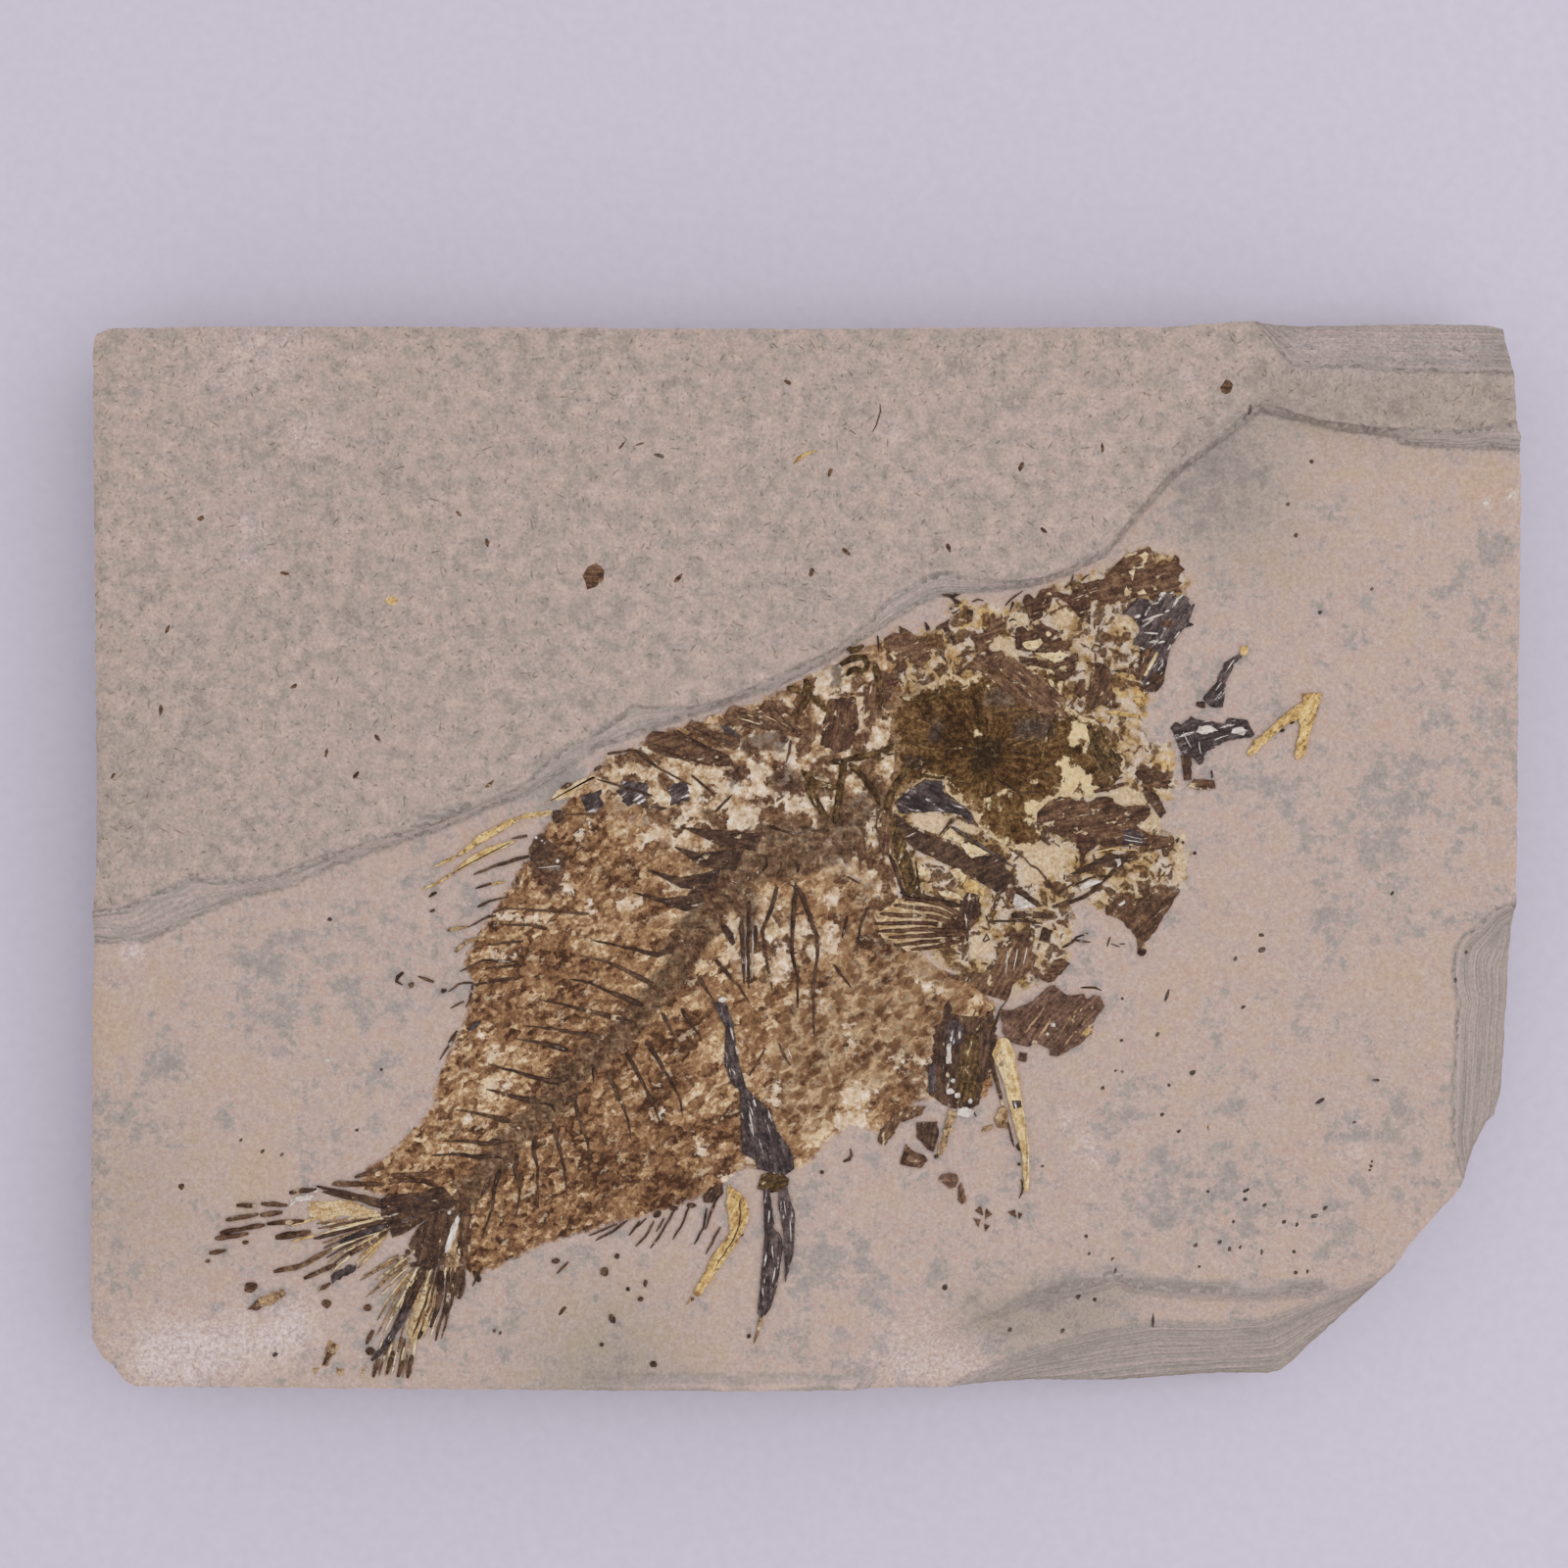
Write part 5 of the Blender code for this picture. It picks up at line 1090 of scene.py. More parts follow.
def speck(x, y, wide, high, turn, finish, rise=0.07):
    """A speck in the stone: a small disc pressed in, its middle raised by an inset."""
    chance = random.Random(int(x * 31 + y * 17))
    ring = spot(x, y, wide * chance.uniform(0.9, 1.5), high * chance.uniform(0.7, 1.1),
                turn + chance.uniform(0, 90), 9)
    reach = [chance.uniform(0.75, 1.15) for _ in ring]
    ring = [(x + (a - x) * f, y + (b - y) * f) for (a, b), f in zip(ring, reach)]
    ground = face_height(x, y)
    piece = disc(ring, ground - SPECK_DEPTH)
    raise_by(SPECK_DEPTH + rise * 0.4)
    bpy.ops.mesh.inset(thickness=min(wide, high) * 0.1 * MM, depth=rise * 0.6 * MM)
    close_up()
    points, heights = places(piece)
    mark_grain(piece, points[:, 0], points[:, 1], shades.random())
    mark(piece, "rim", np.ones(len(heights)))
    piece.data.materials.append(finish)
    return piece


slab_parts = [stone()]
slab_parts += [speck(x, y, w, w, 0, BLACK) for x, y, w in SPECKS]
slab_parts += [speck(*s, BLACK) for s in LONG_SPECKS]
slab_parts += [speck(*s, BROWN) for s in BROWN_SPECKS]
slab_parts += [speck(*s, SLATE) for s in GREY_SMUDGES]
slab_parts += [speck(x, y, w, w, 0, WHITE, 0.04) for x, y, w in WHITE_DOTS]
slab_parts.append(speck(51.1, 82.8, 2.4, 2.3, 0, BROWN, 0.05))
slab_parts.append(speck(30.5, 80.2, .9, .9, 0, YELLOW, 0.05))
hair = face_height(80, 98) + 0.02
for hair_finish, widths, height, hair_flat, sides, line in (
        (BLACK, (.14, .12), hair, 0.5, 5, (80.3,100.3, 80.3,99.4, 80.1,98.5, 79.9,97.9, 79.5,97.4)),
        (BROWN, (.16, .12), hair, 0.5, 5, (76.6,97.8, 77,97.7, 77.5,97.5, 77.8,97.2)),
        (YELLOW, (.25, .5, .45, .2), hair, 0.4, 6, (71.5,94.2, 72.2,94.9, 73.1,95.4, 74,95.5)),
        (OLIVE, (.3, .3, .2), FISH_FACE, 0.4, 6, (100.9,40.6, 102,40.7, 103.1,40.3))):
    slab_parts.append(rod(plan(line), widths, hair_finish, height, hair_flat, sides))
gather("stone_slab_face", slab_parts, "limestone", "stone_slab")


# ---------------------------------------------------------------- the fish: helpers for its bones
layered = [0]  # how many bones are laid so far: each lies a hair above the last, so none coincide


def bones(finish, widths, *paths, axis=ROD_AXIS, flat=0.55, sides=6):
    """Several rods of one finish and taper."""
    made = []
    for path in paths:
        layered[0] += 1
        made.append(rod(plan(path), list(widths), finish, axis + 0.004 * (layered[0] % 7), flat, sides))
    return made


def flats(finish, grain, *rings, top=BONE_TOP, worn=0.12, rough=0.07):
    """Several flat bones of one finish, with their fibres lying one way."""
    made = []
    for ring in rings:
        layered[0] += 1
        made.append(plate(plan(ring), finish, top + 0.007 * (layered[0] % 9), grain, worn, rough))
    return made


# ---------------------------------------------------------------- the scaly flank
FLANK = groups(2, 27,21.2, 27.6,22.4, 29,23, 31.5,25.2, 34.5,28.5, 34.3,30, 38,38.5, 38.5,41, 37.5,43,
    38.5,45.5, 40,47.5, 45.8,57, 49.5,61.5, 52.5,64.5, 55,65.3, 56.5,66.5, 68,70.2, 81,76.7, 82.6,74,
    83.5,70, 82.5,66, 82,55, 83.6,46, 86,43, 90,41.4, 92.2,39.2, 92,30.4, 90.6,28.6, 88.2,28.4, 87.6,29.2,
    84.6,28.9, 82.6,27.6, 80.3,25.6, 77.4,26, 74.6,24.6, 73.4,22.6, 71.5,21.8, 66.5,22, 64,20, 60,18.2,
    46,14.2, 40,11.3, 38.5,11, 37.4,12.2, 37.2,17, 36,18.4, 34,19, 31,18.8, 28.6,19.2, 26.4,20.2)
BACKBONE_MASS = outlines((57.6,44.4, 60,48, 62.6,51, 64.4,55.2, 67,57.4, 71,58, 74.4,56.6, 73.6,53.6,
    70,52.2, 66.4,50.2, 61.4,43.6), (70,53.4, 74,53.2, 79,56.6, 81,60.4, 79.8,61.4, 72,56), (64.6,52, 67,52,
    68.2,48.4, 67,44.6, 65.6,46.4))
BACKBONE = groups(2, 37,18.5, 41,22.5, 43,25.5, 46,28, 48,31, 54,36, 59.5,42.5, 62,46, 64,49.5, 66,52,
    68,53.5, 71,53, 75,54.5, 80,58)


def box_patch(x0, x1, y0, y1):
    return [(x0, y0), ((x0 + x1) / 2, y0 - .1), (x1, y0 + .1), (x1 + .1, (y0 + y1) / 2), (x1, y1),
            ((x0 + x1) / 2, y1 + .1), (x0, y1 - .1), (x0 - .1, (y0 + y1) / 2)]


BARE_PLACES = [box_patch(*sides) for sides in groups(4, 64.5,65.9,43.5,47.9, 69.5,71,41,45,
    72.1,73.2,45.8,47.8, 73,73.4,44,45, 72.4,73.3,39.2,41, 70.8,71.6,39.1,39.5, 69.5,70,48,49,
    74.2,76,44,47, 74,74.8,38,40.2, 76.8,77.9,36.5,37, 77,77.7,33.5,36, 69,70,28.4,31, 76.5,79.7,28.6,30.9,
    75.5,79.4,25.6,27.9, 81.5,83,32.3,33.4, 82.6,85.4,32.9,33.5, 61.2,62.4,23.4,25.3, 66.5,67.2,22.3,23.2,
    64.2,67.2,20.6,21.8, 39.9,41.1,33,34.7, 40,42.5,30.3,31, 36.2,37,34.3,35, 38.5,40,35.4,36.1,
    37.5,39,26.5,27.6, 36.3,37,23.7,24.3, 42.7,43.4,22.3,23.4, 41,46.6,47.3,48.1, 40.4,43.1,43.6,44.6,
    48,48.7,50.4,52.1, 50,51.2,48.3,49.7, 53.2,55.9,48.5,49.8, 58.2,61.8,50.3,51.7, 63.5,64.6,60,62.8,
    60.6,62.4,54.6,55.3, 64.6,67.8,56.7,59.3, 66.7,68.9,60.2,63.9, 70.5,73.4,58.8,60.6, 73.6,76.8,70.7,73.4,
    78.9,80.1,55.1,58.9, 45.6,47.4,52.8,53.2, 47.8,48.6,50,52.2, 82.2,83.9,49.2,52, 87.1,87.7,32.9,35,
    57.2,58.2,27.1,28, 52.5,54,60.6,61.3)]
BARE_PLACES += [spot(*place) for place in groups(3, 68.3,48.3,.6, 66.4,50,.6, 72.8,29,.7, 61,30.3,.5,
    60.1,45.4,.5, 61.5,45.9,.5)]
BARE_PLACES += outlines((55.6,54.6, 57.4,55.2, 58.4,57, 57.2,57.4, 55.8,56), (58.5,56.6, 60.4,57.2,
    62.4,59.4, 62.3,60, 58.6,57.6), (69.5,66, 71.8,66.2, 72,64.2, 71.6,63, 70.2,63.2, 69.4,64.6), (79,65.9,
    79.8,66.6, 81.3,66.4, 81.5,65.8, 80.1,64.8, 79.4,65.2), (76.6,68.3, 78.6,68.8, 79,67.2, 77.4,66.6),
    (49,55.6, 51.4,57.2, 51,58, 49.2,56.8), (84.2,41.4, 88.2,40.2, 87.8,39.8, 85,40.4), (62.3,66.4,
    65.2,67.6, 65.4,66.8, 63,65.8), (74.6,50.4, 76.2,51, 76,49, 74.8,48.6))
DARK_PLACES = outlines((44.4,54.9, 45.5,56.2, 46.5,55.3, 47.8,55, 48.1,53, 47.5,51.8, 47.5,50, 46.2,50,
    45.8,52, 44.5,52.3), box_patch(46.7, 48, 57.5, 59), (66,64.9, 70.6,64.8, 70.7,67, 68,66.8, 66.2,66.2),
    (69,60.6, 72.1,60.6, 72.2,63, 70.6,63.3, 69.2,62.6), (86.2,31, 87,31.2, 87,36.8, 86.3,36.6), (67.8,19.9,
    70.8,19.9, 71,21.3, 68,21.4), (80,58.7, 81.3,58.8, 82,56, 81.8,54.4, 80.6,54.1, 80.1,56), (64.6,62.8,
    66.4,63.6, 66.2,61.4, 65,61), (36.4,13, 37.6,13, 37.8,18.2, 36.8,17), (42.4,50.7, 43.4,50.8, 43.5,52.3,
    42.4,52.3), box_patch(75.3, 76.5, 71.5, 73.5))
DARKER = groups(4, 78,36,8,.5, 52,44,7,.4, 80,48,5,.4, 48,34,6,.3, 50,20,6,.6, 42,16,5,.5, 44,40,6,.4,
    58,22,6,.5, 50,30,5,.3, 66,66,4,.8, 70,62,4,.6, 84,31,5,.5, 47,54,3,.9, 79,61,3,.5, 60,34,5,.35,
    76,40,6,.3, 54,52,4,.3, 47,46,4,.4, 62,55,3,.2, 78,47,4,.4)
PALER = groups(4, 72,58,5,.8, 60,57,6,.5, 66,46,4,.5, 78,28,5,.7, 55,62,5,.5, 74,71,5,.6, 51,48,4,.3,
    73,24,3,.8, 68,34,4,.5, 57,45,5,.4, 80,36,5,.3, 41,32,4,.35, 68,52,4,.5, 85,40,3,.4, 72,66,4,.4)
PLATES = groups(4, 76,70,5,1, 79,64,5,1, 72,65,4.5,.9, 66,62,4.5,.9, 59,61,4.5,.8, 55,64,3.5,.6, 81,56,5,.9,
    75,58,4,.7, 70,45,5,.7, 62,56,4,.5, 82,49,4,.5, 51,59,3.5,.4, 86,31,3,.6, 84,44,3.5,.3)
ROUND_SCALES = groups(4, 80,37,7,1, 74,34,4,.9, 84,40,4,.8, 72,28,4,.5, 77,51,4,.4)


def scaly_flank():
    piece = sheet(FLANK, SCALES, 0.36, FILM_TOP, FILM_BASE, 0.16, 17)
    points, heights = places(piece)
    bare = deepest(points, BARE_PLACES)
    spine = np.maximum(1.4 - nearest(points, BACKBONE)[0], deepest(points, BACKBONE_MASS))
    edge = depth_in(points, FLANK)
    lumps = unevenness(points, 1.3, 12.0)
    top = heights > FILM_TOP - 0.02
    rise = 0.025 * lumps - 0.07 * np.clip(bare * 2 + 0.5, 0, 1) + 0.07 * np.clip(spine, 0, 1)
    rise = rise - 0.1 * np.clip(1 - edge / 0.9, 0, 1)
    put(piece, points, heights + np.where(top, rise, 0))
    mark(piece, "bare", bare)
    mark(piece, "edge", edge)
    mark(piece, "spine", spine)
    mark(piece, "black", deepest(points, DARK_PLACES))
    mark(piece, "dark", swell(points, DARKER))
    mark(piece, "pale", swell(points, PALER))
    mark(piece, "round", swell(points, ROUND_SCALES))
    mark(piece, "plates", swell(points, PLATES))
    mark(piece, "fine", np.clip((66 - points[:, 0]) / 24 + 0.3 * lumps, 0, 1))
    return piece


NEURAL_SPINES = outlines((40.5,23.3, 39,23.3, 36.5,23.6, 34.3,23.4), (41.5,24.9, 40,24.6, 37.5,24.9,
    35.5,24.9), (42.5,26.9, 41,27.3, 38.5,27.9, 36.8,28.1), (45.5,28.9, 43,29.4, 40,30.2), (48,31.2, 46.5,31,
    40.2,32.8), (48.4,34.2, 47,34.6, 45,35.1, 42.9,35.4), (52,35.5, 50,35.8, 47,36.4, 44,36.7), (54.3,37.3,
    50,38.3, 47.5,39, 45.4,39.4), (56,38.8, 51.7,40.6, 50.3,41.2, 48.6,41.5), (57,41, 53.3,42.9, 52,43.4,
    49.6,43.9), (59.1,45, 59,44.5, 57.5,44, 50.9,45.5), (59.5,46.4, 57,47, 55.2,47.9, 52.6,48.3), (61.9,50.5,
    60.5,49.2, 58,49.3, 54.9,50.3), (63,51.5, 60,51.3, 56.4,52.6), (65,53.5, 62,53.6, 59.3,55), (67.5,55.5,
    64,55.8, 60,57))
HAEMAL_SPINES = outlines((41.4,22, 40.8,20, 40.6,18, 39.5,14.9), (40,20.5, 39.4,19), (43.2,23.6, 42.9,22,
    43.5,20, 43,17), (45.1,25.4, 44.8,23.8, 45.3,22, 45.2,18), (46.8,26.8, 47.2,25, 47.9,22.5, 48.3,19.2),
    (49.1,29, 49.6,27, 50.4,24.8, 50.5,22), (52.4,32, 54.2,28, 54.8,26, 54.8,25), (54.3,34, 56,31, 57.4,28,
    57.9,26.2), (56.4,35.3, 59.8,29.5, 60.1,27.5), (58,38, 58.8,36.5, 60,34.5), (60,38.5, 61,36.8, 62,35.5),
    (61.7,41.8, 62.8,40, 63.3,39.3), (63.5,43.5, 64.5,42.3, 66,40.6, 67,39))
RIBS = outlines((66.1,47.5, 66.3,44, 66.4,41), (66.9,49.5, 66.8,45, 66.9,40.5), (67.6,47, 67.6,44.5),
    (69.8,51, 69,48, 68.2,46.6, 69.3,40.2), (71.7,51, 71.3,45, 71.4,43.5, 71.9,42, 71.9,38.5), (71.2,51.6,
    72.3,50.2, 73.9,46, 73.9,43.5, 73.5,41, 73.6,36))
BACK_RODS = outlines((39.1,48.9, 40.5,49.6, 42.1,49.9), (50.4,48.2, 46.5,48.5, 42,48.8, 40.6,48.4), (41,48,
    40.2,47.9, 38.3,46.9), (46.2,46.6, 45,47, 41.6,47.1), (43.8,45.4, 41.5,45.2, 39.9,45), (43,43.3,
    39.5,43.4, 38.5,42.9, 37.3,42.3), (44,43, 40,42.6), (42.9,41.6, 38.6,40.9, 38.3,41.3, 37.2,41,
    36.1,40.2), (37.7,39.2, 36.3,38.5), (38.6,40.9, 38.2,39, 37.9,38.6), (37,36.2, 36.1,35), (36.9,35.9,
    35.2,33.2), (55.3,65, 57,63.5, 61,61.4), (57,60.3, 51.3,62), (51.6,58.5, 48,58.3), (58.5,59, 56,59.2),
    (50.9,32.4, 51,31), (44.5,20.9, 44.9,21.6), (66.9,31.6, 67.4,32.3, 68.1,33.5, 68.6,34.5), (70,34.9,
    70.6,33.5, 71.2,32.6), (72.3,63, 74.8,58.5), (73,61.8, 76,61.2), (76.7,63, 76,57.5), (75.2,63.8,
    82.2,64.7), (78.3,55, 78.3,52.5), (77,52, 78.3,51.3), (71.2,66, 71,64.5, 70.7,63.6), (52.4,64.6,
    55.3,65), (79,48.8, 78.2,46.6, 78,44), (77,48, 76.4,45.4), (75.6,43, 77.4,40.6), (63.4,58.6, 65.2,60.4),
    (68.8,57.2, 71.4,56.4, 74.4,56.8), (61,62.4, 63.4,60.4))

flank_parts = [scaly_flank()]
flank_parts += bones(DARK, (.75, .42, .16), *[p for p in NEURAL_SPINES if len(p) == 3])
flank_parts += bones(DARK, (.8, .36, .16), *[p for p in NEURAL_SPINES if len(p) != 3][:-2])
flank_parts += flats(DARK, 10, (61.9,51.2, 60.5,50, 58,49.8, 54.9,50.4, 60.6,48.4, 62.4,49.4), (64,52.8,
    60,51.9, 56.4,52.8, 60,50.8, 63.4,50.6), (66.4,55, 62,54.4, 59.3,55.1, 62,53, 65.6,52.6), (68.4,56.4,
    60,57.1, 64,55.1, 67.6,54.6), top=13.04, worn=.07, rough=.05)
flank_parts += bones(DARK, (.62, .34, .16), *HAEMAL_SPINES)
flank_parts += bones(DARK, (.6, .42, .24), *RIBS)
flank_parts += bones(DARK, (.4, .18), *BACK_RODS)
flank_parts += bones(WHITE, (.16, .1), (66.6,47, 66.6,42), (67.3,46.6, 67.25,41.6), (45.3,52.9, 47.5,53.1),
    (70.9,34.4, 71.3,33.4), (71.5,59.3, 72.6,59.2))
for k in range(1, len(BACKBONE) - 1):
    a, b = Vector(BACKBONE[k]), Vector(BACKBONE[k + 1])
    for t in (0.15, 0.65):
        c, run = a.lerp(b, t), (b - a).normalized()
        side = Vector((-run.y, run.x))
        hook = [c - side * 0.85, c - side * 0.3 + run * 0.35, c + side * 0.45 + run * 0.1,
            c + side * 0.9 - run * 0.3]
        flank_parts += bones(BROWN if t > 0.5 else DARK, (.42, .24), [tuple(p) for p in hook], axis=12.95)
flank_parts += flats(DARK, 20, spot(48, 31.3, .9, .7, 20), spot(48.8, 29.3, 1.2, .8, 40), spot(58.1, 27.5,
    .5), spot(35.6, 40.3, .6, .5), (64.2,47.4, 65.3,46.2, 65.5,45.3, 65.2,44.9, 64,46.8))
flank_parts += bones(SLATE, (.7, .5), (38.2,36.3, 38.8,36.7, 39.4,37.2), (64.2,67.4, 66,66.3))
flank_parts += bones(TAN, (.55, .3), (36.8,44.3, 38,45.3, 39.5,45.9), (36,46.5, 38.3,46.9))
flank_parts += bones(OLIVE, (1, .7), (72.5,62.7, 73.8,61.5, 76.2,61.1), (72.9,61.5, 73.8,59.2, 75,57.9),
    (76.7,64, 76.2,60.6, 75.7,57.4))
flank_parts += bones(OLIVE, (.5, .8, .5), (75.5,63.6, 78.5,64.3, 81.7,65.2))
flank_parts += flats(BROWN, 80, (75,70.2, 77.8,70.4, 78.2,68, 77.6,65.6, 76,64.6, 74.2,65.6), (78.6,71.4,
    80,72.4, 80.4,70, 79.8,67.6, 78.8,67.4), top=13, rough=.16)
flank_parts += flats(OLIVE, 70, (81.4,58.4, 82.6,56.6, 84.6,50.2, 83.2,50.2, 81.2,56.4), rough=.12)
flank_parts += flats(SLATE, 30, (54,62, 56.6,61.4, 56.4,59.6, 54.4,59.2, 53.4,60.6), (58.6,61.2, 60.6,61.8,
    61,59.8, 59,59.4), (49.6,60.2, 51.6,61, 52,59, 50.2,58.4), top=12.98, rough=.2)
flank_parts += bones(OLIVE, (.8, .6), (77.2,63.6, 78.5,62.4, 79.6,61, 80.3,59.3), (81,59, 81.6,60.8,
    82.6,62.4, 84,63.6, 85.8,63.9), (72.7,72.3, 73.1,70.4, 71.3,68.1), (73.1,70.6, 75.4,68.8), (72.6,70.9,
    70.8,71.4), (79.8,73.8, 80.4,71.6, 80.3,69), (76.3,73.7, 77.5,74.4, 78.6,74.6, 79.1,73.8, 78.9,73,
    77.7,73.4, 76.9,72.6), (76.9,75.6, 77.6,75.1, 78.7,75.7), (80.3,64, 81.6,65.6))
gather("scale_sheet_and_backbone", flank_parts, "scales", "scaly_flank")

# The stout support of the anal fin: slate bone with bright streaks along it.
support_parts = flats(SLATE, -78, (63.1,39.3, 64.6,39, 65.3,37, 65.9,33, 66.6,30.4, 69,28, 69.8,26,
    71.5,23.5, 71.5,22, 70.5,21.4, 68,22, 67.5,23, 66.2,23.6, 66,30, 65,31, 64.4,33, 64.5,36.5),
    top=BONE_TOP + 0.05)
support_parts += bones(WHITE, (.3, .2), (65,36.8, 65.2,35.8, 65.4,34.8), (64.9,32.6, 65.4,32, 65.6,31.2),
    (66.9,28.2, 67.2,26.4, 67.6,24.6), (68.6,27.2, 69.1,25.6, 69.4,24.2), axis=13.08)
support_parts += flats(WHITE, 0, box_patch(63.8, 64.6, 39.2, 39.6), spot(69.6, 21.8, .5), top=13.12)
support_parts += flats(OLIVE, 10, (67.8,20, 69,19.6, 70.8,19.9, 71,21, 70,21.7, 68.2,21.5), top=13.1)
support_parts += bones(DARK, (.3, .2), (63.7,39, 64.9,36.6, 65.1,33.4, 66.2,30.6), (66.5,29.4, 67.6,27.6,
    68.4,24.8, 69,22.6), axis=13.06)
gather("first_anal_support", support_parts, "slate_bone", "anal_support")


# ---------------------------------------------------------------- the tail
upper_rays = bones(BROWN, (.6, .5), (14.4,18.3, 16.4,18.3), (16.9,18.5, 19.6,18.3), (13.3,16.8, 16.6,17.4),
    (16.8,17.3, 19.1,17.6), (12.7,15.5, 17.3,16.3), (17.5,16.4, 21.3,16.7), (12.2,14.9, 15.6,15.4),
    (11.6,13.4, 13.3,13.7), (19.8,19.6, 22.6,20), (18.2,11.5, 20.8,12, 24.2,13.9), (21.3,10.8, 24.6,12.3),
    (22.7,9.5, 24,10.3), (26,13.2, 28,14.5, 29.9,15.6), (34.7,21.6, 30.2,21.4), (24.2,20.5, 29.5,20.5),
    (35,20.3, 33.5,20.8, 30,20.9), (29.5,22.2, 26.5,21.2))
upper_rays += bones(BROWN, (.9, .6), (18.4,15, 22,15.6))
upper_rays += bones(DARK, (.5, .34), (29.5,18.7, 26,19.5, 22.6,20.3), (29.3,18.3, 26,19.1, 23.2,19.7),
    (29.6,18, 27,18.9, 24.6,19.3), (29.6,16.8, 25.6,15.7, 22.3,14.9))
upper_rays += bones(SLATE, (.9, .6), (29.8,16.3, 27,15.4, 24.9,14.5))
upper_rays += bones(CREAM, (.45, .2), (29.6,17.4, 26,16.9, 23.2,16.2), (29.7,16, 26,14.6, 23,13.4), (29.5,15,
    26.5,12.3), (29.4,15.5, 25,13.3), (29.6,17.1, 24.4,16), axis=12.93)
upper_rays += bones(YELLOW, (.35, .2), (29.8,15.2, 27,13), (22.4,15.2, 20,14.6), (22.6,17, 19.8,16.2),
    (29.2,14.4, 26.8,11.8))
upper_rays += flats(RAY_FILM, 8, (21.6,18.6, 26,18.9, 28.8,17.6, 28.6,17, 25.4,17.2, 23.2,16.5, 21.8,17.2),
    top=12.94, rough=.14)
upper_rays += flats(WHITE, 20, (19.8,18.2, 20.6,18.8, 21.6,18.7, 22.4,19.3, 21.6,19.5, 19.9,18.8), spot(22.4,
    19.9, .6), spot(26.5, 12, .4), top=12.96, rough=.2)
upper_rays += flats(SLATE, 30, (24.2,10.4, 26.6,11.5, 26.7,12.2, 25.6,12, 24.2,11.2), rough=.16)
upper_rays += flats(DARK, 15, (29.2,18.9, 30,19.4, 33,19.6, 35.5,20.3, 36.9,18.8, 36.9,18.2, 34,17,
    32.1,15.7, 30.4,15, 29.8,16.6, 29.2,17.3))
upper_rays += flats(BROWN, 20, (15.2,9.6, 16,9.3, 16.6,9.9, 16.2,10.4, 15.4,10.3), spot(11.4, 12.6, .5, .35),
    (15.6,7.7, 16.6,7.5, 17.2,8.2, 16.4,8.5), spot(23.6, 8.2, 1, .8), spot(27.8, 7.8, .8, .7), spot(15.3,
    14.5, .7, .4), rough=.18)
upper_rays += flats(TAN, 20, (16.8,8, 18,8.2, 19.6,9.2, 19.2,9.7, 17.8,9.2, 16.6,8.6), rough=.2)
upper_rays += bones(SLATE, (.3, .16), (32.5,19.2, 34,18.7, 35.5,18.4), (30.6,18.2, 32.4,17.8), (31.4,16.6,
    33.2,17.4), axis=13.1)
upper_rays += bones(DARK, (.22, .2), (29.6,18.2, 33,18.6, 36.4,19), (30,16.4, 33.4,17.7, 36.5,18.5),
    axis=13.1)
for n in range(11):
    t = n / 10
    upper_rays += bones((TAN, BROWN, CREAM, DARK)[n % 4], (.24, .34, .2), ((30, 17.4 - 1.8 * t), (26.4,
        16.9 - 3.4 * t), (22.6 + 1.4 * t, 16.4 - 5 * t)), axis=12.94)
gather("tail_fin_upper_lobe", upper_rays, "dark_bone", "tail_fin_upper")

lower_rays = bones(TAN, (.32, .18), (32.2,13.4, 29.6,12, 27.4,11.1), (32.2,12.9, 29.8,11, 28.2,9.2),
    (32.2,12.3, 30,10.8, 27.7,8.9), (31.9,10.9, 30,8.6, 28.8,6.5), (31,13.2, 28.2,11.6), (31.6,11.6,
    29.4,9.4), (30.4,12.6, 27,10.6))
lower_rays += bones(CREAM, (.4, .2), (31.8,12.9, 28.6,10.6), (31.9,12, 29,9), (32,11.4, 29.4,8), (33.4,11.6,
    31.9,9.7, 31.1,7.6), (32.8,11.4, 31,8.4, 30,6.4), (30.3,4.4, 29.6,1.4), (31.6,4.2, 31,.8), (27.6,1.9,
    27.1,.6), (35.6,11.6, 34.8,8, 33.6,5), axis=12.93)
lower_rays += bones(DARK, (.9, .7, .5), (33.7,11.6, 32.2,8.3, 30.8,5.8), (35.4,11.6, 35.2,8.6, 34.3,5.8))
lower_rays += bones(SLATE, (.6, .8, .5), (30.9,6, 29.6,3.8, 28.2,2.4), (32.3,8.8, 31.5,7, 30.8,5.4))
lower_rays += bones(DARK, (.5, .3), (36.1,11.6, 36.1,8.6, 35.1,5.8, 34.8,4.4), (36.8,11.4, 36.4,8.3, 35.8,7),
    (32.2,10, 31.6,8.6), (34.6,11.4, 34.1,10))
lower_rays += bones(BROWN, (.65, .45), (31.3,4.8, 30.9,3.3), (32.4,3, 31.9,.6), (31.4,2.4, 31,.7), (28.4,5.5,
    27.7,4.1), (24.4,4.1, 23.3,2), (30.4,3.4, 29.8,1), (29,2.6, 28.4,.7), (33.4,5.4, 33,4.6), (37.6,10.6,
    37.2,9))
for n in range(12):
    t = n / 11
    lower_rays += bones((TAN, CREAM, DARK, BROWN)[n % 4], (.34, .3, .18), ((32.6 + 4 * t, 12),
        (30.6 + 5.6 * t, 8.4 - 0.6 * t), (28.8 + 6.6 * t, 5 - 0.4 * t)), axis=12.94)
for n in range(7):
    t = n / 6
    lower_rays += bones((CREAM, BROWN, TAN)[n % 3], (.34, .2), ((29.4 + 3.4 * t, 4.6), (28.4 + 3.6 * t,
        0.9 - 0.3 * t)), axis=12.93)
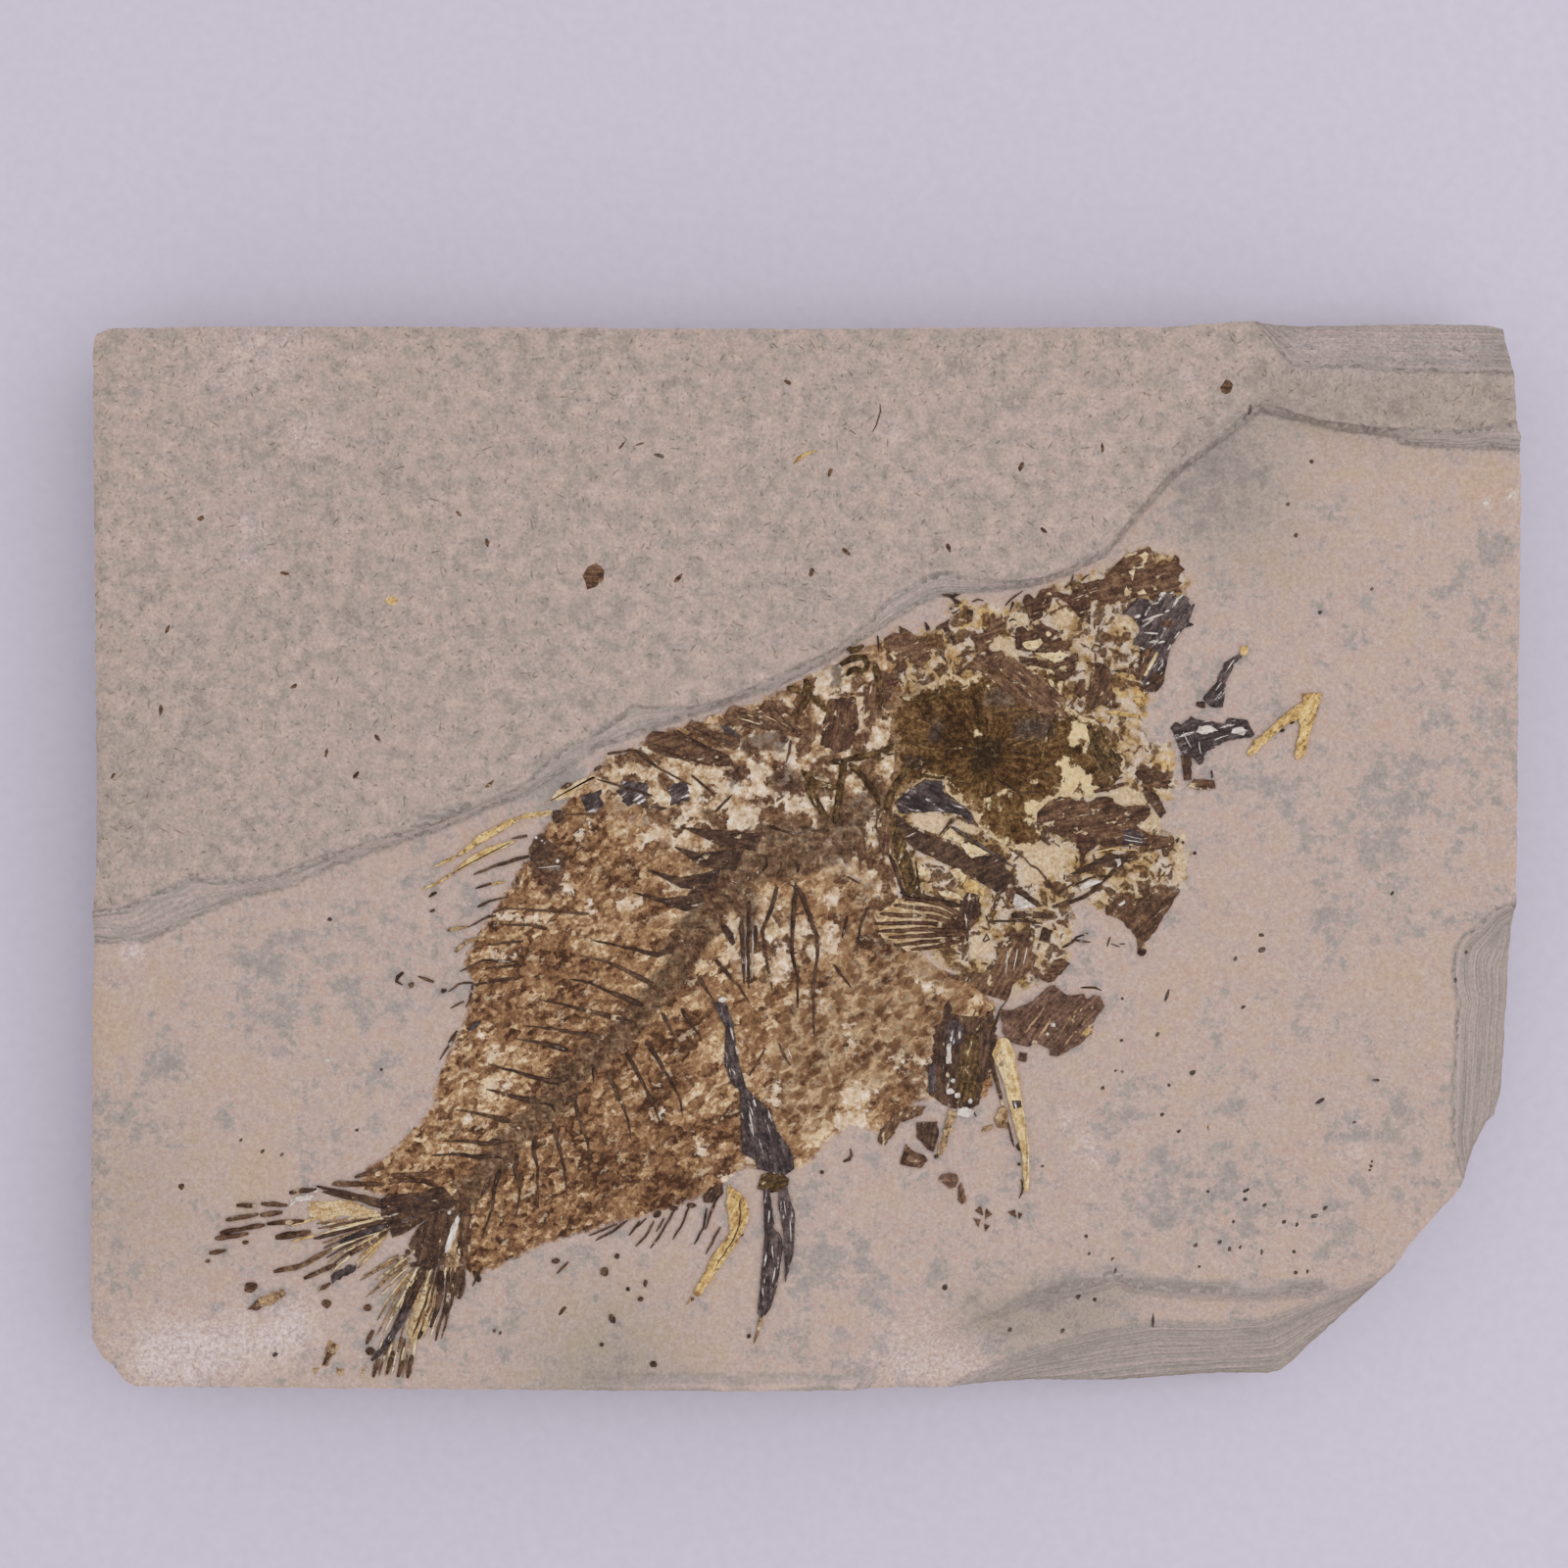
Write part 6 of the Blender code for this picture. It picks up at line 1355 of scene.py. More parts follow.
lower_rays += flats(RAY_FILM, 68, (34.1,10.9, 34.7,10, 34.4,7.2, 33.6,5, 32.2,3.8, 31.9,5.5, 32.7,8.3),
    (36,12.2, 37.2,11.8, 37,10.2, 36,10), (35.2,18.9, 36.6,18.9, 37.3,20, 36,20.2), top=12.94, rough=.14)
lower_rays += flats(TAN, 60, (23.9,4.4, 24.8,3.8, 23.8,1.9, 23,1.8), (24.6,1.6, 25.4,1.4, 25.2,.9, 24.6,1),
    (22.2,1.6, 22.8,1.6, 22.4,1), top=12.92, rough=.16)
lower_rays += flats(DARK, 75, (32,14.4, 33,16, 34,17, 35,17.6, 37.2,17.8, 35.9,14.6, 35.6,12.2, 34,11.6,
    33.3,11.8), (36.7,8.9, 37.4,8.7, 37.9,10, 37.8,12, 36.9,12, 36.6,10.4), spot(31.9, 13.5, .5), (32.2,12,
    33.2,12.1, 33.1,12.5, 32.3,12.4), spot(28.1, 3.3, .9, .8), spot(39, 11, .6, 1.4, 30))
lower_rays += flats(BROWN, 80, (36.9,12.6, 38.2,12, 38.5,15, 38.3,19, 37.2,19.6, 37.3,17.4))
lower_rays += flats(TAN, 80, (35.6,12, 37.2,11.8, 37.6,15, 37.4,17.4, 35.8,13.6), top=12.98)
lower_rays += flats(WHITE, 80, spot(36.2, 17.6, .45), (35.7,13.4, 36.2,13.6, 36.8,15, 37.3,17, 37,17.3,
    36.2,15.6), top=13.11)
gather("tail_fin_lower_lobe", lower_rays, "dark_bone", "tail_fin_lower")


# ---------------------------------------------------------------- the fin of the back
dorsal = flats(YELLOW, 30, (36.9,54.1, 39.3,56.3, 42.6,58, 43.4,57.8, 37.8,54.4), (36.3,52.2, 38,53.8,
    40,54.9, 42,55.6, 43,55.6))
dorsal += bones(YELLOW, (.4, .2), (37,54.1, 35.6,53.5, 34.5,53), (36.5,52.3, 35,51.4, 33.4,50.6), (43,58,
    45,58.4, 47,58.6), (40.5,51.2, 42,51.5))
dorsal += flats(RAY_FILM, 25, (46,59.6, 48,59.9, 51.5,62.5, 49.6,62, 47.2,60.8), (43.4,57.9, 46.6,58.2,
    46.8,58.8, 44,58.5), top=12.92, rough=.15)
dorsal += bones(DARK, (.5, .25), (44.4,54.1, 41.4,53.3, 38.7,52.2), (40.5,51.3, 38.9,50.8), (34.9,50.4,
    34.1,49.9), (34.7,48.6, 34.2,48.4), (44.2,56.2, 42.6,55.9), (34.6,41.2, 33,41.8), (31.5,42.2, 30.6,41.4,
    31.4,40.9))
dorsal += flats(DARK, 40, (44.4,54.9, 44.9,55.9, 45.5,56.4, 46.9,55.2, 46.5,54.2, 45.6,53.6, 44.6,53.8),
    box_patch(46.8, 47.8, 57.6, 58.8), spot(48.2, 61.3, 1.3, .6, 20), spot(51.4, 63.1, .9, .5, 30),
    spot(32.3, 40.9, .6))
dorsal += flats(WHITE, 0, spot(45.1, 56, .35), spot(47.3, 53.6, .4), spot(45.7, 55.7, .25), top=13.13)
gather("back_fin_spines", dorsal, "yellow_bone", "dorsal_fin")

front_blade = flats(BROWN, 25, (64,67.4, 64.8,69.3, 65.3,69.6, 67.3,69, 68,69.2, 68.5,70.1, 69.3,70,
    71.3,68.3, 72.6,66.5, 72.5,66.2, 66.3,67.5))
front_blade += bones(DARK, (.26, .12), (71.6,66.8, 69.4,68.2, 68.8,69.6), (70.4,66.9, 67.4,68.4, 65.4,69.1),
    (69,67.1, 66.4,68, 64.6,68.6), (72.3,66.5, 70.6,67.9, 69.2,69.7), axis=13.12)
front_blade += bones(CREAM, (.2, .1), (70.8,67.4, 68.4,68.6), (68.2,67.6, 65.6,68.3), axis=13.12)
gather("nape_blade_front_fan", front_blade, "red_brown_bone", "nape_blade_front")

middle_blade = flats(BROWN, 20, (60.3,67.2, 61,68.1, 63.2,67, 66,66.2, 65.9,65.4, 65.5,64.9, 61.6,66.4))
middle_blade += bones(DARK, (.3, .15), (65.6,65.4, 63,66.4, 60.7,67.5), (59.5,67, 62,65.6, 65,64.3),
    axis=13.1)
gather("nape_blade_middle_bone", middle_blade, "red_brown_bone", "nape_blade_middle")

rear_blade = flats(BROWN, 18, (56.4,66.4, 57.1,66.9, 60,66.7, 65,64.2, 65.5,63.3, 63.5,63.3, 58,64.4,
    56.5,65.2))
rear_blade += bones(DARK, (.3, .15), (64.9,63.7, 61,64.6, 57,65.6), (64.6,64.3, 61,65.8, 57.6,66.5),
    (62.4,63.6, 59,64.6, 56.8,65.2), axis=13.1)
gather("nape_blade_rear_bone", rear_blade, "red_brown_bone", "nape_blade_rear")


# ---------------------------------------------------------------- the fins of the belly
anal_rays = bones(DARK, (.3, .22), (54.5,16.8, 53,15.7, 51.2,14.7), (53.4,16.4, 50.5,15.2), (55.7,16.7,
    54.6,15.2), (57.2,16.7, 56.5,15.3, 55.3,14.1), (59.5,18.1, 59,17.4, 58,15.5, 56.8,13.9), (60.8,18.2,
    60,16.3, 59.1,14.8), (62.6,18, 62.2,16, 61.3,14.3), (63.5,18.8, 62.4,15.8), (64,16.1, 62.5,13.3),
    (56.4,17, 55.2,15.9), (58.2,17, 57.4,15.6))
anal_rays += flats(DARK, 60, spot(59.2, 18, .9, .5), spot(57.5, 17.4, 1, .7, 30), spot(61, 18.3, 1, .5),
    (62.2,18.7, 63.4,18.5, 64.3,19.6, 64.2,20.5, 63,20.2, 62.3,19.4), spot(52.1, 11.5, .9, 1, 20), spot(53.4,
    13.1, .5), spot(55.8, 8.7, .6, .5), spot(56.3, 10.3, .4, .7), spot(54.5, 9.7, .4), spot(52.9, 6.7, .6, 1,
    20), spot(51.8, 4, .4), spot(57.1, 2, .8, .6), spot(47.1, 12.6, .9, .5))
anal_rays += bones(DARK, (.35, .25), (48.4,12.5, 47.2,11.3), (39.5,11.9, 38.6,10))
gather("anal_fin_rays", anal_rays, "dark_bone", "anal_fin")

rear_spine = flats(YELLOW, 65, (64.8,20.5, 66,19.6, 66.8,18.5, 66.9,17, 65.8,14.6, 61.8,9, 61.2,9.3, 61.5,10,
    62.5,11.5, 62.9,12.8, 65,15.5, 64.6,18.6), top=13.12)
rear_spine += bones(DARK, (.2, .12), (66,19, 66,16.6, 65.4,15, 63.6,12.2), axis=13.15)
rear_spine += flats(DARK, 0, spot(61.1, 8.7, .4), spot(66.1, 15.3, .5, .35))
rear_spine += bones(YELLOW, (.25, .1), (61.2,9, 60.5,8.1))
gather("anal_spine_rear_bone", rear_spine, "yellow_bone", "anal_spine_rear")

long_spine = flats(SLATE, 85, (68.4,20, 68.5,15, 67.8,7.1, 68.6,7, 69.2,8, 69.8,10, 70.4,14, 70.2,15.2,
    69.3,16.1, 69.5,16.5, 69,20), top=13.16, rough=.05)
long_spine += bones(WHITE, (.22, .12), (68.3,9.9, 68.4,9), (69.3,14.2, 69.4,12.9), (69,17.8, 68.9,16.6),
    (69.6,12, 69.3,10.4), axis=13.18)
long_spine += bones(TAN, (.6, .4, .2), (68.2,7, 67.9,5.6, 67.4,4.1), axis=12.98)
long_spine += flats(DARK, 0, spot(66.9, 4.9, .4))
gather("anal_spine_long_bone", long_spine, "slate_bone", "anal_spine_long")

front_spine = flats(SLATE, 85, (70,20, 70.8,20.4, 71.7,17, 71.5,13.5, 70.6,10.4, 70.5,15, 69.9,18.5),
    top=13.14, rough=.05)
front_spine += bones(WHITE, (.18, .1), (71.1,16.8, 71.2,14.6), (70.5,18.8, 70.7,17.4), axis=13.17)
gather("anal_spine_front_bone", front_spine, "slate_bone", "anal_spine_front")

pelvic_spine = flats(GOLD, -78, (92.4,35.4, 93.4,35.5, 94.1,34, 95.6,24.5, 95.6,19.8, 95.1,19.8, 94.9,23.5,
    93,31, 91.8,33.8), top=13.15, rough=.05)
pelvic_spine += flats(SLATE, -78, (93.8,29.2, 94.8,29.1, 94.9,28.3, 93.9,28.2), top=13.17)
pelvic_spine += flats(CREAM, -78, (92.1,33.6, 92.8,35, 93.4,34.8, 94,30.4, 93.4,30), top=13.15, rough=.04)
pelvic_spine += bones(TAN, (.14, .1), (95.3,26.6, 95.4,23.6, 95.3,20.8), axis=13.18)
gather("pelvic_spine_bone", pelvic_spine, "yellow_bone", "pelvic_spine")

pelvic_ray = bones(DARK, (.55, .22), (91.7,33.2, 94.1,24.3))
pelvic_ray += flats(DARK, -70, spot(94.6, 24.3, .6, .8), spot(94.6, 22.5, .3))
pelvic_ray += bones(DARK, (.24, .18), (94.8,21, 95,20, 94.6,19))
gather("pelvic_fin_ray", pelvic_ray, "dark_bone", "pelvic_ray")

girdle = flats(DARK, 80, (85.2,29.6, 86,36.6, 87.4,38, 90.4,37.6, 92,38.4, 92.4,34, 91,31, 90.6,28.6,
    88,28.2), top=12.97, rough=.2)
girdle += flats(OLIVE, 80, (88.2,28.9, 90,28.8, 90.6,31, 90.4,36, 89.2,35.8, 88.1,30.6), top=13, rough=.14)
girdle += flats(TAN, 70, (86.2,23.2, 86.9,23.8, 88.3,27.8, 87.4,28.2), (93.4,26.2, 93.5,28.2, 92.6,28.4,
    92.1,27.2, 92.4,26.2), (90.8,25.8, 91.8,26, 91.9,26.5, 91,26.4), rough=.12)
girdle += flats(BROWN, 60, (80.1,24.8, 80.4,26, 81.6,27.4, 83,28.3, 85,28.5, 84.6,27.6, 82.5,26.8,
    80.8,24.4))
girdle += flats(DARK, 80, (86.2,31, 86.9,31.1, 87,36.8, 86.5,36.6), (86.7,37.2, 87.2,37, 87.7,38.4,
    87.4,39.3, 86.9,38.6), (84.1,25.4, 84.1,26.8, 86.2,26.9, 86.4,25.6, 85.8,23.8, 85.2,24), spot(86.1, 23.3,
    .4))
girdle += flats(SLATE, 80, (87.1,34.8, 88.7,34.9, 88.9,36.6, 88.2,37.5, 87.2,36.8), (85.2,29.8, 86.1,30.2,
    86,33, 85.3,32.6))
girdle += flats(WHITE, 80, (87.1,32.8, 87.7,32.9, 87.6,35, 87.2,34.9), spot(87.5, 30, .9, .7), spot(88.3,
    29.6, .6), spot(87.8, 31.1, .5), spot(89.6, 29, .5), (88.2,27.5, 89.6,27.3, 90,28, 89.2,28.4, 88.4,28.2),
    spot(88.5, 35.8, .3, .9), top=13.11)
girdle += bones(OLIVE, (.3, .14), (90,36, 91,37.2, 92.2,38.6), (90.2,36.6, 91.6,36.6, 92.2,37.4), (90.4,37.4,
    90.9,38.8), (89.6,36.8, 90.2,38.4), (92,36.4, 92.6,38.3, 93.3,39.2))
girdle += bones(DARK, (.28, .2), (90.2,27.4, 89.6,28.6), (81,25, 81.9,25.8), (88.3,34.6, 88,31.4))
gather("pelvic_girdle_bones", girdle, "olive_bone", "pelvic_girdle")

pectoral = flats(RAY_FILM, 2, (80,48.4, 82.8,50, 88.6,49, 89.2,45.6, 86,44.4, 83,44.4, 80.2,46.2), top=12.97,
    rough=.2)
pectoral += bones(BROWN, (.6, .44), (89,47.8, 86.6,49.2, 82.6,49.9), (89,47.4, 86,48.6, 81.7,49.1), (89,47,
    85.6,47.9, 80.3,48.2), (89.1,46.7, 85,47.3, 79.8,47.2), (89.1,46.4, 85,46.6, 80.2,46.4), (89.1,46.1,
    85.4,46, 81.2,45.8), (89.1,45.8, 86,45.4, 81.8,45), (89,45.6, 86.6,44.9, 83.5,44.5), axis=13)
pectoral += bones(DARK, (.6, .4), (88.8,49.2, 89.2,47.6, 89.3,45.4), (88.6,49, 85,49.9, 82.4,50.4))
pectoral += flats(DARK, 80, (88.5,47.8, 89.6,47.6, 90.7,48.2, 90.6,50.2, 89.4,50.5, 88.6,49.6))
gather("pectoral_fin_rays", pectoral, "dark_bone", "pectoral_fin")


# ---------------------------------------------------------------- the head
CREAM_CRUST = groups(2, 79.2,75, 80.2,76.6, 81.5,77, 82.5,77.8, 84,77.6, 86.6,78.5, 86.8,80.9, 88.2,81.1,
    93,80.4, 100.8,83.6, 102.5,84, 106,86, 107.8,86.6, 110.6,85.7, 112.6,82.8, 112.9,81.3, 112.2,80.5,
    112,78, 110.2,76, 109,70.8, 108,68, 108.6,66.6, 110.8,66.4, 111.6,63.6, 111.4,60, 109.6,59.2, 110,57.2,
    112.4,57, 112.7,54, 112.4,51.2, 109.2,47, 107.8,44, 106.4,44, 105.4,46.6, 101,49, 101,46.6, 100.2,43.6,
    98.4,41, 92.4,38.6, 91,40.2, 88.6,41, 86,42.6, 83.6,45, 82,49.4, 80.6,52, 79.6,55, 79.4,58, 80.4,61,
    81,68, 80,72)
YELLOWER = groups(4, 89.5,78,3.4,.9, 107,71,3,.9, 110.5,63,3,.9, 103,83,3,.3, 84,76,3,.4, 98,53,4,.3,
    92,43,4,.2, 106,58,3,.2, 104,55,3,.5)
WHITE_PLACES = outlines((91.3,75.5, 92.6,76.8, 95,74.8, 94.3,73.6, 92.8,74.3), (93.3,77.2, 94.6,78,
    95.6,77.6, 95.6,78.8, 94.6,79.2, 93.4,78.4), (104.2,77.6, 106,77.6, 106,79, 104.6,79.2), (103.2,60.5,
    105.5,61.2, 107.3,60.7, 107.8,59.4, 105.2,59.2, 103.4,60), (106.7,56.6, 109.4,57, 109,58.4, 107.4,58.4),
    (110.2,51.2, 111.6,51.4, 112.4,56.6, 111,56.8), (94.2,50.4, 95.5,49.8, 96.6,48.9, 94.3,48.7), (95,51,
    98,52, 100.4,54, 97,56, 95,54.6), (83,58.3, 84.4,58.6, 87.6,58.3, 86.5,56.1, 84,57.2), (87.9,58,
    90.8,56.9, 90,56.2, 88.1,57), (89.4,43.2, 92,44.6, 91.8,46.4, 89.6,46), (96.6,43.4, 97.6,44.6, 98,47,
    96.8,47), (81.5,59.5, 82.3,59.5, 82.3,58.6, 81.8,58.9), (98.4,77.6, 99.8,77.8, 100.4,79, 99.2,79.6,
    98,78.8), (82.4,79.4, 84.4,79.2, 86,79.6, 84.4,80.2), (106.2,44.4, 108,44.2, 107.4,43.4))


def cream_crust():
    piece = sheet(CREAM_CRUST, FILM, 0.34, 12.9, FILM_BASE, 0.2, 23)
    points, heights = places(piece)
    pale, edge = deepest(points, WHITE_PLACES), depth_in(points, CREAM_CRUST)
    top = heights > 12.88
    lumps = 0.03 * unevenness(points, 1.6, 21.0) - 0.07 * np.clip(1 - edge / 0.9, 0, 1)
    put(piece, points, heights + np.where(top, lumps, 0))
    mark(piece, "bare", pale)
    mark(piece, "edge", edge)
    mark(piece, "dark", swell(points, YELLOWER))
    return piece


gather("cream_crust_under_the_head", [cream_crust()], "cream_bone", "skull_roof", "gill_bones")

SKULL_OUTLINE = groups(2, 82.2,69.8, 82.1,70.9, 82.5,71, 83.3,70.6, 83.9,70.9, 84,71.6, 84.3,71.8, 85,71.6,
    85.8,71.8, 86.1,71.5, 86.8,72.7, 87.4,73, 88.4,72.6, 89,71.9, 89.4,72.4, 90,72.4, 90.6,73, 90.8,73.9,
    94.2,73.3, 96,73.7, 98.6,73.4, 99.4,72.6, 98.9,70.6, 99.6,69.4, 101.3,68.3, 102.6,68, 104,65.3,
    105.3,64.2, 105.5,63.5, 104.7,62.2, 102.6,60.8, 102.4,60, 98.8,60.2, 97.6,59.8, 96.5,58.6, 97.2,56,
    96.4,54.9, 95.2,54.6, 93.8,54.8, 91,56.6, 90.3,57.4, 89.8,58.6, 87.2,60.6, 86.8,61.8, 84.9,62, 82,60.2,
    81.6,61.6, 82,64, 82,66, 81.3,66.8, 81.6,68.2, 81.3,68.6)
SKULL_GAPS = outlines((100.1,68, 101.3,67.7, 102.5,66.4, 102.3,66, 100.9,66.1, 100.2,65.2, 99.6,65.9),
    (101.1,65.6, 101.9,65.9, 102,65.2, 101.2,64.7), (98.2,63.5, 99.3,64.3, 100.1,64.2, 99.7,63.7, 100,63.2,
    100.7,63.6, 101.4,62.6, 102,62.3, 102.4,60.5, 101.9,59.8, 101.5,59.5, 100.9,59.8, 101.3,60.3, 100.8,61.7,
    99.7,60.1, 98.8,60.7, 98.3,61.2, 98.9,61.3, 99.1,63.2), (95.9,62.2, 96.6,61.9, 95.9,61.6), (92.2,60.4,
    93.2,61, 93.4,60.9, 92.4,60.2), (93.4,61.2, 93.6,61.1, 93.9,60, 93.6,60.1), (95.2,59.6, 96,59.8,
    96.7,59.5, 95.6,58.4, 95.2,58.7), (91,59.8, 91.6,60, 91.5,59.6, 91,59.5), spot(91.4, 59.1, .3),
    (92.3,59.3, 93,59, 92.6,58.8), (87.6,60, 88.4,60, 88.3,59.7, 87.6,59.7), (95.1,57.8, 95.6,58, 96,57.9,
    95.6,57.4), (89.9,66.9, 90.3,67.1, 90.6,66.5, 90.1,66.4), (91.2,71.8, 91.9,71.7, 91.5,71.2), (97.1,71.6,
    97.5,72.1, 98,72.1, 98.3,71.7, 97.7,71.2), (95.1,73.2, 97.4,72.2, 96.8,72.1))
EYE = groups(2, 90.1,66, 91,66.3, 93,65.8, 93.2,65.3, 92.1,63.9, 91.8,63, 90.2,62.5, 89.7,63, 89.6,63.8,
    90,64.6, 89.9,65.3)
SLATE_PLACES = outlines((91,69.6, 93,69.2, 94.5,70, 94.4,71.4, 92.6,71.5, 91.2,71), (94,66.2, 96,66, 98,66.6,
    98,68.4, 96,68.5, 94.2,68), (96.2,57.2, 99,57, 100,58.4, 99.4,59.6, 97.4,59.4), (103,62, 104.8,62.4,
    105.4,63.5, 104.4,64.6, 103.2,64.2), (83,63, 84.6,63.4, 84.6,64.4, 83.4,64.4), (85.4,66, 86.8,66.4,
    86.6,68, 85.4,67.6))
DARKER_SKULL = groups(4, 88,67.5,2.6,.9, 91,64.5,2.8,.6, 95,63.8,2.4,.5, 86,70,2.4,.4, 97,70,2.6,.3,
    89.4,59.2,1.6,-.7, 93,58.6,2,-.3, 84,67.6,2,-.3, 95,71.6,2,-.3, 101,63.6,2,.2, 85,63.6,1.8,.3,
    93,61.8,1.6,.3)


def skull():
    piece = sheet(SKULL_OUTLINE, SKULL, 0.22, 13.02, FILM_BASE, 0.12, 29)
    points, heights = places(piece)
    bare, edge = deepest(points, SKULL_GAPS), depth_in(points, SKULL_OUTLINE)
    from_eye = points - np.array((91.4, 64.4))
    away, around = np.hypot(*from_eye.T), np.arctan2(from_eye[:, 1], from_eye[:, 0])
    top = heights > 13.0
    lumps = 0.045 * unevenness(points, 1.3, 31.0) + 0.03 * unevenness(points, 0.5, 33.0)
    lumps = lumps - 0.09 * np.clip(bare * 3 + 0.5, 0, 1) - 0.06 * np.clip(1 - edge / 0.5, 0, 1)
    put(piece, points, heights + np.where(top, lumps, 0))
    mark(piece, "edge", edge)
    mark_grain(piece, away, around * 5.0, 0.5)
    mark(piece, "bare", bare)
    mark(piece, "black", deepest(points, [EYE]))
    mark(piece, "slate", deepest(points, SLATE_PLACES))
    mark(piece, "dark", swell(points, DARKER_SKULL))
    return piece


skull_parts = [skull()]
skull_parts += bones(OLIVE, (.4, .2), (82.4,70.4, 84.6,70, 87,70.8, 89.4,71.6), (83,66, 85.6,65, 88.8,65.2),
    (84.4,62.4, 87.4,62, 90,61.6), (90.8,73.4, 93.4,72.4, 96.6,70.8), (99,69.6, 97.4,66.4, 96.8,63.6),
    (94.6,61.4, 96.4,62.8, 98.2,62.4), (104.6,63.8, 102.8,64.4, 102.2,63.2), axis=13.04)
skull_parts += bones(DARK, (.26, .12), (93.4,65.4, 95.4,64.4, 97.6,64.8), (84.6,68.8, 86.4,66.8, 87.4,64),
    (91.8,68.6, 94.6,69, 97.6,68.8), (92.4,62, 94.6,60.6, 97.4,60.8), axis=13.05)
skull_parts += flats(BROWN, -40, (89.5,73.5, 91,75.4, 93,75, 97.2,72.4, 99.4,70.2, 99.3,68, 97.5,68.2),
    top=13.04, rough=.18)
skull_parts += flats(OLIVE, -60, (101.6,68, 103.2,67.4, 103.6,65.8, 105.2,64, 105,62.4, 103.6,60.8, 102,61.4,
    102.4,63.4, 101.8,65), top=13.04, rough=.16)
gather("skull_bones", skull_parts, "olive_bone", "skull")

# Broken bones over the top of the head.
roof = flats(BROWN, 20, (80.7,76.4, 81.7,77, 82.4,76.9, 82.3,77.7, 83.6,77, 83.9,76.5, 83.5,76.2, 84.1,76.1,
    84.2,76.7, 85,76.6, 85,76.1, 85.8,75.7, 85.4,74.9, 85.6,74.3, 85,73.9, 84.8,73.4, 83.4,74, 83.3,74.5,
    82.5,73.9, 81.6,73.9, 81.1,74.2, 80.9,74.8, 81.3,75, 80.8,75.5), (80.1,73.9, 80.3,73.1, 81,73.1,
    81.3,72.7, 82.2,73.9, 82.9,74.1, 83.2,73.7, 82.9,73.1, 82.2,72.9, 82.3,72.1, 82,71.4, 80.2,68.9, 80,69.3,
    80.3,70.4, 80.2,72.4, 79.9,72.9), rough=.05, worn=.09)
roof += flats(BROWN, 20, (89.5,76.7, 90.9,77, 91.5,77.6, 91.5,78.5, 91.9,78.9, 92.2,78.4, 92.9,78.7,
    92.8,78.2, 93.2,78, 91.2,75.4, 94,73.7, 93.6,73.2, 90.8,73.7, 90.3,74.2, 90,76), (95,80.2, 95.2,80.9,
    95.6,81, 96.2,80.4, 96.8,81.4, 98.1,81.7, 98.2,82, 98.4,81.3, 99.2,81, 99.9,80.9, 100.3,81.5, 100.8,81.5,
    101.1,80.9, 101.6,81.3, 101.9,81, 101.9,77.9, 100.7,78.6, 99.8,79.9, 98.5,80.7, 98,80.6, 97.7,79.5,
    97.1,79.3, 96.9,78, 98.5,77.2, 99.4,75.5, 99.9,75.2, 99,74.9, 95.2,75.1, 94.2,75.4, 94.3,77.5, 94.9,77.7,
    95.5,77.2, 96.1,77.3), (94.6,74.6, 98.3,73.9, 99,74, 100.3,75, 100.6,74.9, 100.7,74.1, 100.3,74,
    100.3,72.9, 99.2,72, 98.6,72.2, 98,73.2, 94.8,73.9), rough=.05, worn=.09)
roof += flats(CREAM, 10, (94.9,76, 96.7,76.4, 97,76, 96.6,75.5, 95.8,75.2, 95.1,75.5), (96.2,74.9, 98.3,73.9,
    99.7,74.7, 98.9,75), spot(97.6, 76.85, .55), (81.3,74.9, 81.5,75, 82,74.4, 81.8,74.2), top=13.15)
roof += flats(DARK, 20, (86.1,77.6, 87.5,78.4, 87.3,77.9, 87.5,77.2, 87,77, 86.8,77.5, 86.2,77.3),
    (89.4,79.4, 89.9,79.3, 89.8,78.2, 89.2,77.9), (84.9,78.1, 85.2,78, 85.5,77.2, 85.1,77.2), (87.6,76.6,
    87.9,76.6, 88.1,76.1, 87.9,75.8), spot(87.6, 79.5, .3), (86.7,80.9, 88.7,81, 88,80.6, 88.8,80, 88,80,
    87.7,80.5), (93.9,80.2, 94.1,80, 93.6,79.1), rough=.04, worn=.07)
roof += bones(DARK, (.3, .16), (87.7,79, 88.3,79.2, 88.6,79.5), (89.8,80.2, 90.4,80.4, 91,80.3), (93.2,79.8,
    93.6,80.3, 94.2,80.8, 95,81.3), (93.6,78.2, 94,78.4, 94.3,78.3), (86.6,74.8, 86.9,74.5, 87.3,73.8),
    (86,73, 86.6,73.4, 87.3,73.8), (80.1,76.7, 80.2,75.1), (99.3,81.6, 100.4,82.4), (101,82.4, 101.8,83),
    (99.9,81.8, 100.2,83))
roof += bones(BROWN, (.5, .22), (90,75.1, 89.3,75, 88.2,74.5), (90.4,74.2, 89.4,73.6, 88.3,72.6))
roof += bones(BROWN, (.3, .24), (102,75.2, 102.3,75.8, 102.9,75.7, 103,75.1, 102.6,74.9, 102.1,75.1),
    (102.4,74.9, 102.4,74.1))
roof += flats(BROWN, 60, (102.3,74, 103,73.9, 103.9,73.3, 104.1,71, 104.5,70.7, 104.5,69.8, 105,69.5,
    104.6,69.3, 103,69.6, 102.1,69.1, 100.2,70.9, 100.8,72.2, 101.3,72.3, 101.4,71.5, 101.8,71.2, 101.9,72.7,
    102.4,73.3), (103.9,73.1, 106,73.4, 106.1,74, 106.4,73.4, 107.1,73.3, 107.3,72.6, 106.8,72.2, 106.4,72.7,
    105.8,72.9), rough=.05, worn=.09)
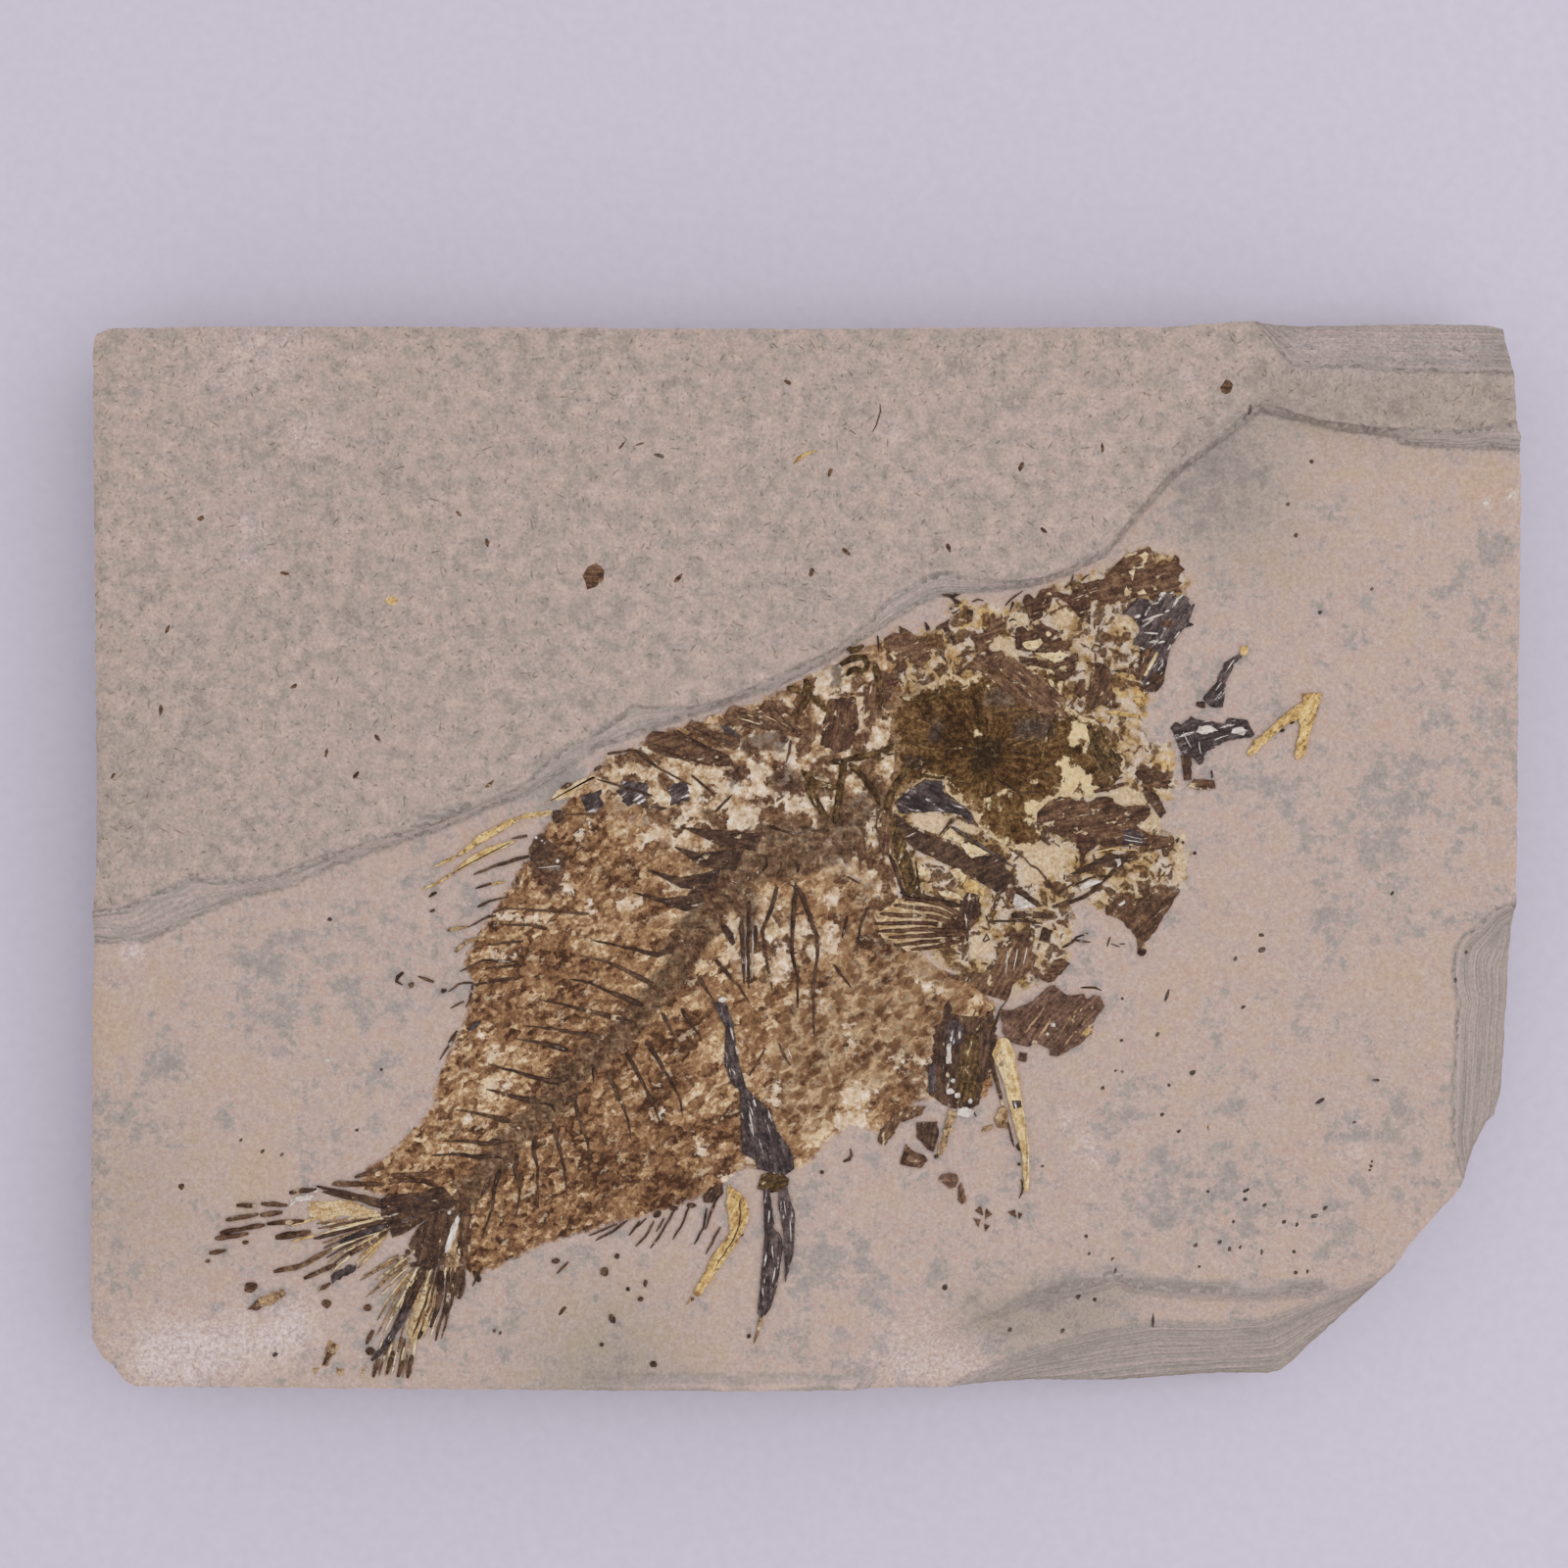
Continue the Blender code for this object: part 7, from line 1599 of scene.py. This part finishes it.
roof += flats(YELLOW, 0, (103.4,69, 104.5,69.1, 106.8,68.6, 106.8,68.2, 103.6,68.7), (106.2,70.3, 107,70.4,
    107.3,69.5, 107,69.4), (103.8,67.9, 103,68.4, 102.7,68, 103.3,67.7), rough=.04, worn=.07)
gather("bones_over_the_head", roof, "olive_bone")

snout = flats(BROWN, 15, (101.2,82.1, 103.2,82.5, 105.5,85, 108,85.8, 108.3,85.3, 108.2,84.6, 109,83.7,
    110.2,84.3, 110.6,85, 111,84.7, 111,84, 111.6,83.5, 111,82.9, 110.9,82.3, 111.3,82.1, 110.9,81.8,
    111.3,81.2, 109.9,81, 109.2,81.3, 108.2,80.3, 107.8,80.8, 103.6,80, 102.5,80.4, 102.1,80.2), rough=.05,
    worn=.09)
snout += flats(CREAM, 10, (107.3,84.5, 106.8,84.9, 107.5,85.3, 107.9,85, 107.6,84.2, 107,83.9), (105.8,83.3,
    106.5,83.5, 106.2,82.3), (108.3,81.7, 108.6,81.9, 108.7,81.4, 108.4,81.3), (105.6,81.8, 105.9,81,
    105.5,80.9, 105.3,81.2), (106.6,81.1, 107.3,81.5, 107.7,81, 106.8,80.9), top=13.15, worn=.06, rough=.03)
snout += flats(SLATE, 60, (105.8,79.6, 106.8,80.6, 107.8,80.4, 108,80, 108.8,80.4, 109.2,81, 109.9,81.2,
    110.3,81.1, 110.5,80.6, 111.6,80.8, 112,80.5, 112,79.9, 112.6,79.9, 112,78.1, 112.5,77.8, 111.5,77.5,
    110.1,75.6, 109.3,71.7, 108.8,71.1, 108.2,70.9, 107.6,71, 107.2,71.4, 107.4,72, 106.6,72.3, 107.2,74.8,
    106.9,75.7, 106.3,75.8, 106.4,76.4, 107,77, 106.9,77.7, 106.2,78.6, 105.6,78.9, 105,78.8), top=13.1,
    rough=.05, worn=.1)
for w, ax, ay, bx, by in groups(5, .5,106.4,78.6,107,78.8, .3,107.2,78.2,109.3,78.9,
        .4,107.2,77.6,108.3,78.4, .3,107.4,77,108.8,76.9, .4,107.9,76,108.8,76.1, .35,108.8,75.9,109.5,76.1,
        .5,108.9,80.8,109.6,81.1, .3,110,81,110.4,81.2, .3,108.1,79.9,108.9,80.1, .3,109.5,79.1,110,79.3,
        .25,110.5,76.4,111,77.1, .3,106.9,75.5,107.4,75.3, .3,107.6,71.7,107.9,71.9,
        .2,109.2,73.4,109.3,74.3, .3,109.8,75.2,110.1,75.8, .3,110.6,80.3,111.4,80.9):
    snout += bones(WHITE, (w * 0.8, w), ((ax, ay), (bx, by)), axis=13.14)
snout += flats(BROWN, 70, (107.3,75.3, 108,75.6, 108.6,75.5, 107.3,72.2, 106.6,72.2), (109,77.6, 110.4,77.5,
    110.5,78.3, 109.4,78.4), top=13.13)
snout += flats(CREAM, 70, (108.6,75.1, 108.9,74.9, 107.6,72.5, 107.3,72.6), top=13.16, worn=.06, rough=.03)
snout += flats(DARK, 40, (107.3,71.3, 107.9,71.9, 108.3,72.9, 108.9,73.1, 109.5,72.9, 109.5,72, 108.6,70.9),
    top=13.14)
gather("snout_and_jaw_tip", snout, "slate_bone", "snout")

# The shoulder, the cheek and the lower jaw.
shoulder = flats(SLATE, -20, (82.1,59.9, 84.9,61.9, 86.7,61.8, 86.9,60.6, 89.5,58.8, 90,58, 89.5,57.3,
    88.7,58.3, 86,58.7, 82.3,58.5))
shoulder += flats(DARK, 25, (81.8,58.6, 84.2,56.7, 88.4,55, 91.4,52.3, 89.3,52.2, 83.8,54.9, 81.6,57),
    (89.7,54.1, 92.6,54.2, 93.3,53.7, 93.1,53, 93.8,52.4, 94.3,51.2, 93.5,51.3, 93.3,50.6, 92.7,50.2,
    90.3,51.6, 90,52.4, 90.4,53.2))
shoulder += flats(CREAM, 20, (87.5,52.7, 88.3,52.9, 89.2,52.1, 88.9,51.4, 88.2,51.6), (84.1,53.4, 85.7,52.5,
    85.2,52.1, 84.3,52.2), (86.2,50.5, 87.2,50.6, 88.2,50.3, 88.9,49.6, 86.8,49.9), (86.7,56, 87.5,57,
    89,55.8, 88.8,55.3), (88.5,55.3, 89.4,55.5, 91.5,54.4, 89.6,53.9), (90.5,51.1, 91.1,51, 91,50.7,
    90.5,50.8), top=13.14)
shoulder += flats(YELLOW, 20, (89.3,51.9, 90,51.7, 90.8,51, 91,50.2, 90.6,49.3, 89.9,49.4, 88.8,51),
    top=13.1)
shoulder += bones(DARK, (.5, .4), (81.3,54.3, 82,52.6, 82.6,50.6, 83,49.5))
shoulder += bones(DARK, (.25, .2), (84,53.6, 84.2,52.2, 84.4,51.2), (86.4,56.2, 87.4,57.4, 87.8,58.1))
shoulder += bones(SLATE, (.4, .16), (87.7,57.1, 94.1,53), axis=13.06)
shoulder += flats(BROWN, 85, (80,58.7, 81.3,58.8, 82,56, 81.8,54.4, 80.6,54.1, 80.1,56))
shoulder += flats(WHITE, 10, (94.1,50.3, 95.5,49.8, 96.6,48.9, 94.3,48.7, 94,49.2), top=13.05)
shoulder += flats(DARK, 10, (94,50.9, 94.8,50.8, 97.1,49, 96.4,48.9, 94.5,50.2), top=13.09)
gather("shoulder_and_cheek_bars", shoulder, "dark_bone", "shoulder_girdle")

gills = flats(BROWN, 10, (96.5,58.6, 97.6,59.6, 98.8,60, 102,59.6, 102.5,60.1, 103.4,60.2, 104.2,60,
    104.3,59.6, 105.2,59.2, 107.6,59.3, 108.1,59, 107.9,58.2, 107.3,57.6, 106.6,58, 106.6,57.2, 108,56.3,
    110.1,56, 110.2,56.2, 110.5,55.9, 110.4,54.8, 110,54.6, 109.9,54.1, 109.4,54, 109.2,54.9, 108.3,54.7,
    107.8,55.2, 103.3,55, 103,55.5, 101.4,54.3, 101.2,53.3, 100.8,53.4, 101,54.4, 100.5,55.4, 99.6,56,
    96.4,57), rough=.05)
gills += flats(SLATE, 5, (105,55.3, 107.5,55.2, 107.4,56.4, 106.4,57, 105.2,56.8), top=13.14)
gills += bones(WHITE, (.16, .1), (105.3,56.3, 107,55.9), (105.4,55.8, 107.2,55.5), axis=13.17)
gills += bones(YELLOW, (.2, .14), (104,54.9, 106.8,54.7), (102,54.4, 105.5,55.2), axis=13.05)
gills += flats(DARK, 10, (96.8,56.8, 97.9,55.3, 97.6,55.2, 96.9,55.7), (99.8,52.2, 103.8,54.4, 105.6,54.1,
    106.5,54.6, 106.2,53.7, 105.4,53.4, 105,52.7, 104.6,53, 103,53, 101.4,52.4), (97.1,51.4, 97.5,51.7,
    98.1,51, 98,50.7, 97.3,50.9), (107.2,60.7, 107.5,61.2, 108.7,60.5, 109.7,58.6, 109.1,58), rough=.05,
    worn=.09)
gills += bones(BROWN, (.6, .4), (102.3,60.7, 104.2,61.2, 105.8,61.6))
gills += bones(DARK, (.5, .3), (98,48.9, 101,49.8, 102.3,50.6, 106.2,54.5))
gills += bones(DARK, (.24, .16), (100.4,51.2, 102,52, 104,52.1), (98.4,50.3, 97.3,51.8, 96.5,52.9, 96,53.2),
    (98.6,50.2, 99.3,50.8, 100.3,51.4), (97.4,51.9, 96.4,52.9, 95.6,53.2, 95,54.1), (110.8,55.5, 111,56))
gills += flats(WHITE, 10, (104.4,53.8, 105,53.9, 105.1,53.4, 104.7,53), (100.7,50.9, 101.9,51.7, 103.2,51.6,
    101,50.6), top=13.12, worn=.07)
gills += flats(DARK, 0, spot(111.4, 55.5, .3), spot(112.6, 54.4, .35), (108.7,52, 109,52.9, 109.2,52.7,
    109,52))
gather("gill_cover_and_lower_jaw", gills, "red_brown_bone")

cheek = flats(BROWN, 40, (103.4,48.8, 105,49.9, 107.3,49.8, 107.3,50.6, 108.8,51.2, 109.6,51.1, 110.6,50.3,
    110.9,50.8, 111.1,50.6, 108.6,46.5, 106.8,44.5, 106.5,46, 104.8,47.8, 103.6,48.1))
cheek += flats(WHITE, 0, (104.7,49.2, 105.4,49.6, 105.5,49.3, 105,49), top=13.14, worn=.06)
cheek += flats(DARK, 0, spot(107.2, 44.3, 1, .8))
cheek += bones(DARK, (.2, .12), (109.8,49.6, 107.8,47.4, 106.8,46), (108.6,50.4, 106.4,48.4), axis=13.12)
gather("cheek_plate_bone", cheek, "red_brown_bone", "cheek_plate")

RIBBED = groups(2, 92.5,38.3, 93,36.8, 92.9,36, 93.8,35, 95.6,34.5, 96.2,35, 97.7,34.4, 97.8,33.7, 98.6,33.6,
    100.5,34.6, 102,35.9, 102.4,37.4, 103.4,38.7, 102.9,39.8, 102.2,39.8, 101.6,39.4, 101.2,40, 99.6,39.8,
    98.2,40.9, 97.7,40.8, 95.8,39.1, 94,38.3)
ribbed = flats(FADED, 45, RIBBED)
ribbed += bones(BROWN, (.3, .16), (98.2,38, 99.5,39.6), (97.9,37.3, 98.8,37.8, 100.3,39.4), (98.5,35,
    101.3,39), (99.6,35, 102.2,38.8), (97.2,36, 98.6,37), (94.4,36, 97,39.4), (95.8,35.4, 98,38.8),
    (93.6,36.8, 95,38.2), axis=13.1)
ribbed += bones(TAN, (.36, .2), (98.9,36.2, 100.8,38.9), (95.2,36, 97.4,39), (99.2,34.7, 101.9,38),
    (96.6,35.6, 97.9,37.4), axis=13.08)
ribbed += flats(YELLOW, 45, (100.8,35.7, 101.6,35.6, 102.2,36.4, 101.4,36.6), top=13.13)
ribbed += flats(WHITE, 0, spot(98.1, 36.8, .5), spot(97.5, 35.9, .3), top=13.15, worn=.06)
ribbed += flats(BROWN, 0, (94.5,33.2, 95.3,33, 95.5,33.9, 94.7,34))
gather("ribbed_gill_plate", ribbed, "red_brown_bone", "gill_plate")

breast = flats(BROWN, 60, (92.4,45.2, 94,45.5, 95.7,46.4, 96.2,45.7, 95.9,44.3, 96.4,43.9, 95.9,42.6,
    94,40.9, 93.4,39.2, 91,40, 90.3,40.4, 90,41.1, 88,41.5, 87.3,41.9, 91.6,42.2, 92.3,43.4))
breast += flats(BROWN, 10, (93.6,45.5, 95.7,46.3, 95.5,46.6, 93.6,46.2), (96.8,41.6, 97.8,42.4, 98.2,43.4,
    99,43.6, 99.8,43.1, 98.2,41.3, 97.6,41.1))
breast += bones(DARK, (.3, .2), (99,44.7, 100,45.2, 100.6,45.9, 101.7,46.2), (100,45.5, 101.9,45.3),
    (91.2,48, 91.4,47.4, 95,47.5, 97,47.2), (91.8,48.6, 92.8,50.2, 93.2,49.2), (90.9,45.4, 91.3,46.1,
    91.7,45.7, 91.4,45.2, 91,45.3))
breast += bones(DARK, (.9, .6), (93.8,48, 96,48.1, 98,47.9))
breast += flats(DARK, 0, (96.6,45.4, 97.6,45.3, 98,46.4, 97,46.9))
breast += bones(WHITE, (.16, .1), (94.4,44.6, 94,42.4), (95.4,44.8, 95,43), (93.4,44.4, 93.2,42),
    axis=13.12)
gather("breast_plate_bone", breast, "slate_bone", "breast_plate")


# ---------------------------------------------------------------- loose bones round the fish
jaw = flats(SLATE, 15, (110.2,67.3, 110.6,67.9, 111.2,67.6, 112.3,68.4, 112.8,68.1, 115.8,67.7, 116,68.3,
    117.9,68.1, 118.8,66.6, 118.4,66.3, 116,66, 114.2,65, 113.6,64.4, 113.4,63.6, 113,63.5, 112.5,64.2,
    111.7,64.3, 111.2,64.9))
jaw += flats(WHITE, 10, (112.6,66.8, 113.8,66.6, 115,67, 114.2,67.5, 113,67.4), (116.3,66.7, 117.6,66.5,
    118,67, 117.2,67.4, 116.4,67.2), top=13.13, worn=.07)
jaw += bones(WHITE, (.2, .12), (111.4,66.8, 112.2,65.2), (113,65.8, 113.2,64.6), (114.6,66, 116,66.5),
    axis=13.14)
jaw += flats(DARK, 70, (111.2,64.4, 112.2,64.2, 112.3,62, 111.5,61.9))
gather("toothed_jaw_bone", jaw, "slate_bone", "toothed_jaw")

rod_bone = flats(SLATE, 50, (117.3,74.9, 115.7,74, 114.9,72, 113.4,70.3, 114.3,69.4, 115.5,69.3, 115.8,71.9,
    116.6,73.8, 117.4,74.5))
rod_bone += flats(YELLOW, 50, (117.2,74.8, 118,74.7, 118.1,75.6, 117.4,75.7))
rod_bone += flats(DARK, 0, (112.7,69.5, 113.7,69.3, 113.7,69.9, 112.8,70))
rod_bone += bones(WHITE, (.22, .12), (116.6,74.2, 115.9,73.2), (115.3,71.9, 114.7,71.1), axis=13.13)
gather("jaw_rod_bone", rod_bone, "slate_bone", "jaw_rod")

forked = flats(YELLOW, 50, (123.7,70.8, 125.7,70.8, 123.7,64.3, 123,64, 122.9,64.8, 123.4,67.5, 123.2,68.2,
    121.8,67.5, 118.3,64.3, 117.9,64.6, 118.6,65.8, 122,68.8, 123.8,70), top=13.12)
forked += flats(DARK, 0, spot(121.6, 67, .5, .25, 40), spot(122.6, 67.8, .5, .25, 30), spot(124.9, 68.6, .3,
    .5))
gather("forked_bone_piece", forked, "yellow_bone", "forked_bone")

lip = flats(BROWN, 15, (106.4,62.5, 107.1,63.7, 108.2,63, 109.6,62.6, 110.3,61.7, 109.9,61.5, 109.9,61.1,
    108.7,61, 107.6,61.5), rough=.05)
lip += bones(DARK, (.2, .12), (107,63, 108.4,62, 109.6,61.6), axis=13.1)
gather("lip_plate_bone", lip, "red_brown_bone", "lip_plate")

chip = flats(BROWN, 0, (111.9,61.2, 112.6,62, 114.6,61.9, 114.8,61.1, 113.2,60.9))
chip += bones(DARK, (.3, .2), (114.3,62.9, 114.4,62.1))
gather("jaw_chip_bone", chip, "red_brown_bone", "jaw_chip")

large_scale = flats(BROWN, 20, (82.4,22.5, 83,24.6, 83.6,23.9, 84.9,23.4, 85.2,22.9, 84.6,22.1), rough=.05)
large_scale += flats(FADED, 20, (83,22.9, 83.2,23.6, 84.6,22.8, 84.2,22.5), top=13.1, rough=.12)
large_scale += bones(DARK, (.5, .3), (76.6,22.8, 77.5,23.2, 77.3,24.1))
large_scale += flats(DARK, 0, spot(74.4, 21.7, .4))
gather("loose_scale_by_the_belly", large_scale, "red_brown_bone", "loose_scale_large")

small_scale = flats(FADED, 10, (86.3,21, 86.8,21.5, 87.6,21.6, 88.3,21.4, 88.4,20.8, 88,20.2, 87.5,20),
    rough=.05)
small_scale += flats(BROWN, 60, (88.3,18.8, 88.4,20.2, 88.7,20.6, 89.2,18.8, 88.8,18.4), rough=.04)
small_scale += flats(BROWN, 0, (90,17.8, 90.8,18.2, 91,17.2), (91.2,18, 91.8,17.4, 91.2,16.8), (89.9,17,
    90.6,16.8, 90.4,16), (91,16.4, 91.6,16.2, 91.2,15.6), (93.4,17.6, 94.2,17.8, 94.3,17), (94.5,17.6,
    95,17.4, 94.6,16.8), top=12.96, rough=.12)
gather("loose_scale_and_crumbs", small_scale, "red_brown_bone", "loose_scale_small")


# ---------------------------------------------------------------- floor, light and camera
def studio():
    let_go()
    bpy.ops.mesh.primitive_plane_add(size=3.0, location=(0, 0, -0.0002))
    floor = bpy.context.object
    bpy.ops.object.transform_apply(location=True, rotation=True, scale=True)
    work_on(floor)
    bpy.ops.mesh.subdivide(number_cuts=4)
    let_go()
    floor.name = "floor"
    floor.data.materials.append(PAPER)
    scene = bpy.context.scene
    scene.view_settings.view_transform = "Standard"
    world = bpy.data.worlds.new("studio")
    world.use_nodes = True
    world.node_tree.nodes["Background"].inputs["Color"].default_value = (1.0, 1.0, 1.0, 1.0)
    world.node_tree.nodes["Background"].inputs["Strength"].default_value = 0.77
    scene.world = world
    bpy.ops.object.light_add(type="AREA", location=(0.34, 0.02, 0.8))
    lamp = bpy.context.object
    lamp.name = "softbox"
    lamp.data.shape = "RECTANGLE"
    lamp.data.size = 0.8
    lamp.data.size_y = 0.8
    lamp.data.energy = 3.1
    lamp.rotation_euler = Vector((0.34, 0.02, 0.8)).to_track_quat("Z", "Y").to_euler()
    bpy.ops.object.camera_add(location=(-2.2 * MM, 7.5 * MM, (14 + 222.2) * MM))
    camera = bpy.context.object
    camera.name = "camera"
    camera.data.lens = 50.0
    camera.data.sensor_width = 36.0
    camera.data.clip_start = 0.01
    scene.camera = camera


studio()
